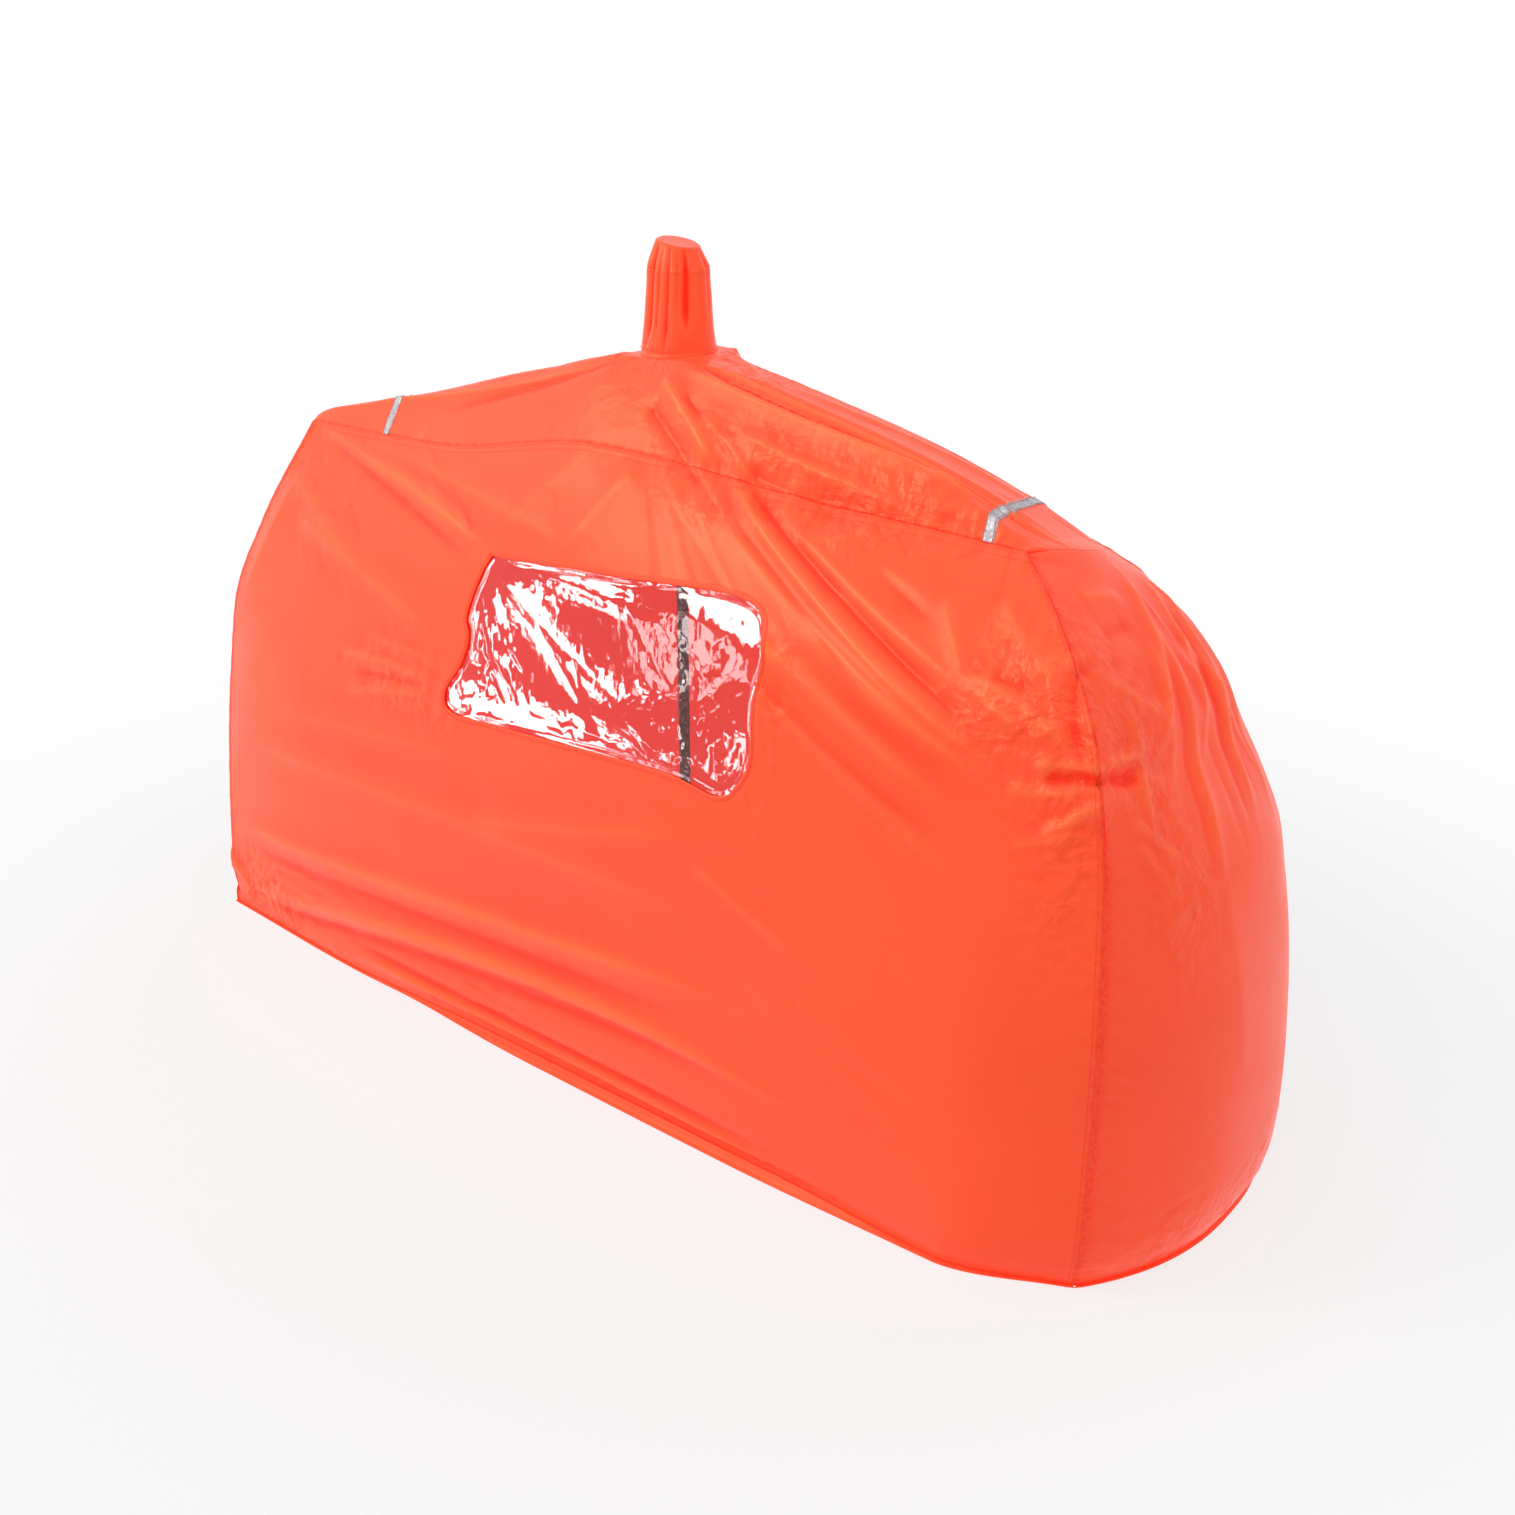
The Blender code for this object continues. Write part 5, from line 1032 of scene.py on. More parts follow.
class Finish:
    """A node material, with short calls to add and join its nodes."""

    def __init__(self, name, tree=None):
        if tree is None:
            self.material = bpy.data.materials.new(name + "_finish")
            self.material.use_nodes = True
            tree = self.material.node_tree
            self.shader = tree.nodes["Principled BSDF"]
        self.tree = tree

    def add(self, kind, inputs=(), **settings):
        made = self.tree.nodes.new(kind)
        for key, value in settings.items():
            setattr(made, key, value)
        for key, value in dict(inputs).items():
            self.fill(made.inputs[key], value)
        return made

    def fill(self, socket, value):
        """Join an output to a socket, or set the socket's value; a colour may leave out its alpha."""
        if isinstance(value, bpy.types.NodeSocket):
            self.tree.links.new(value, socket)
        elif socket.type == "RGBA" and len(value) == 3:
            socket.default_value = (*value, 1.0)
        else:
            socket.default_value = value

    def join(self, output, target, key):
        self.tree.links.new(output, target.inputs[key])

    def maths(self, operation, first, second=0.0, third=0.0):
        made = self.add("ShaderNodeMath", {0: first, 1: second, 2: third}, operation=operation)
        return made.outputs[0]

    def mix(self, share, first, second):
        values = {"Factor": share, 6: first, 7: second}
        return self.add("ShaderNodeMix", values, data_type="RGBA", clamp_factor=True).outputs[2]

    def spread(self, value, low, high, new_low=0.0, new_high=1.0):
        made = self.add(
            "ShaderNodeMapRange",
            {"Value": value, "From Min": low, "From Max": high, "To Min": new_low, "To Max": new_high},
        )
        return made.outputs["Result"]

    def place(self):
        return self.add("ShaderNodeTexCoord").outputs["Object"]

    def noise(self, vector, scale, detail=3.0, roughness=0.55):
        values = {"Vector": vector, "Scale": scale, "Detail": detail, "Roughness": roughness}
        return self.add("ShaderNodeTexNoise", values).outputs["Fac"]

    def bump(self, height, distance, strength=1.0, under=None):
        inputs = {"Height": height, "Distance": distance, "Strength": strength}
        if under is not None:
            inputs["Normal"] = under
        return self.add("ShaderNodeBump", inputs).outputs["Normal"]

    def group(self, name, inputs=()):
        return self.add("ShaderNodeGroup", inputs, node_tree=bpy.data.node_groups[name])

    def field(self, name):
        """A value that the mesh carries at its points."""
        return self.add("ShaderNodeAttribute", attribute_name=name).outputs["Fac"]

    def cloth_uv(self):
        return self.add("ShaderNodeUVMap", uv_map="cloth").outputs["UV"]

    def wear(self, amount):
        """Rubbed edges, as a share."""
        return self.group("edge_wear", {"Vector": self.place(), "Amount": amount}).outputs["Mask"]

    def mottled(self, colour, scale, amount):
        """A colour that lightens and darkens in soft clouds."""
        values = {"Vector": self.place(), "Scale": scale, "Amount": amount}
        mottle = self.group("mottle", values).outputs["Factor"]
        return self.add("ShaderNodeHueSaturation", {"Color": colour, "Value": mottle}).outputs["Color"]

    def set(self, **values):
        """Set the shader's own sockets, with underscores for spaces."""
        for key, value in values.items():
            self.fill(self.shader.inputs[key.replace("_", " ")], value)
        return self.material


def new_group(name, inputs, outputs):
    """An empty node group with its sockets, as a Finish, and its two end nodes."""
    tree = bpy.data.node_groups.new(name, "ShaderNodeTree")
    for socket, kind, default in inputs:
        made = tree.interface.new_socket(socket, in_out="INPUT", socket_type=kind)
        if default is not None:
            made.default_value = default
    for socket, kind in outputs:
        tree.interface.new_socket(socket, in_out="OUTPUT", socket_type=kind)
    group = Finish(name, tree)
    return group, group.add("NodeGroupInput"), group.add("NodeGroupOutput")


def build_groups():
    """Weave, crinkle, mottle and edge wear, each made once and used by several finishes."""
    group, start, end = new_group(
        "plain_weave",
        [("Vector", "NodeSocketVector", None), ("Pitch", "NodeSocketFloat", 0.0006)],
        [("Height", "NodeSocketFloat")],
    )
    apart = group.add("ShaderNodeSeparateXYZ", {0: start.outputs["Vector"]})
    turns = []
    for axis in ("X", "Y"):
        count = group.maths("DIVIDE", apart.outputs[axis], start.outputs["Pitch"])
        turns.append(group.maths("MULTIPLY", count, math.pi))
    warp = group.maths("ABSOLUTE", group.maths("SINE", turns[0]))
    weft = group.maths("ABSOLUTE", group.maths("SINE", turns[1]))
    over = group.maths("MULTIPLY", group.maths("COSINE", turns[0]), group.maths("COSINE", turns[1]))
    over = group.maths("GREATER_THAN", over, 0.0)
    under = group.maths("SUBTRACT", 1.0, over)
    height = group.maths("ADD", group.maths("MULTIPLY", warp, over), group.maths("MULTIPLY", weft, under))
    group.join(height, end, "Height")

    group, start, end = new_group(
        "fine_crinkle",
        [
            ("Vector", "NodeSocketVector", None),
            ("Scale", "NodeSocketFloat", 60.0),
            ("Cover", "NodeSocketFloat", 0.5),
        ],
        [("Height", "NodeSocketFloat"), ("Mask", "NodeSocketFloat")],
    )
    place, scale = start.outputs["Vector"], start.outputs["Scale"]
    wander = group.add("ShaderNodeTexNoise", {"Vector": place, "Scale": 9.0, "Detail": 2.0}).outputs["Color"]
    moved = group.add("ShaderNodeVectorMath", {0: wander, "Scale": 0.05}, operation="SCALE").outputs[0]
    moved = group.add("ShaderNodeVectorMath", {0: place, 1: moved}, operation="ADD").outputs[0]
    cells = group.add("ShaderNodeTexVoronoi", {"Vector": moved, "Scale": scale}, distance="MANHATTAN")
    scale = group.maths("MULTIPLY", scale, 2.7)
    finer = group.add("ShaderNodeTexVoronoi", {"Vector": moved, "Scale": scale}, distance="MANHATTAN")
    facets = group.maths("MULTIPLY_ADD", finer.outputs["Distance"], 0.35, cells.outputs["Distance"])
    patches = group.noise(start.outputs["Vector"], 6.0, 2.0)
    mask = group.spread(group.maths("ADD", patches, start.outputs["Cover"]), 0.9, 1.15)
    group.join(group.maths("MULTIPLY", facets, mask), end, "Height")
    group.join(mask, end, "Mask")

    group, start, end = new_group(
        "mottle",
        [
            ("Vector", "NodeSocketVector", None),
            ("Scale", "NodeSocketFloat", 8.0),
            ("Amount", "NodeSocketFloat", 0.1),
        ],
        [("Factor", "NodeSocketFloat")],
    )
    values = {"Vector": start.outputs["Vector"], "Scale": start.outputs["Scale"], "Detail": 4.0}
    clouds = group.add("ShaderNodeTexNoise", values).outputs["Fac"]
    swing = group.maths("MULTIPLY", group.maths("SUBTRACT", clouds, 0.5), start.outputs["Amount"])
    group.join(group.maths("ADD", swing, 1.0), end, "Factor")

    group, start, end = new_group(
        "edge_wear",
        [("Vector", "NodeSocketVector", None), ("Amount", "NodeSocketFloat", 0.5)],
        [("Mask", "NodeSocketFloat")],
    )
    geometry = group.add("ShaderNodeNewGeometry")
    rim = group.spread(geometry.outputs["Pointiness"], 0.52, 0.62)
    rubbed = group.noise(start.outputs["Vector"], 240.0, 4.0)
    worn = group.maths("MULTIPLY", rim, group.spread(rubbed, 0.42, 0.62))
    group.join(group.maths("MULTIPLY", worn, start.outputs["Amount"]), end, "Mask")


def cloth_colour(finish):
    """Colour with painted shade in folds and along seams and a painted highlight along crests, with a soft
    mottle.
    """
    # Painted shade: the crest field and the seams deepen the colour in folds and along seams; painted
    # highlight: it pales on crests
    crest = finish.field("crest")
    painted_fold_shade = finish.spread(crest, 0.5, 0.0)
    seam = finish.field("seam")
    drawn = finish.spread(finish.noise(finish.place(), 190.0, 1.0), 0.35, 0.65, 0.35, 1.0)
    painted_fold_shade = finish.maths("MAXIMUM", painted_fold_shade, finish.maths("MULTIPLY", seam, drawn))
    light = finish.spread(crest, 0.56, 1.0)
    colour = finish.mix(painted_fold_shade, colours().cloth, colours().cloth_deep)
    colour = finish.mix(light, colour, colours().cloth_light)
    return finish.mottled(colour, 5.0, 0.24)


def cloth_finish(name, pitch=0.0006, roughness=0.35):
    """Thin coated cloth: plain weave, fine crinkles, warm gloss, and a painted glow that stands in for
    daylight through it.
    """
    finish = Finish(name)
    uv = finish.cloth_uv()
    amount = finish.field("crinkle")
    seam = finish.field("seam")
    crinkle = finish.group("fine_crinkle", {"Vector": finish.place(), "Scale": 42.0, "Cover": 0.62})
    amount = finish.maths("MULTIPLY_ADD", amount, 1.0, -0.03)
    creases = finish.maths("MULTIPLY", crinkle.outputs["Height"], amount)
    drawn = finish.maths("MULTIPLY", finish.noise(finish.place(), 190.0, 1.0), seam)
    creases = finish.maths("MULTIPLY_ADD", drawn, 0.2, creases)
    weave = finish.group("plain_weave", {"Vector": uv, "Pitch": pitch})
    normal = finish.bump(creases, 0.0045, 1.0)
    normal = finish.bump(weave.outputs["Height"], 0.00005, 0.35, normal)
    rough = finish.spread(finish.noise(finish.place(), 14.0), 0.3, 0.7, roughness - 0.05, roughness + 0.06)
    behind = finish.add("ShaderNodeNewGeometry").outputs["Backfacing"]
    finish.set(
        Base_Color=cloth_colour(finish),
        Roughness=rough,
        Normal=normal,
        IOR=1.5,
        Specular_Tint=(1.0, 0.5, 0.2),
        # Painted glow: emission that stands in for daylight through the cloth, dimmer on the inner side
        Emission_Color=finish.mix(behind, colours().painted_glow, colours().painted_inner_glow),
        Emission_Strength=1.0,
    )
    finish.shader.inputs["Specular IOR Level"].default_value = 0.5
    return finish.material


def thread_finish():
    finish = Finish("thread")
    strand = finish.noise(finish.place(), 2500.0, 2.0)
    colour = finish.mix(finish.spread(strand, 0.3, 0.7), colours().thread, colours().cloth)
    finish.set(Base_Color=colour, Roughness=0.6, Normal=finish.bump(strand, 0.00005, 0.5), Sheen_Weight=0.3)
    return finish.material


def film_finish():
    """Clear plastic film with faint smudges and fine crinkled facets."""
    finish = Finish("clear_film")
    haze = finish.spread(finish.noise(finish.place(), 30.0), 0.4, 0.8, 0.0, 0.004)
    facets = finish.group("fine_crinkle", {"Vector": finish.place(), "Scale": 55.0, "Cover": 0.6})
    normal = finish.bump(facets.outputs["Height"], 0.00006, 1.0)
    finish.set(Base_Color=colours().film, Roughness=haze, Normal=normal, IOR=1.38, Transmission_Weight=1.0)
    return finish.material


def tape_finish():
    """Silver tape: glass beads on a woven backing, rubbed off in specks."""
    finish = Finish("reflective_tape")
    beads = finish.add("ShaderNodeTexVoronoi", {"Vector": finish.place(), "Scale": 700.0})
    specks = finish.spread(beads.outputs["Color"], 0.25, 0.8)
    rubbed = finish.spread(finish.noise(finish.place(), 160.0, 5.0, 0.7), 0.5, 0.58)
    colour = finish.mix(specks, (0.46, 0.46, 0.5), colours().tape)
    colour = finish.mix(finish.maths("MULTIPLY", rubbed, 0.55), colour, (0.30, 0.22, 0.22))
    uv = finish.cloth_uv()
    weave = finish.group("plain_weave", {"Vector": uv, "Pitch": 0.0009})
    normal = finish.bump(weave.outputs["Height"], 0.0001, 0.4)
    normal = finish.bump(beads.outputs["Distance"], 0.0001, 0.3, normal)
    rough = finish.spread(specks, 0.0, 1.0, 0.5, 0.28)
    finish.set(Base_Color=colour, Roughness=rough, Metallic=0.35, Normal=normal)
    return finish.material


def foam_finish():
    """Closed-cell foam of the grip."""
    finish = Finish("grip_foam")
    cells = finish.add("ShaderNodeTexVoronoi", {"Vector": finish.place(), "Scale": 900.0})
    wear = finish.wear(0.5)
    # Painted shade: darker down in the pits of the cells
    pits = finish.spread(cells.outputs["Distance"], 0.0, 0.6)
    colour = finish.mix(pits, (0.010, 0.010, 0.011), colours().black)
    colour = finish.mix(wear, colour, (0.07, 0.07, 0.072))
    finish.set(Base_Color=colour, Roughness=0.85, Normal=finish.bump(pits, 0.0003, 0.7), Sheen_Weight=0.2)
    return finish.material


def plastic_finish(name, colour, roughness, grain):
    """Moulded plastic with a fine spark-eroded grain and rubbed edges."""
    finish = Finish(name)
    texture = finish.noise(finish.place(), grain, 3.0)
    wear = finish.wear(0.6)
    paler = tuple(min(1.0, channel * 2.6 + 0.03) for channel in colour)
    shade = finish.mottled(colour, 60.0, 0.3)
    rough = finish.spread(texture, 0.3, 0.7, roughness - 0.08, roughness + 0.08)
    finish.set(
        Base_Color=finish.mix(wear, shade, paler), Roughness=rough, Normal=finish.bump(texture, 0.0001, 0.35)
    )
    return finish.material


def metal_finish(name, colour, roughness, metallic, stretch):
    """Drawn or turned metal: fine lines along one way, faint smudges, bright edges."""
    finish = Finish(name)
    turned = finish.add("ShaderNodeMapping", {"Vector": finish.place(), "Scale": stretch})
    lines = finish.noise(turned.outputs["Vector"], 420.0, 3.0)
    wear = finish.wear(0.7)
    smudge = finish.spread(finish.noise(finish.place(), 45.0, 4.0), 0.35, 0.7, -0.06, 0.12)
    rough = finish.maths("ADD", smudge, finish.spread(lines, 0.3, 0.7, roughness - 0.04, roughness + 0.06))
    bright = tuple(min(1.0, channel * 1.5 + 0.12) for channel in colour)
    shade = finish.mottled(colour, 25.0, 0.2)
    finish.set(
        Base_Color=finish.mix(wear, shade, bright),
        Roughness=rough,
        Metallic=metallic,
        Normal=finish.bump(lines, 0.00004, 0.25),
    )
    return finish.material


def mark_finish():
    finish = Finish("scale_print")
    flecks = finish.noise(finish.place(), 900.0, 3.0)
    colour = finish.mix(finish.spread(flecks, 0.55, 0.7), (0.72, 0.70, 0.70), (0.3, 0.28, 0.28))
    finish.set(Base_Color=colour, Roughness=0.5)
    return finish.material


def build_finishes():
    """Every material of the object, by name."""
    build_groups()
    cloth_finish("coated_cloth")
    cloth_finish("seat_cloth", pitch=0.0011, roughness=0.55)
    cloth_finish("binding_cloth", pitch=0.0009, roughness=0.45)
    thread_finish()
    film_finish()
    tape_finish()
    foam_finish()
    tint = colours()
    plastic_finish("clamp_plastic", tuple(tint.grey), 0.48, 900.0)
    plastic_finish("lever_plastic", tuple(tint.black), 0.38, 700.0)
    plastic_finish("black_nylon", tuple(tint.black), 0.52, 1100.0)
    metal_finish("shaft_alloy", tuple(tint.shaft), 0.30, 0.55, (1.0, 1.0, 0.04))
    metal_finish("steel", tuple(tint.steel), 0.26, 1.0, (0.2, 1.0, 1.0))
    metal_finish("tip_alloy", tuple(tint.steel), 0.34, 1.0, (1.0, 1.0, 0.2))
    mark_finish()


def finish_named(*names):
    return [bpy.data.materials[name + "_finish"] for name in names]


# The panels are worked out once and used by several operators
_work = {}


def panels():
    if "panels" not in _work:
        _work["panels"] = make_panels()
    return _work["panels"]


def panel_object(name, panel, seams, outline=None):
    """The mesh of a panel, with an opening cut out where an outline is given."""
    rows, columns = panel.surface.shape[:2]
    faces = grid_faces(rows, columns, panel.flipped)
    points = panel.surface.reshape(-1, 3).copy()
    a, b = (field.ravel() for field in panel.places())
    uv = np.stack([a, b], -1)
    if outline is not None:
        faces, places, moved = trimmed(faces, outline, a, b, keep_inside=False)
        if panel.axes == (0, 2):
            s, t = wall_share(places[moved, 0], places[moved, 1])
            points[moved] = panel.at(s, t)[0]
        else:
            points[moved, :2] += places[moved] - uv[moved]
        uv = places
    # The crest field paints shade in the folds and highlights on the crests of the cloth
    fields = {"crest": crest_of(panel.height), "crinkle": crinkle_of(panel), "seam": seam_of(panel, seams)}
    obj = new_object(name, points, faces, finish_named("coated_cloth"), uv, **fields)
    thicken(obj, sizes().thickness, edges_only=True)
    return obj


def window_outline():
    return closed_curve(WINDOW_EDGE)


def vent_outline():
    angles = np.linspace(0, 2 * np.pi, 96, endpoint=False)
    return np.stack([np.cos(angles), np.sin(angles)], -1) * (VENT_RADIUS - 0.001)


class SHELTER_OT_finishes(bpy.types.Operator):
    """Build every material of the shelter and the pole"""

    bl_idname = "shelter.finishes"
    bl_label = "Build finishes"

    def execute(self, context):
        build_finishes()
        return {"FINISHED"}


class SHELTER_OT_walls(bpy.types.Operator):
    """Model the two long walls, the two end walls and the roof as creased cloth"""

    bl_idname = "shelter.walls"
    bl_label = "Walls and roof"

    def execute(self, context):
        made = panels()
        sides = [("left", 0.007), ("right", 0.007)]
        front = panel_object("front_wall_cloth", made["front"], [*sides, ("top", 0.0013)], window_outline())
        rear = panel_object("rear_wall_cloth", made["rear"], [*sides, ("top", 0.0025)])
        right = panel_object("right_end_cloth", made["right"], sides)
        left = panel_object("left_end_cloth", made["left"], sides)
        eaves = [("bottom", 0.0025), ("top", 0.0025)]
        top = panel_object("roof_cloth", made["roof"], eaves, vent_outline())
        cut = [
            (front, "front_wall", (1.45, 0.80), 0.99),
            (rear, "rear_wall", (1.42, 0.79), 1.03),
            (right, "right_end_wall", (0.47, 0.76), 0.29),
            (left, "left_end_wall", (0.38, 0.73), 0.24),
            (top, "roof_panel", (1.14, 0.33), 0.30),
        ]
        for obj, node, flat, area in cut:
            settle(obj, "shelter", "coated_cloth", node)
        return {"FINISHED"}


# Main folds of the window film, by (x, z): flat-sided, so that each side mirrors as one band
FILM_CRUMPLE = 0.0002
FILM_FOLDS = folds_of(
    ((-0.134, 0.6), (0.13, 0.492), 0.29, 19, 4, -0.5, 0),
    ((0.08, 0.512), (0.19, 0.44), 0.16, 11, 2, -0.4, 0),
    ((-0.182, 0.434), (0.22, 0.417), 0.3, 19, -4, -0.5, 0),
    ((0.165, 0.614), (0.302, 0.574), 0.27, 17, 3, -0.5, 0),
    ((-0.07, 0.609), (0.12, 0.594), 0.14, 9, -2, -0.4, 0),
    ((-0.03, 0.586), (0.11, 0.58), 0.12, 8, -3, -0.4, 0),
    ((0.09, 0.612), (0.175, 0.53), 0.2, 14, 3, -0.5, 0),
    ((0.175, 0.598), (0.25, 0.538), 0.18, 13, 2, -0.5, 0),
    ((-0.152, 0.586), (-0.098, 0.532), 0.15, 9, 0, -0.4, 0),
    ((-0.144, 0.512), (-0.07, 0.474), 0.17, 11, 0, -0.4, 0),
    ((-0.09, 0.528), (-0.04, 0.49), 0.14, 8, 0, -0.4, 0),
    ((0.23, 0.512), (0.29, 0.486), 0.14, 9, 0, -0.4, 0),
    ((0.21, 0.47), (0.275, 0.434), 0.15, 9, 0, -0.4, 0),
    ((0.195, 0.5), (0.25, 0.512), 0.12, 8, 0, -0.4, 0),
    ((-0.155, 0.56), (-0.06, 0.44), -0.23, 9, 3, 0, 0), ((-0.04, 0.56), (0.1, 0.45), -0.23, 12, 5, 0, 0),
)


def film_creases():
    """Fine creases of the window film, many of them out of its upper left corner."""
    return (
        fanned(81, 9, (-0.140, 0.612), (-84, -20), (0.01, 0.03), (0.05, 0.14), (0.04, 0.14), (5, 9))
        + scattered(82, 50, (0.060, 0.525), (0.24, 0.10), -40, 60, (12, 44), (0.05, 0.22), (3, 6))
        + scattered(83, 40, (0.230, 0.520), (0.07, 0.10), 20, 90, (10, 34), (0.1, 0.35), (3, 5))
        + scattered(84, 26, (-0.130, 0.500), (0.05, 0.10), 70, 50, (10, 40), (0.1, 0.3), (3, 5))
        + scattered(85, 20, (0.030, 0.445), (0.18, 0.02), 5, 40, (10, 36), (0.05, 0.16), (3, 5))
    )


class SHELTER_OT_window(bpy.types.Operator):
    """Model the creased clear film behind the opening, and the stitched binding round it"""

    bl_idname = "shelter.window"
    bl_label = "Window"

    def execute(self, context):
        wall = panels()["front"]
        opening = window_outline()
        self.make_film(wall, opening)
        self.make_binding(wall, opening)
        return {"FINISHED"}

    def make_film(self, wall, opening):
        edge = grown(opening, WINDOW_MARGIN)
        low, high = edge.min(0) - 0.004, edge.max(0) + 0.004
        x, z = np.meshgrid(*(np.arange(low[k], high[k], FILM_SPACING) for k in (0, 1)))
        faces, places, _ = trimmed(grid_faces(*x.shape), edge, x.ravel(), z.ravel(), keep_inside=True)
        x, z = places[:, 0], places[:, 1]
        points, normals = wall.at(*wall_share(x, z))
        depth = -to_outline(opening, x, z)[0]
        inside = eased(depth / 0.007)
        lift = ((points - POLE_AT - long_wall(*wall_share(x, z))) * normals).sum(1)
        level = np.stack([np.ones_like(x), x, z, x * z], 1)
        folds = lift - level @ np.linalg.lstsq(level[depth > 0], lift[depth > 0], rcond=None)[0]
        points = points - normals * (folds * eased(depth / 0.006))[:, None]
        waves = fold_field(FILM_FOLDS + film_creases(), x, z) - 0.001
        waves = waves + FILM_CRUMPLE * (crumpled(x, z, 86, 0.034, 7) - 0.35)
        waves = waves + FILM_CRUMPLE * 0.6 * (crumpled(x, z, 87, 0.014, 7) - 0.35)
        points = points + normals * (waves * inside - FILM_BEHIND)[:, None]
        film = sheet_piece(
            "window_film", points, places, "clear_film", FILM_THICKNESS, "clear_film", "window_pane", faces
        )
        film.visible_shadow = False

    def make_binding(self, wall, opening):
        rounds = np.linspace(0, 1, 7)
        lift = np.array([-0.0004, 0.0005, 0.0006, 0.0005, 0.0006, 0.0005, 0.0])
        rings = []
        for share, up in zip(rounds, lift):
            ring = grown(opening, share * BINDING_WIDTH - 0.0006)
            ring = np.concatenate([ring, ring[:1]])
            points, normals = wall.at(*wall_share(ring[:, 0], ring[:, 1]))
            rings.append(points + normals * up)
        rings = np.array(rings)
        length = np.cumsum(np.linalg.norm(np.diff(rings[0], axis=0, prepend=rings[0][:1]), axis=1))
        uv = np.stack(np.broadcast_arrays(length[None], (rounds * BINDING_WIDTH)[:, None]), -1)
        faces = grid_faces(*rings.shape[:2], flipped=True)
        binding = sheet_piece(
            "window_edge_binding", rings, uv, "binding_cloth", 0.0005, "binding", "window_binding", faces,
            weld=True, crest=0.5,
        )


def tape_drift(top):
    """How far the tapes lean to one side, row by row of the roof."""
    middle = top.surface[:, len(top.across) // 2, 1]
    return TAPE_SLANT * (middle - middle[0])


def roof_strip(top, wanted):
    """Points and normals of the roof where each of its rows passes the wanted places."""
    points, normals = np.empty((*wanted.shape, 3)), np.empty((*wanted.shape, 3))
    for row, along in enumerate(top.surface[..., 0]):
        for axis in range(3):
            points[row, ..., axis] = np.interp(wanted[row], along, top.surface[row, :, axis])
            normals[row, ..., axis] = np.interp(wanted[row], along, top.normals[row, :, axis])
    return points, normals


class SHELTER_OT_tapes(bpy.types.Operator):
    """Model the two reflective tapes, laid over the folds of the roof"""

    bl_idname = "shelter.tapes"
    bl_label = "Reflective tapes"

    def execute(self, context):
        for name, place in (("right_reflective_tape", TAPE_RIGHT), ("left_reflective_tape", TAPE_LEFT)):
            self.make_tape(name, place)
        return {"FINISHED"}

    def make_tape(self, name, place):
        top = panels()["roof"]
        across = np.linspace(-TAPE_WIDTH / 2, TAPE_WIDTH / 2, 7)
        waver = 0.0012 * np.sin(np.linspace(0, 9, len(top.up))) + tape_drift(top)
        points, normals = roof_strip(top, place + across + waver[:, None])
        rim = np.abs(across) > TAPE_WIDTH * 0.45
        points += normals * np.where(rim, 0.0005, TAPE_LIFT)[:, None]
        length = np.cumsum(np.linalg.norm(np.diff(points[:, 3], axis=0, prepend=points[:1, 3]), axis=1))
        uv = np.stack(np.broadcast_arrays(across[None], length[:, None]), -1)
        tape = sheet_piece(name + "_band", points, uv, "reflective_tape", 0.0004, "reflective_tape", name)


# Pleats of the tube: direction in degrees, depth in millimetres, half width in degrees, share where it starts
PLEATS = [
    (-117, 11, 10, 0.05), (-92, 3.5, 4.5, 0.1), (-73, 4.5, 5, 0), (-56, 2.4, 4, 0.4), (-38, 12, 10, 0.25),
    (8, 1.6, 7, 0.3), (40, 2, 12, 0), (75, 4.5, 14, 0), (118, 3, 10, 0.1), (160, 5, 14, 0),
    (-160, 3, 10, 0.2),
]


def chimney_depth(angles, share):
    """How far the pleats draw the tube in, from the roof (share 0) to the cap's seam (share 1)."""
    total = np.zeros(np.broadcast(angles, share).shape)
    for centre, depth, width, start in PLEATS:
        off = (np.degrees(angles) - (centre + 5 * share) + 180) % 360 - 180
        grown = eased((share - start) / 0.4 + 0.1)
        total = total + depth * MM * np.exp(-(np.abs(off) / (width * between(0.6, 1, grown))) ** 1.1) * grown
    return total


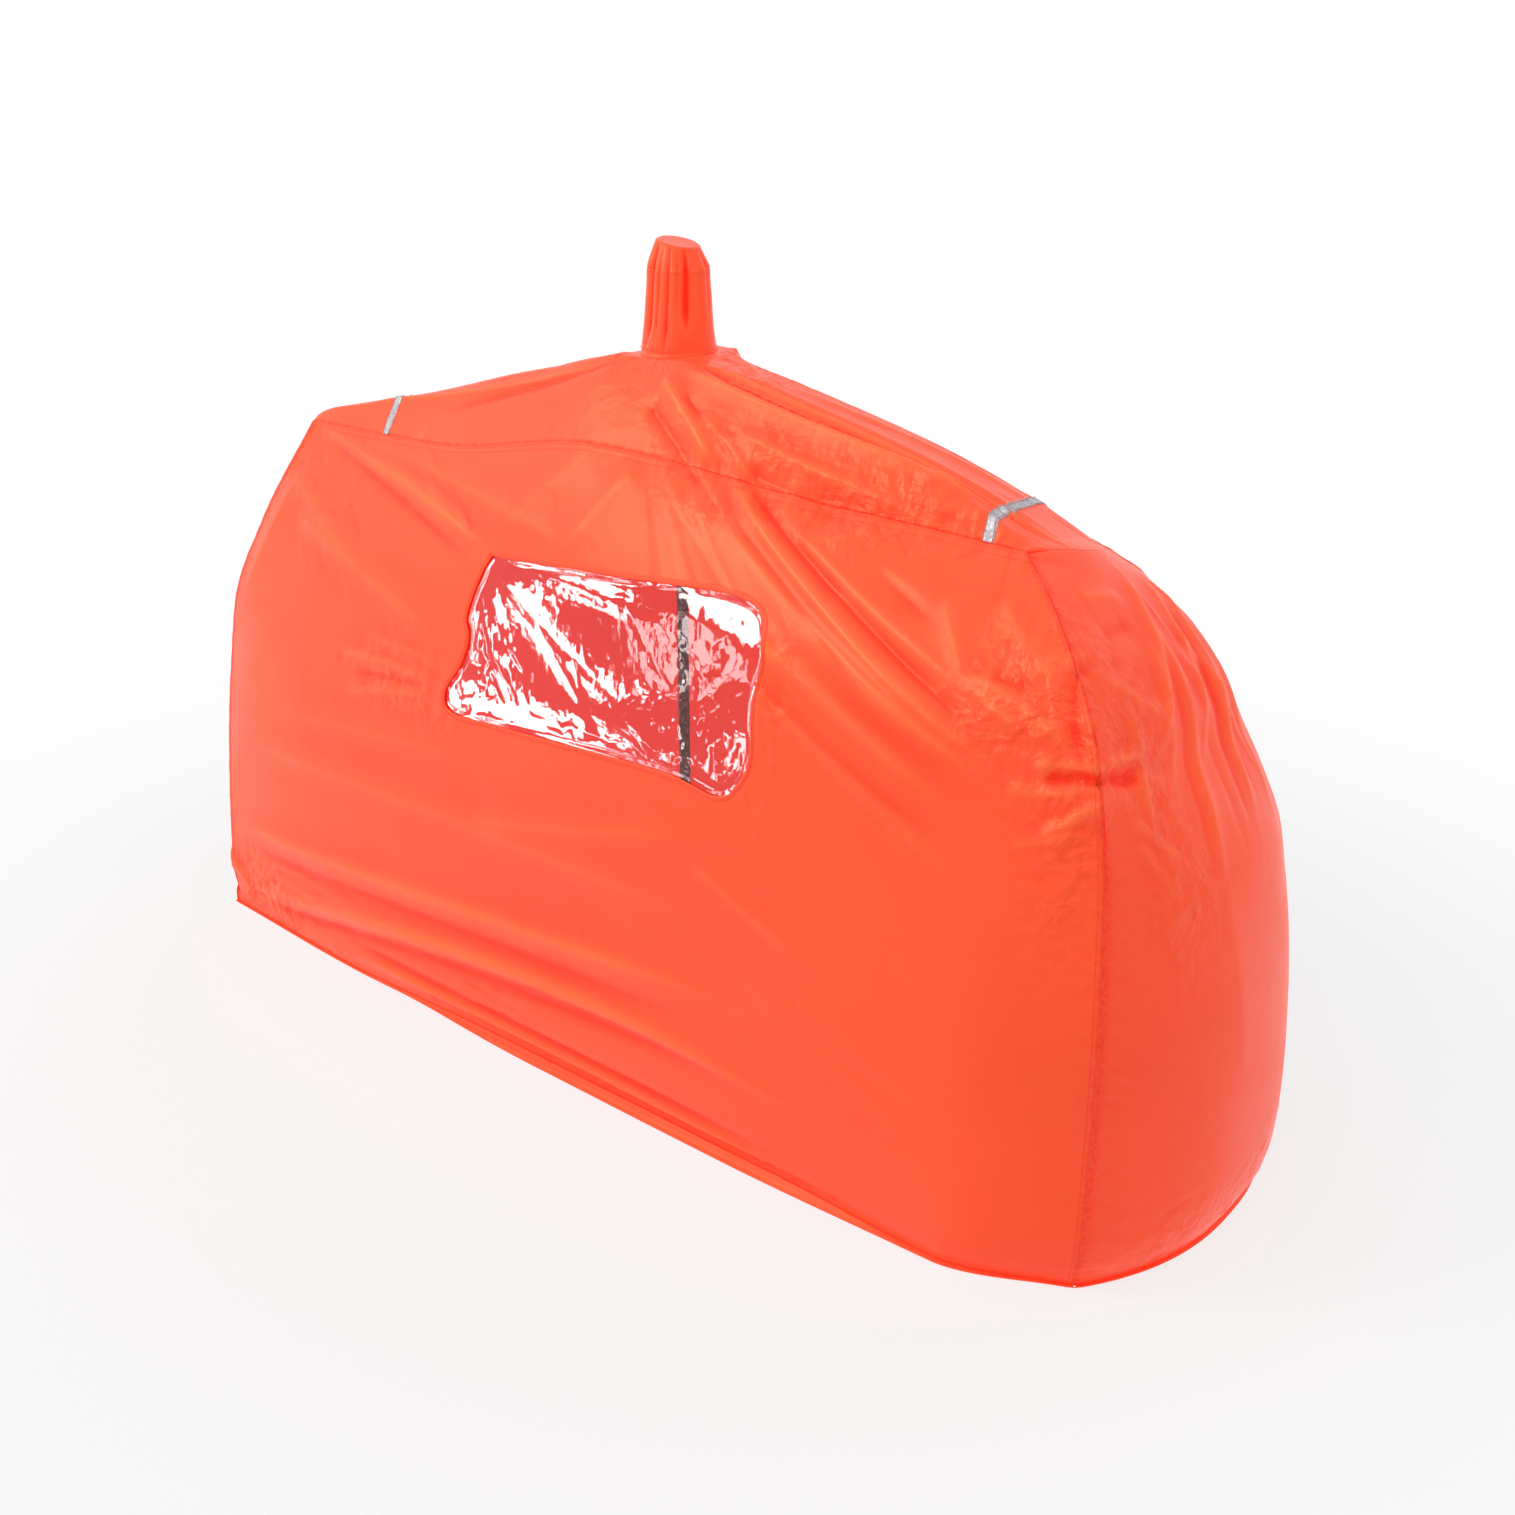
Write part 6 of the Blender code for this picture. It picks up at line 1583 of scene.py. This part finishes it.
class SHELTER_OT_chimney(bpy.types.Operator):
    """Model the pleated vent tube, its slanted cap and the patch that the pole's grip presses on"""

    bl_idname = "shelter.chimney"
    bl_label = "Chimney"

    def execute(self, context):
        angles = np.linspace(0, 2 * np.pi, CHIMNEY_COLUMNS)
        self.make_tube(angles)
        self.make_cap(angles)
        self.make_patch(angles[::4])
        return {"FINISHED"}

    def finish(self, name, node, rings, height, flat, area=None):
        length = np.broadcast_to(np.linspace(0, flat[0], rings.shape[1]), rings.shape[:2])
        # The crest field paints shade in the pleats and highlights on their crests
        uv, crest = np.stack([length, rings[..., 2]], -1), crest_of(height, 0.0007, 0.0022)
        made = sheet_piece(
            name, rings, uv, "coated_cloth", sizes().thickness, "coated_cloth", node, weld=True, crest=crest
        )

    def make_tube(self, angles):
        share = np.linspace(0, 1, CHIMNEY_ROWS)[:, None]
        angle = np.broadcast_to(angles, (CHIMNEY_ROWS, len(angles)))
        foot_ring = VENT_RADIUS * np.cos(angle), VENT_RADIUS * np.sin(angle)
        low, high = VENT_HEIGHT - 0.0006 - vent_dip(*foot_ring), CHIMNEY_SEAM_HEIGHT
        a, b = np.cos(angle) * 0.04, share * 0.09 + np.sin(angle) * 0.03
        crease = 0.0018 * (crumpled(a, b, 91, 0.030, 6) - 0.35) * eased(3 * share) * eased(6 * (1 - share))
        flare = 0.0016 * (1 - eased(share / 0.06))
        depth = chimney_depth(angle, share) - crease
        radius = between(VENT_RADIUS, CHIMNEY_SEAM_RADIUS, share) + flare - depth
        shift = CHIMNEY_SHIFT * share
        height = np.broadcast_to(between(low, high, share), angle.shape)
        rings = np.stack([shift + radius * np.cos(angle), radius * np.sin(angle), height], -1)
        self.finish("chimney_tube_cloth", "chimney_tube", rings, -depth, (0.273, 0.093))

    def make_cap(self, angles):
        narrowing = CHIMNEY_SEAM_RADIUS - CHIMNEY_TOP_RADIUS
        side = [(CHIMNEY_SEAM_RADIUS - narrowing * k**1.2, k) for k in np.linspace(0, 0.95, 22)]
        edge = [(CHIMNEY_TOP_RADIUS * (0.97 - 0.05 * k), 0.965 + 0.035 * k) for k in (0, 0.5, 1)]
        top = [(CHIMNEY_TOP_RADIUS * 0.9 * k, 1.0) for k in (0.97, 0.85, 0.7, 0.5, 0.3, 0.12, 0.0)]
        rings, heights = [], []
        for number, (radius, share) in enumerate(side + edge + top):
            draw = chimney_depth(angles, np.array(1.0)) * (1 - share) ** 0.7
            gather = CAP_GATHER * np.cos(7 * angles + 3 * np.sin(2 * angles)) * eased(8 * share)
            gather = gather * eased(1 - share)
            wavy = np.full_like(angles, radius)
            if number < len(side):
                wavy = np.maximum(radius - draw + gather, 0)
            slanted = CHIMNEY_TOP_HEIGHT - CHIMNEY_SLANT * wavy * np.cos(angles)
            sag = 0.0012 * (1 - radius / CHIMNEY_TOP_RADIUS) if number >= len(side) + len(edge) else 0.0
            height = between(CHIMNEY_SEAM_HEIGHT - 0.0004, slanted, share) - sag
            rings.append(np.stack([CHIMNEY_SHIFT + wavy * np.cos(angles), wavy * np.sin(angles), height], -1))
            heights.append(gather - draw)
        rings, heights = np.array(rings), np.array(heights)
        self.finish("chimney_cap_cloth", "chimney_cap", rings, heights, (0.232, 0.048), 0.0095)

    def make_patch(self, angles):
        low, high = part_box("pole_patch")
        radius = (high.y - low.y) / 2
        middle = np.array((low + high) / 2) - POLE_AT
        rings = []
        for share in (1.0, 0.9, 0.6, 0.3, 0.0):
            x = radius * share * np.cos(angles)
            up = middle[2] + 0.0005 - CHIMNEY_SLANT * x + 0.0001 * np.sin(5 * angles) * share
            rings.append(np.stack([middle[0] + x, middle[1] + radius * share * np.sin(angles), up], -1))
        rings = np.array(rings)
        made = sheet_piece(
            "pole_patch_cloth", rings, rings[..., :2], "seat_cloth", 0.0009, "coated_cloth", "pole_patch",
            weld=True, crest=0.5,
        )


def foot_loops():
    """Bottom edge of each wall, the way inwards along it, and how high the wall's foot lies there."""
    loops = {}
    walls = (("front", "front", 1), ("right_end", "right", 1), ("rear", "rear", -1), ("left_end", "left", -1))
    for name, wall, way_round in walls:
        panel = panels()[wall]
        edge = panel.points[0, ::way_round, :2]
        way = np.gradient(edge, axis=0)
        way /= np.linalg.norm(way, axis=1)[:, None]
        loops[name] = (edge, np.stack([-way[:, 1], way[:, 0]], -1), panel.surface[0, ::way_round, 2])
    return loops


class SHELTER_OT_hems(bpy.types.Operator):
    """Model the cloth turned in under each wall, which lies on the ground"""

    bl_idname = "shelter.hems"
    bl_label = "Ground hems"

    def execute(self, context):
        for number, (name, (edge, inward, foot_height)) in enumerate(foot_loops().items()):
            self.make_hem(name, edge, inward, foot_height, number)
        return {"FINISHED"}

    def make_hem(self, name, edge, inward, foot_height, number):
        share = np.linspace(0, 1, 17)[:, None]
        length = np.concatenate([[0], np.cumsum(np.linalg.norm(np.diff(edge, axis=0), axis=1))])
        run = length / length[-1]
        corner = np.minimum(1, np.minimum(length, length[-1] - length) / HEM_WIDTH)
        out = 0.0
        if name == "front":
            out = FRONT_HEM_OUT * smooth_through(FRONT_HEM_OUT_SHARE, run)
        ridge = np.minimum(FOOT_REACH, 0.4 * HEM_WIDTH * corner)
        near = between(-out, ridge, share / RIDGE_SHARE)
        far = between(ridge, HEM_WIDTH * corner, (share - RIDGE_SHARE) / (1 - RIDGE_SHARE))
        reach = np.where(share < RIDGE_SHARE, near, far)
        places = edge[None] + inward[None] * reach[..., None]
        chance = random.Random(100 + number)
        ripple = 0
        for _ in range(6):
            size = chance.uniform(0.3, 0.8)
            ripple = ripple + size * np.sin(length * chance.uniform(20, 110) + chance.uniform(0, 6))
        up = 0.0012 + 0.0009 * np.abs(ripple) * share * corner
        up = up + np.maximum(foot_height - 0.0009, 0) * np.exp(-(((reach - ridge) / FOOT_SPREAD) ** 2))
        points = np.concatenate([places, np.broadcast_to(up, places.shape[:2])[..., None]], -1)
        uv = np.stack(np.broadcast_arrays(length[None], share * HEM_WIDTH), -1)
        cloth, node = "coated_cloth", name + "_hem"
        # A crest below plain paints the hem a little darker, as shade under its wall
        made = sheet_piece(node + "_cloth", points, uv, cloth, 0.0007, cloth, node, crest=0.42)


class SHELTER_OT_seats(bpy.types.Operator):
    """Model the two seat panels that lie on the ground inside"""

    bl_idname = "shelter.seats"
    bl_label = "Seats"

    def execute(self, context):
        for side, name in ((1, "right_seat"), (-1, "left_seat")):
            self.make_seat(name, side)
        return {"FINISHED"}

    def make_seat(self, name, side):
        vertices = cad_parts[name].data.vertices
        places = np.array([vertex.co for vertex in vertices]) - POLE_AT
        low, high = places.min(0), places.max(0)
        sewn = high[0] if side > 0 else low[0]
        near = places[side * (sewn - places[:, 0]) < 0.06]
        ys = np.unique(np.round(near[:, 1], 4))
        xs = [side * np.max(side * near[np.abs(near[:, 1] - y) < 0.0002][:, 0]) for y in ys]
        xs = [x - side * SEAT_SEAM_GAP for x in xs]
        outline = self.outline(ys, xs, low, high, side)
        columns, rows = (np.arange(low[k], high[k] + SEAT_SPACING, SEAT_SPACING) for k in (0, 1))
        x, y = np.meshgrid(columns, rows)
        faces, spots, _ = trimmed(grid_faces(*x.shape), outline, x.ravel(), y.ravel(), keep_inside=True)
        x, y = spots[:, 0], spots[:, 1]
        inside = eased(-to_outline(outline, x, y)[0] / 0.02)
        middle = (low[:2] + high[:2]) / 2
        chance = 110 + (side > 0)
        creases = scattered(chance, 40, middle, (0.15, 0.11), 20, 90, (30, 110), (0.5, 1.6), (4, 9))
        lift = np.abs(fold_field(creases, x, y)) * inside
        points = np.stack([x, y, 0.0009 + lift], -1)
        # Painted shade on the flat seat and painted highlights on its raised creases
        crest = np.clip(0.45 + lift / 0.004, 0, 1)
        made = sheet_piece(
            name + "_cloth", points, spots, "seat_cloth", 0.0008, "seat_cloth", name, faces,
            body=name + "_flap", crest=crest,
        )

    def outline(self, ys, xs, low, high, side):
        """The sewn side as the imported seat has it, and two rounded corners."""
        far = low[0] if side > 0 else high[0]
        corners = []
        for middle_y, first in ((high[1] - SEAT_CORNER, 0), (low[1] + SEAT_CORNER, 1)):
            for step in range(9):
                angle = math.pi / 2 * (first + step / 8)
                along = SEAT_CORNER * (1 - math.sin(angle))
                corners.append((far + side * along, middle_y + SEAT_CORNER * math.cos(angle)))
        outline = np.array([*zip(xs, ys), *corners])
        return outline if side > 0 else outline[::-1]


# Stitching

STITCH_SIDES = 5
STITCH_RINGS = [(-0.46, 0.0, 0.35), (-0.34, 0.75, 1.0), (0.34, 0.75, 1.0), (0.46, 0.0, 0.35)]


def stitches(points, normals, pitch, radius):
    """Points and faces of the stitches along a path: short raised dashes, one after another."""
    length = np.concatenate([[0], np.cumsum(np.linalg.norm(np.diff(points, axis=0), axis=1))])
    middles = np.arange(pitch / 2, length[-1], pitch)

    def sample(field, places):
        return np.stack([np.interp(places, length, field[:, axis]) for axis in range(3)], -1)

    way = sample(points, middles + pitch * 0.3) - sample(points, middles - pitch * 0.3)
    way /= np.linalg.norm(way, axis=1)[:, None] + 1e-9
    out = sample(normals, middles)
    out /= np.linalg.norm(out, axis=1)[:, None] + 1e-9
    side = np.cross(way, out)
    angles = np.arange(STITCH_SIDES) * 2 * np.pi / STITCH_SIDES
    rings = []
    for along, lift, thick in STITCH_RINGS:
        centre = sample(points, middles + along * pitch) + out * radius * lift
        circle = np.cos(angles)[:, None, None] * out[None] + np.sin(angles)[:, None, None] * side[None]
        rings.append(centre[None] + circle * radius * thick)
    vertices = np.array(rings).transpose(2, 0, 1, 3).reshape(-1, 3)
    faces = []
    for ring in range(len(STITCH_RINGS) - 1):
        for number in range(STITCH_SIDES):
            after = (number + 1) % STITCH_SIDES
            low, high = ring * STITCH_SIDES, (ring + 1) * STITCH_SIDES
            faces.append((low + number, low + after, high + after, high + number))
    per_stitch = STITCH_SIDES * len(STITCH_RINGS)
    faces = np.array(faces)[None] + (np.arange(len(middles)) * per_stitch)[:, None, None]
    return vertices, faces.reshape(-1, 4)


class SHELTER_OT_stitching(bpy.types.Operator):
    """Model the stitches along the wall seams and long eaves, round the window, the vent and the cap's seam,
    and beside the tapes
    """

    bl_idname = "shelter.stitching"
    bl_label = "Stitching"

    def execute(self, context):
        made = panels()
        front, rear, top = made["front"], made["rear"], made["roof"]
        rows = []
        for wall in (front, rear):
            for share in (0.0022, 0.0056):
                rows.append(wall.at(share + 0 * wall.up, wall.up))
                rows.append(wall.at(1 - share + 0 * wall.up, wall.up))
            for drop in (0.004, 0.011):
                rows.append(wall.at(wall.across, 1 - drop + 0 * wall.across))
        self.sew("wall_seam_stitches", rows)
        opening = window_outline()
        rows = []
        for distance in (0.0018, BINDING_WIDTH - 0.0022):
            ring = grown(opening, distance)
            ring = np.concatenate([ring, ring[:1]])
            points, normals = front.at(*wall_share(ring[:, 0], ring[:, 1]))
            rows.append((points + normals * 0.0006, normals))
        self.sew("window_stitches", rows)
        rows = []
        for place in (TAPE_LEFT, TAPE_RIGHT):
            for off in (-TAPE_STITCH_OFF, TAPE_STITCH_OFF):
                points, normals = roof_strip(top, place + off + tape_drift(top))
                rows.append((points + normals * TAPE_LIFT, normals))
        self.sew("tape_stitches", rows)
        angles = np.linspace(0, 2 * np.pi, CHIMNEY_COLUMNS)
        rows = []
        for radius, height, share in (
            (VENT_RADIUS + 0.0004, VENT_HEIGHT + 0.003 - vent_dip(np.cos(angles), np.sin(angles)), 0.03),
            (CHIMNEY_SEAM_RADIUS + 0.0002, CHIMNEY_SEAM_HEIGHT - 0.003, 0.97),
            (CHIMNEY_SEAM_RADIUS + 0.0001, CHIMNEY_SEAM_HEIGHT - 0.0052, 0.94),
        ):
            wavy = radius - chimney_depth(angles, np.array(share))
            out = np.stack([np.cos(angles), np.sin(angles), 0 * angles], -1)
            place = out * wavy[:, None]
            place[:, 0] += CHIMNEY_SHIFT * share
            place[:, 2] += height
            rows.append((place, out))
        self.sew("chimney_stitches", rows)
        return {"FINISHED"}

    def sew(self, name, rows):
        vertices, faces, start = [], [], 0
        for points, normals in rows:
            some, more = stitches(points, normals, sizes().stitch_pitch, sizes().stitch_radius)
            vertices.append(some)
            faces.append(more + start)
            start += len(some)
        made = new_object(name, np.concatenate(vertices), np.concatenate(faces), finish_named("thread"))
        settle(made, "shelter", "coated_cloth")


# Walking pole

POLE_FINISHES = {
    "grip_foam": ("pole_grip",),
    "clamp_plastic": ("grip_head", "upper_clamp_collar", "lower_clamp_collar"),
    "lever_plastic": ("upper_clamp_lever", "lower_clamp_lever"),
    "steel": ("upper_clamp_screw", "upper_lever_pin", "lower_clamp_screw", "lower_lever_pin"),
    "shaft_alloy": ("upper_shaft", "middle_shaft", "lower_shaft"),
    "black_nylon": ("middle_end_plug", "lower_end_plug", "tip_holder", "pole_basket"),
    "tip_alloy": ("carbide_tip",),
}
MARK_HEIGHTS = 4
MARK_SPACING = 0.025


class SHELTER_OT_pole(bpy.types.Operator):
    """Finish the walking pole's parts and print a plain length scale on its middle section"""

    bl_idname = "shelter.pole"
    bl_label = "Walking pole"

    def execute(self, context):
        for finish, nodes in POLE_FINISHES.items():
            for node in nodes:
                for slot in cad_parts[node].material_slots:
                    slot.material = finish_named(finish)[0]
        self.print_scale()
        return {"FINISHED"}

    def print_scale(self):
        """Ticks and plain numbers round the shaft, below its clamp."""
        low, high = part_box("middle_shaft")
        radius = (high.x - low.x) / 2 + 0.00006
        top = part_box("upper_clamp_collar")[0].z - 0.004
        pieces = []
        for number in range(MARK_HEIGHTS):
            height = top - 0.006 - number * MARK_SPACING
            bpy.ops.object.select_all(action="DESELECT")
            bpy.ops.object.text_add(location=(0, 0, 0))
            text = bpy.context.object
            text.data.body = str(130 - 5 * number)
            text.data.size = 0.0095
            text.data.align_x = "CENTER"
            only(text)
            bpy.ops.object.convert(target="MESH")
            pieces.append((bpy.context.object, height))
            bpy.ops.object.select_all(action="DESELECT")
            bpy.ops.mesh.primitive_grid_add(x_subdivisions=8, y_subdivisions=1, size=1)
            tick = bpy.context.object
            tick.scale = (0.012, 0.0009, 1)
            bpy.ops.object.transform_apply(scale=True)
            pieces.append((tick, height - 0.002))
        for piece, height in pieces:
            self.wrap(piece, radius, height)
        bpy.ops.object.select_all(action="DESELECT")
        for piece, _ in pieces:
            piece.select_set(True)
        bpy.context.view_layer.objects.active = pieces[0][0]
        bpy.ops.object.join()
        scale = bpy.context.object
        scale.name = "length_scale_print"
        scale.data.materials.clear()
        scale.data.materials.append(finish_named("scale_print")[0])
        settle(scale, "pole_middle_section", "shaft_alloy")

    def wrap(self, piece, radius, height):
        """Lay a flat piece round the shaft, on the side that faces the window's right half."""
        facing = math.radians(-52)
        for vertex in piece.data.vertices:
            angle = facing + vertex.co.x / radius
            x, y = POLE_AT[0] + radius * math.cos(angle), POLE_AT[1] + radius * math.sin(angle)
            vertex.co = Vector((x, y, height + vertex.co.y))


# Strip lamps mirrored in the film: place across and up in their plane, length, width, turn, share of the
# level
GLINTS = [
    (-0.46, -0.88, 0.76, 0.20, -41, 1.0),
    (-0.40, -1.55, 0.90, 0.27, -13, 1.0),
    (0.18, 0.14, 0.60, 0.40, -45, 1.0),
    (-0.36, -0.27, 0.40, 0.13, 12, 0.9),
    (-0.36, -0.55, 0.36, 0.08, -15, 0.8),
    (-0.07, -0.74, 0.45, 0.13, -68, 0.3),
    (0.07, -0.46, 0.50, 0.15, -73, 0.32),
    (-0.76, -0.98, 0.30, 0.05, -80, 0.8),
    (-0.63, -1.20, 0.30, 0.05, -85, 0.7),
    (0.17, -1.30, 0.50, 0.05, 80, 0.7),
]


def seen_directly(finish):
    """1 for rays that come from the camera, a mirror or a clear film, 0 for the rest."""
    path = finish.add("ShaderNodeLightPath")
    seen = finish.maths("MAXIMUM", path.outputs["Is Camera Ray"], path.outputs["Is Glossy Ray"])
    return finish.maths("MAXIMUM", seen, path.outputs["Is Transmission Ray"])


class SHELTER_OT_stage(bpy.types.Operator):
    """Set up the pale floor, the soft light and the camera"""

    bl_idname = "shelter.stage"
    bl_label = "Stage"

    def execute(self, context):
        self.make_floor()
        self.make_room()
        self.make_lamps()
        self.make_camera()
        context.scene.view_settings.view_transform = "Standard"
        return {"FINISHED"}

    def make_floor(self):
        bpy.ops.object.select_all(action="DESELECT")
        bpy.ops.mesh.primitive_plane_add(size=60, location=(0, 0, -0.0002))
        floor = bpy.context.object
        floor.name = "floor"
        finish = Finish("floor")
        finish.tree.nodes.remove(finish.shader)
        diffuse = finish.add("ShaderNodeBsdfDiffuse", {"Color": (0.82, 0.82, 0.82, 1)})
        white = finish.add("ShaderNodeEmission", {"Color": (1, 1, 1, 1), "Strength": 1.0})
        seen = seen_directly(finish)
        length = finish.add("ShaderNodeVectorMath", {0: finish.place()}, operation="LENGTH").outputs["Value"]
        share = finish.maths("MULTIPLY", seen, finish.spread(length, 0.7, 1.7, 0.78, 1.0))
        mixed = finish.add("ShaderNodeMixShader", {0: share, 1: diffuse.outputs[0], 2: white.outputs[0]})
        output = finish.tree.nodes["Material Output"]
        finish.join(mixed.outputs[0], output, "Surface")
        floor.data.materials.append(finish.material)

    def make_room(self):
        world = bpy.data.worlds.new("room")
        bpy.context.scene.world = world
        world.use_nodes = True
        room = Finish("room", world.node_tree)
        background = world.node_tree.nodes["Background"]
        seen = seen_directly(room)
        level = bpy.context.scene.shelter_stage.room_level
        strength = room.spread(seen, 0.0, 1.0, level, 1.0)
        background.inputs["Color"].default_value = (1, 1, 1, 1)
        room.join(strength, background, "Strength")

    def softbox(self, name, place, target, size, level):
        """A lamp whose face has a given brightness, where 1 is white."""
        data = bpy.data.lights.new(name, "AREA")
        data.shape = "RECTANGLE"
        data.size, data.size_y = size
        data.energy = level * math.pi * size[0] * size[1]
        lamp = bpy.data.objects.new(name, data)
        lamp.location = Vector(place) + Vector(POLE_AT)
        lamp.rotation_euler = (Vector(target) - Vector(place)).to_track_quat("-Z", "Y").to_euler()
        bpy.context.scene.collection.objects.link(lamp)
        lamp.visible_camera = False
        return lamp

    def make_glints(self):
        """Strip lamps that only the window film mirrors, side by side in one plane."""
        stage = bpy.context.scene.shelter_stage
        window = Vector((0.06, -0.2, 0.53))
        to_camera = (Vector(CAMERA_AT) - window).normalized()
        facing = Vector((0.0, -0.955, 0.30))
        mirrored = 2 * facing.dot(to_camera) * facing - to_camera
        across = mirrored.cross(Vector((0, 0, 1))).normalized()
        mirrored.rotate(Matrix.Rotation(math.radians(stage.glint_rise), 3, across))
        film = bpy.data.collections.new("mirrors_the_strip_lamps")
        film.objects.link(bpy.data.objects["window_film"])
        for number, (right, up, length, width, turn, share) in enumerate(GLINTS):
            level = stage.glint_level * share
            place = window + mirrored * 2.4
            lamp = self.softbox(f"strip_lamp_{number}", place, window, (length, width), level)
            plane = lamp.rotation_euler.to_matrix()
            lamp.location += plane @ Vector((right, up, 0))
            lamp.rotation_euler = (plane @ Matrix.Rotation(math.radians(turn), 3, "Z")).to_euler()
            lamp.visible_diffuse = False
            lamp.light_linking.receiver_collection = film

    def make_lamps(self):
        stage = bpy.context.scene.shelter_stage
        self.make_glints()
        self.softbox("key_softbox", (-1.7, -2.1, 2.5), (0, 0, 0.45), (1.4, 1.4), stage.key_level)
        self.softbox("top_softbox", (0.9, -0.5, 2.7), (0.1, 0, 0.6), (1.6, 1.6), stage.top_level)
        self.softbox("side_softbox", (2.6, -0.3, 1.7), (0.3, 0, 0.5), (1.4, 1.4), stage.side_level)

    def make_camera(self):
        data = bpy.data.cameras.new("camera")
        data.lens = CAMERA_LENS
        camera = bpy.data.objects.new("camera", data)
        camera.location = Vector(CAMERA_AT) + Vector(POLE_AT)
        camera.rotation_euler = (math.radians(90 - CAMERA_DOWN), 0, math.radians(CAMERA_TURN))
        bpy.context.scene.collection.objects.link(camera)
        bpy.context.scene.camera = camera


class SHELTER_PT_panel(bpy.types.Panel):
    """Every step of the shelter's finish, in order"""

    bl_idname = "SHELTER_PT_panel"
    bl_label = "Group shelter"
    bl_space_type = "VIEW_3D"
    bl_region_type = "UI"
    bl_category = "Shelter"

    def draw(self, context):
        for operator in OPERATORS:
            self.layout.operator(operator.bl_idname)
        for group in ("shelter_sizes", "shelter_colours", "shelter_stage"):
            box = self.layout.box()
            settings = getattr(context.scene, group)
            for name in settings.bl_rna.properties.keys():
                if name not in ("rna_type", "name"):
                    box.prop(settings, name)


OPERATORS = (
    SHELTER_OT_finishes,
    SHELTER_OT_walls,
    SHELTER_OT_window,
    SHELTER_OT_tapes,
    SHELTER_OT_chimney,
    SHELTER_OT_hems,
    SHELTER_OT_seats,
    SHELTER_OT_stitching,
    SHELTER_OT_pole,
    SHELTER_OT_stage,
)
GROUPS = {"shelter_sizes": ShelterSizes, "shelter_colours": ShelterColours, "shelter_stage": ShelterStage}


def register():
    for group in GROUPS.values():
        bpy.utils.register_class(group)
    for name, group in GROUPS.items():
        setattr(bpy.types.Scene, name, bpy.props.PointerProperty(type=group))
    for item in (*OPERATORS, SHELTER_PT_panel):
        bpy.utils.register_class(item)


def unregister():
    for item in (SHELTER_PT_panel, *reversed(OPERATORS)):
        bpy.utils.unregister_class(item)
    for name, group in GROUPS.items():
        delattr(bpy.types.Scene, name)
        bpy.utils.unregister_class(group)


def main():
    register()
    bpy.ops.shelter.finishes()
    bpy.ops.shelter.walls()
    bpy.ops.shelter.window()
    bpy.ops.shelter.tapes()
    bpy.ops.shelter.chimney()
    bpy.ops.shelter.hems()
    bpy.ops.shelter.seats()
    bpy.ops.shelter.stitching()
    bpy.ops.shelter.pole()
    bpy.ops.shelter.stage()


if __name__ == "__main__":
    main()
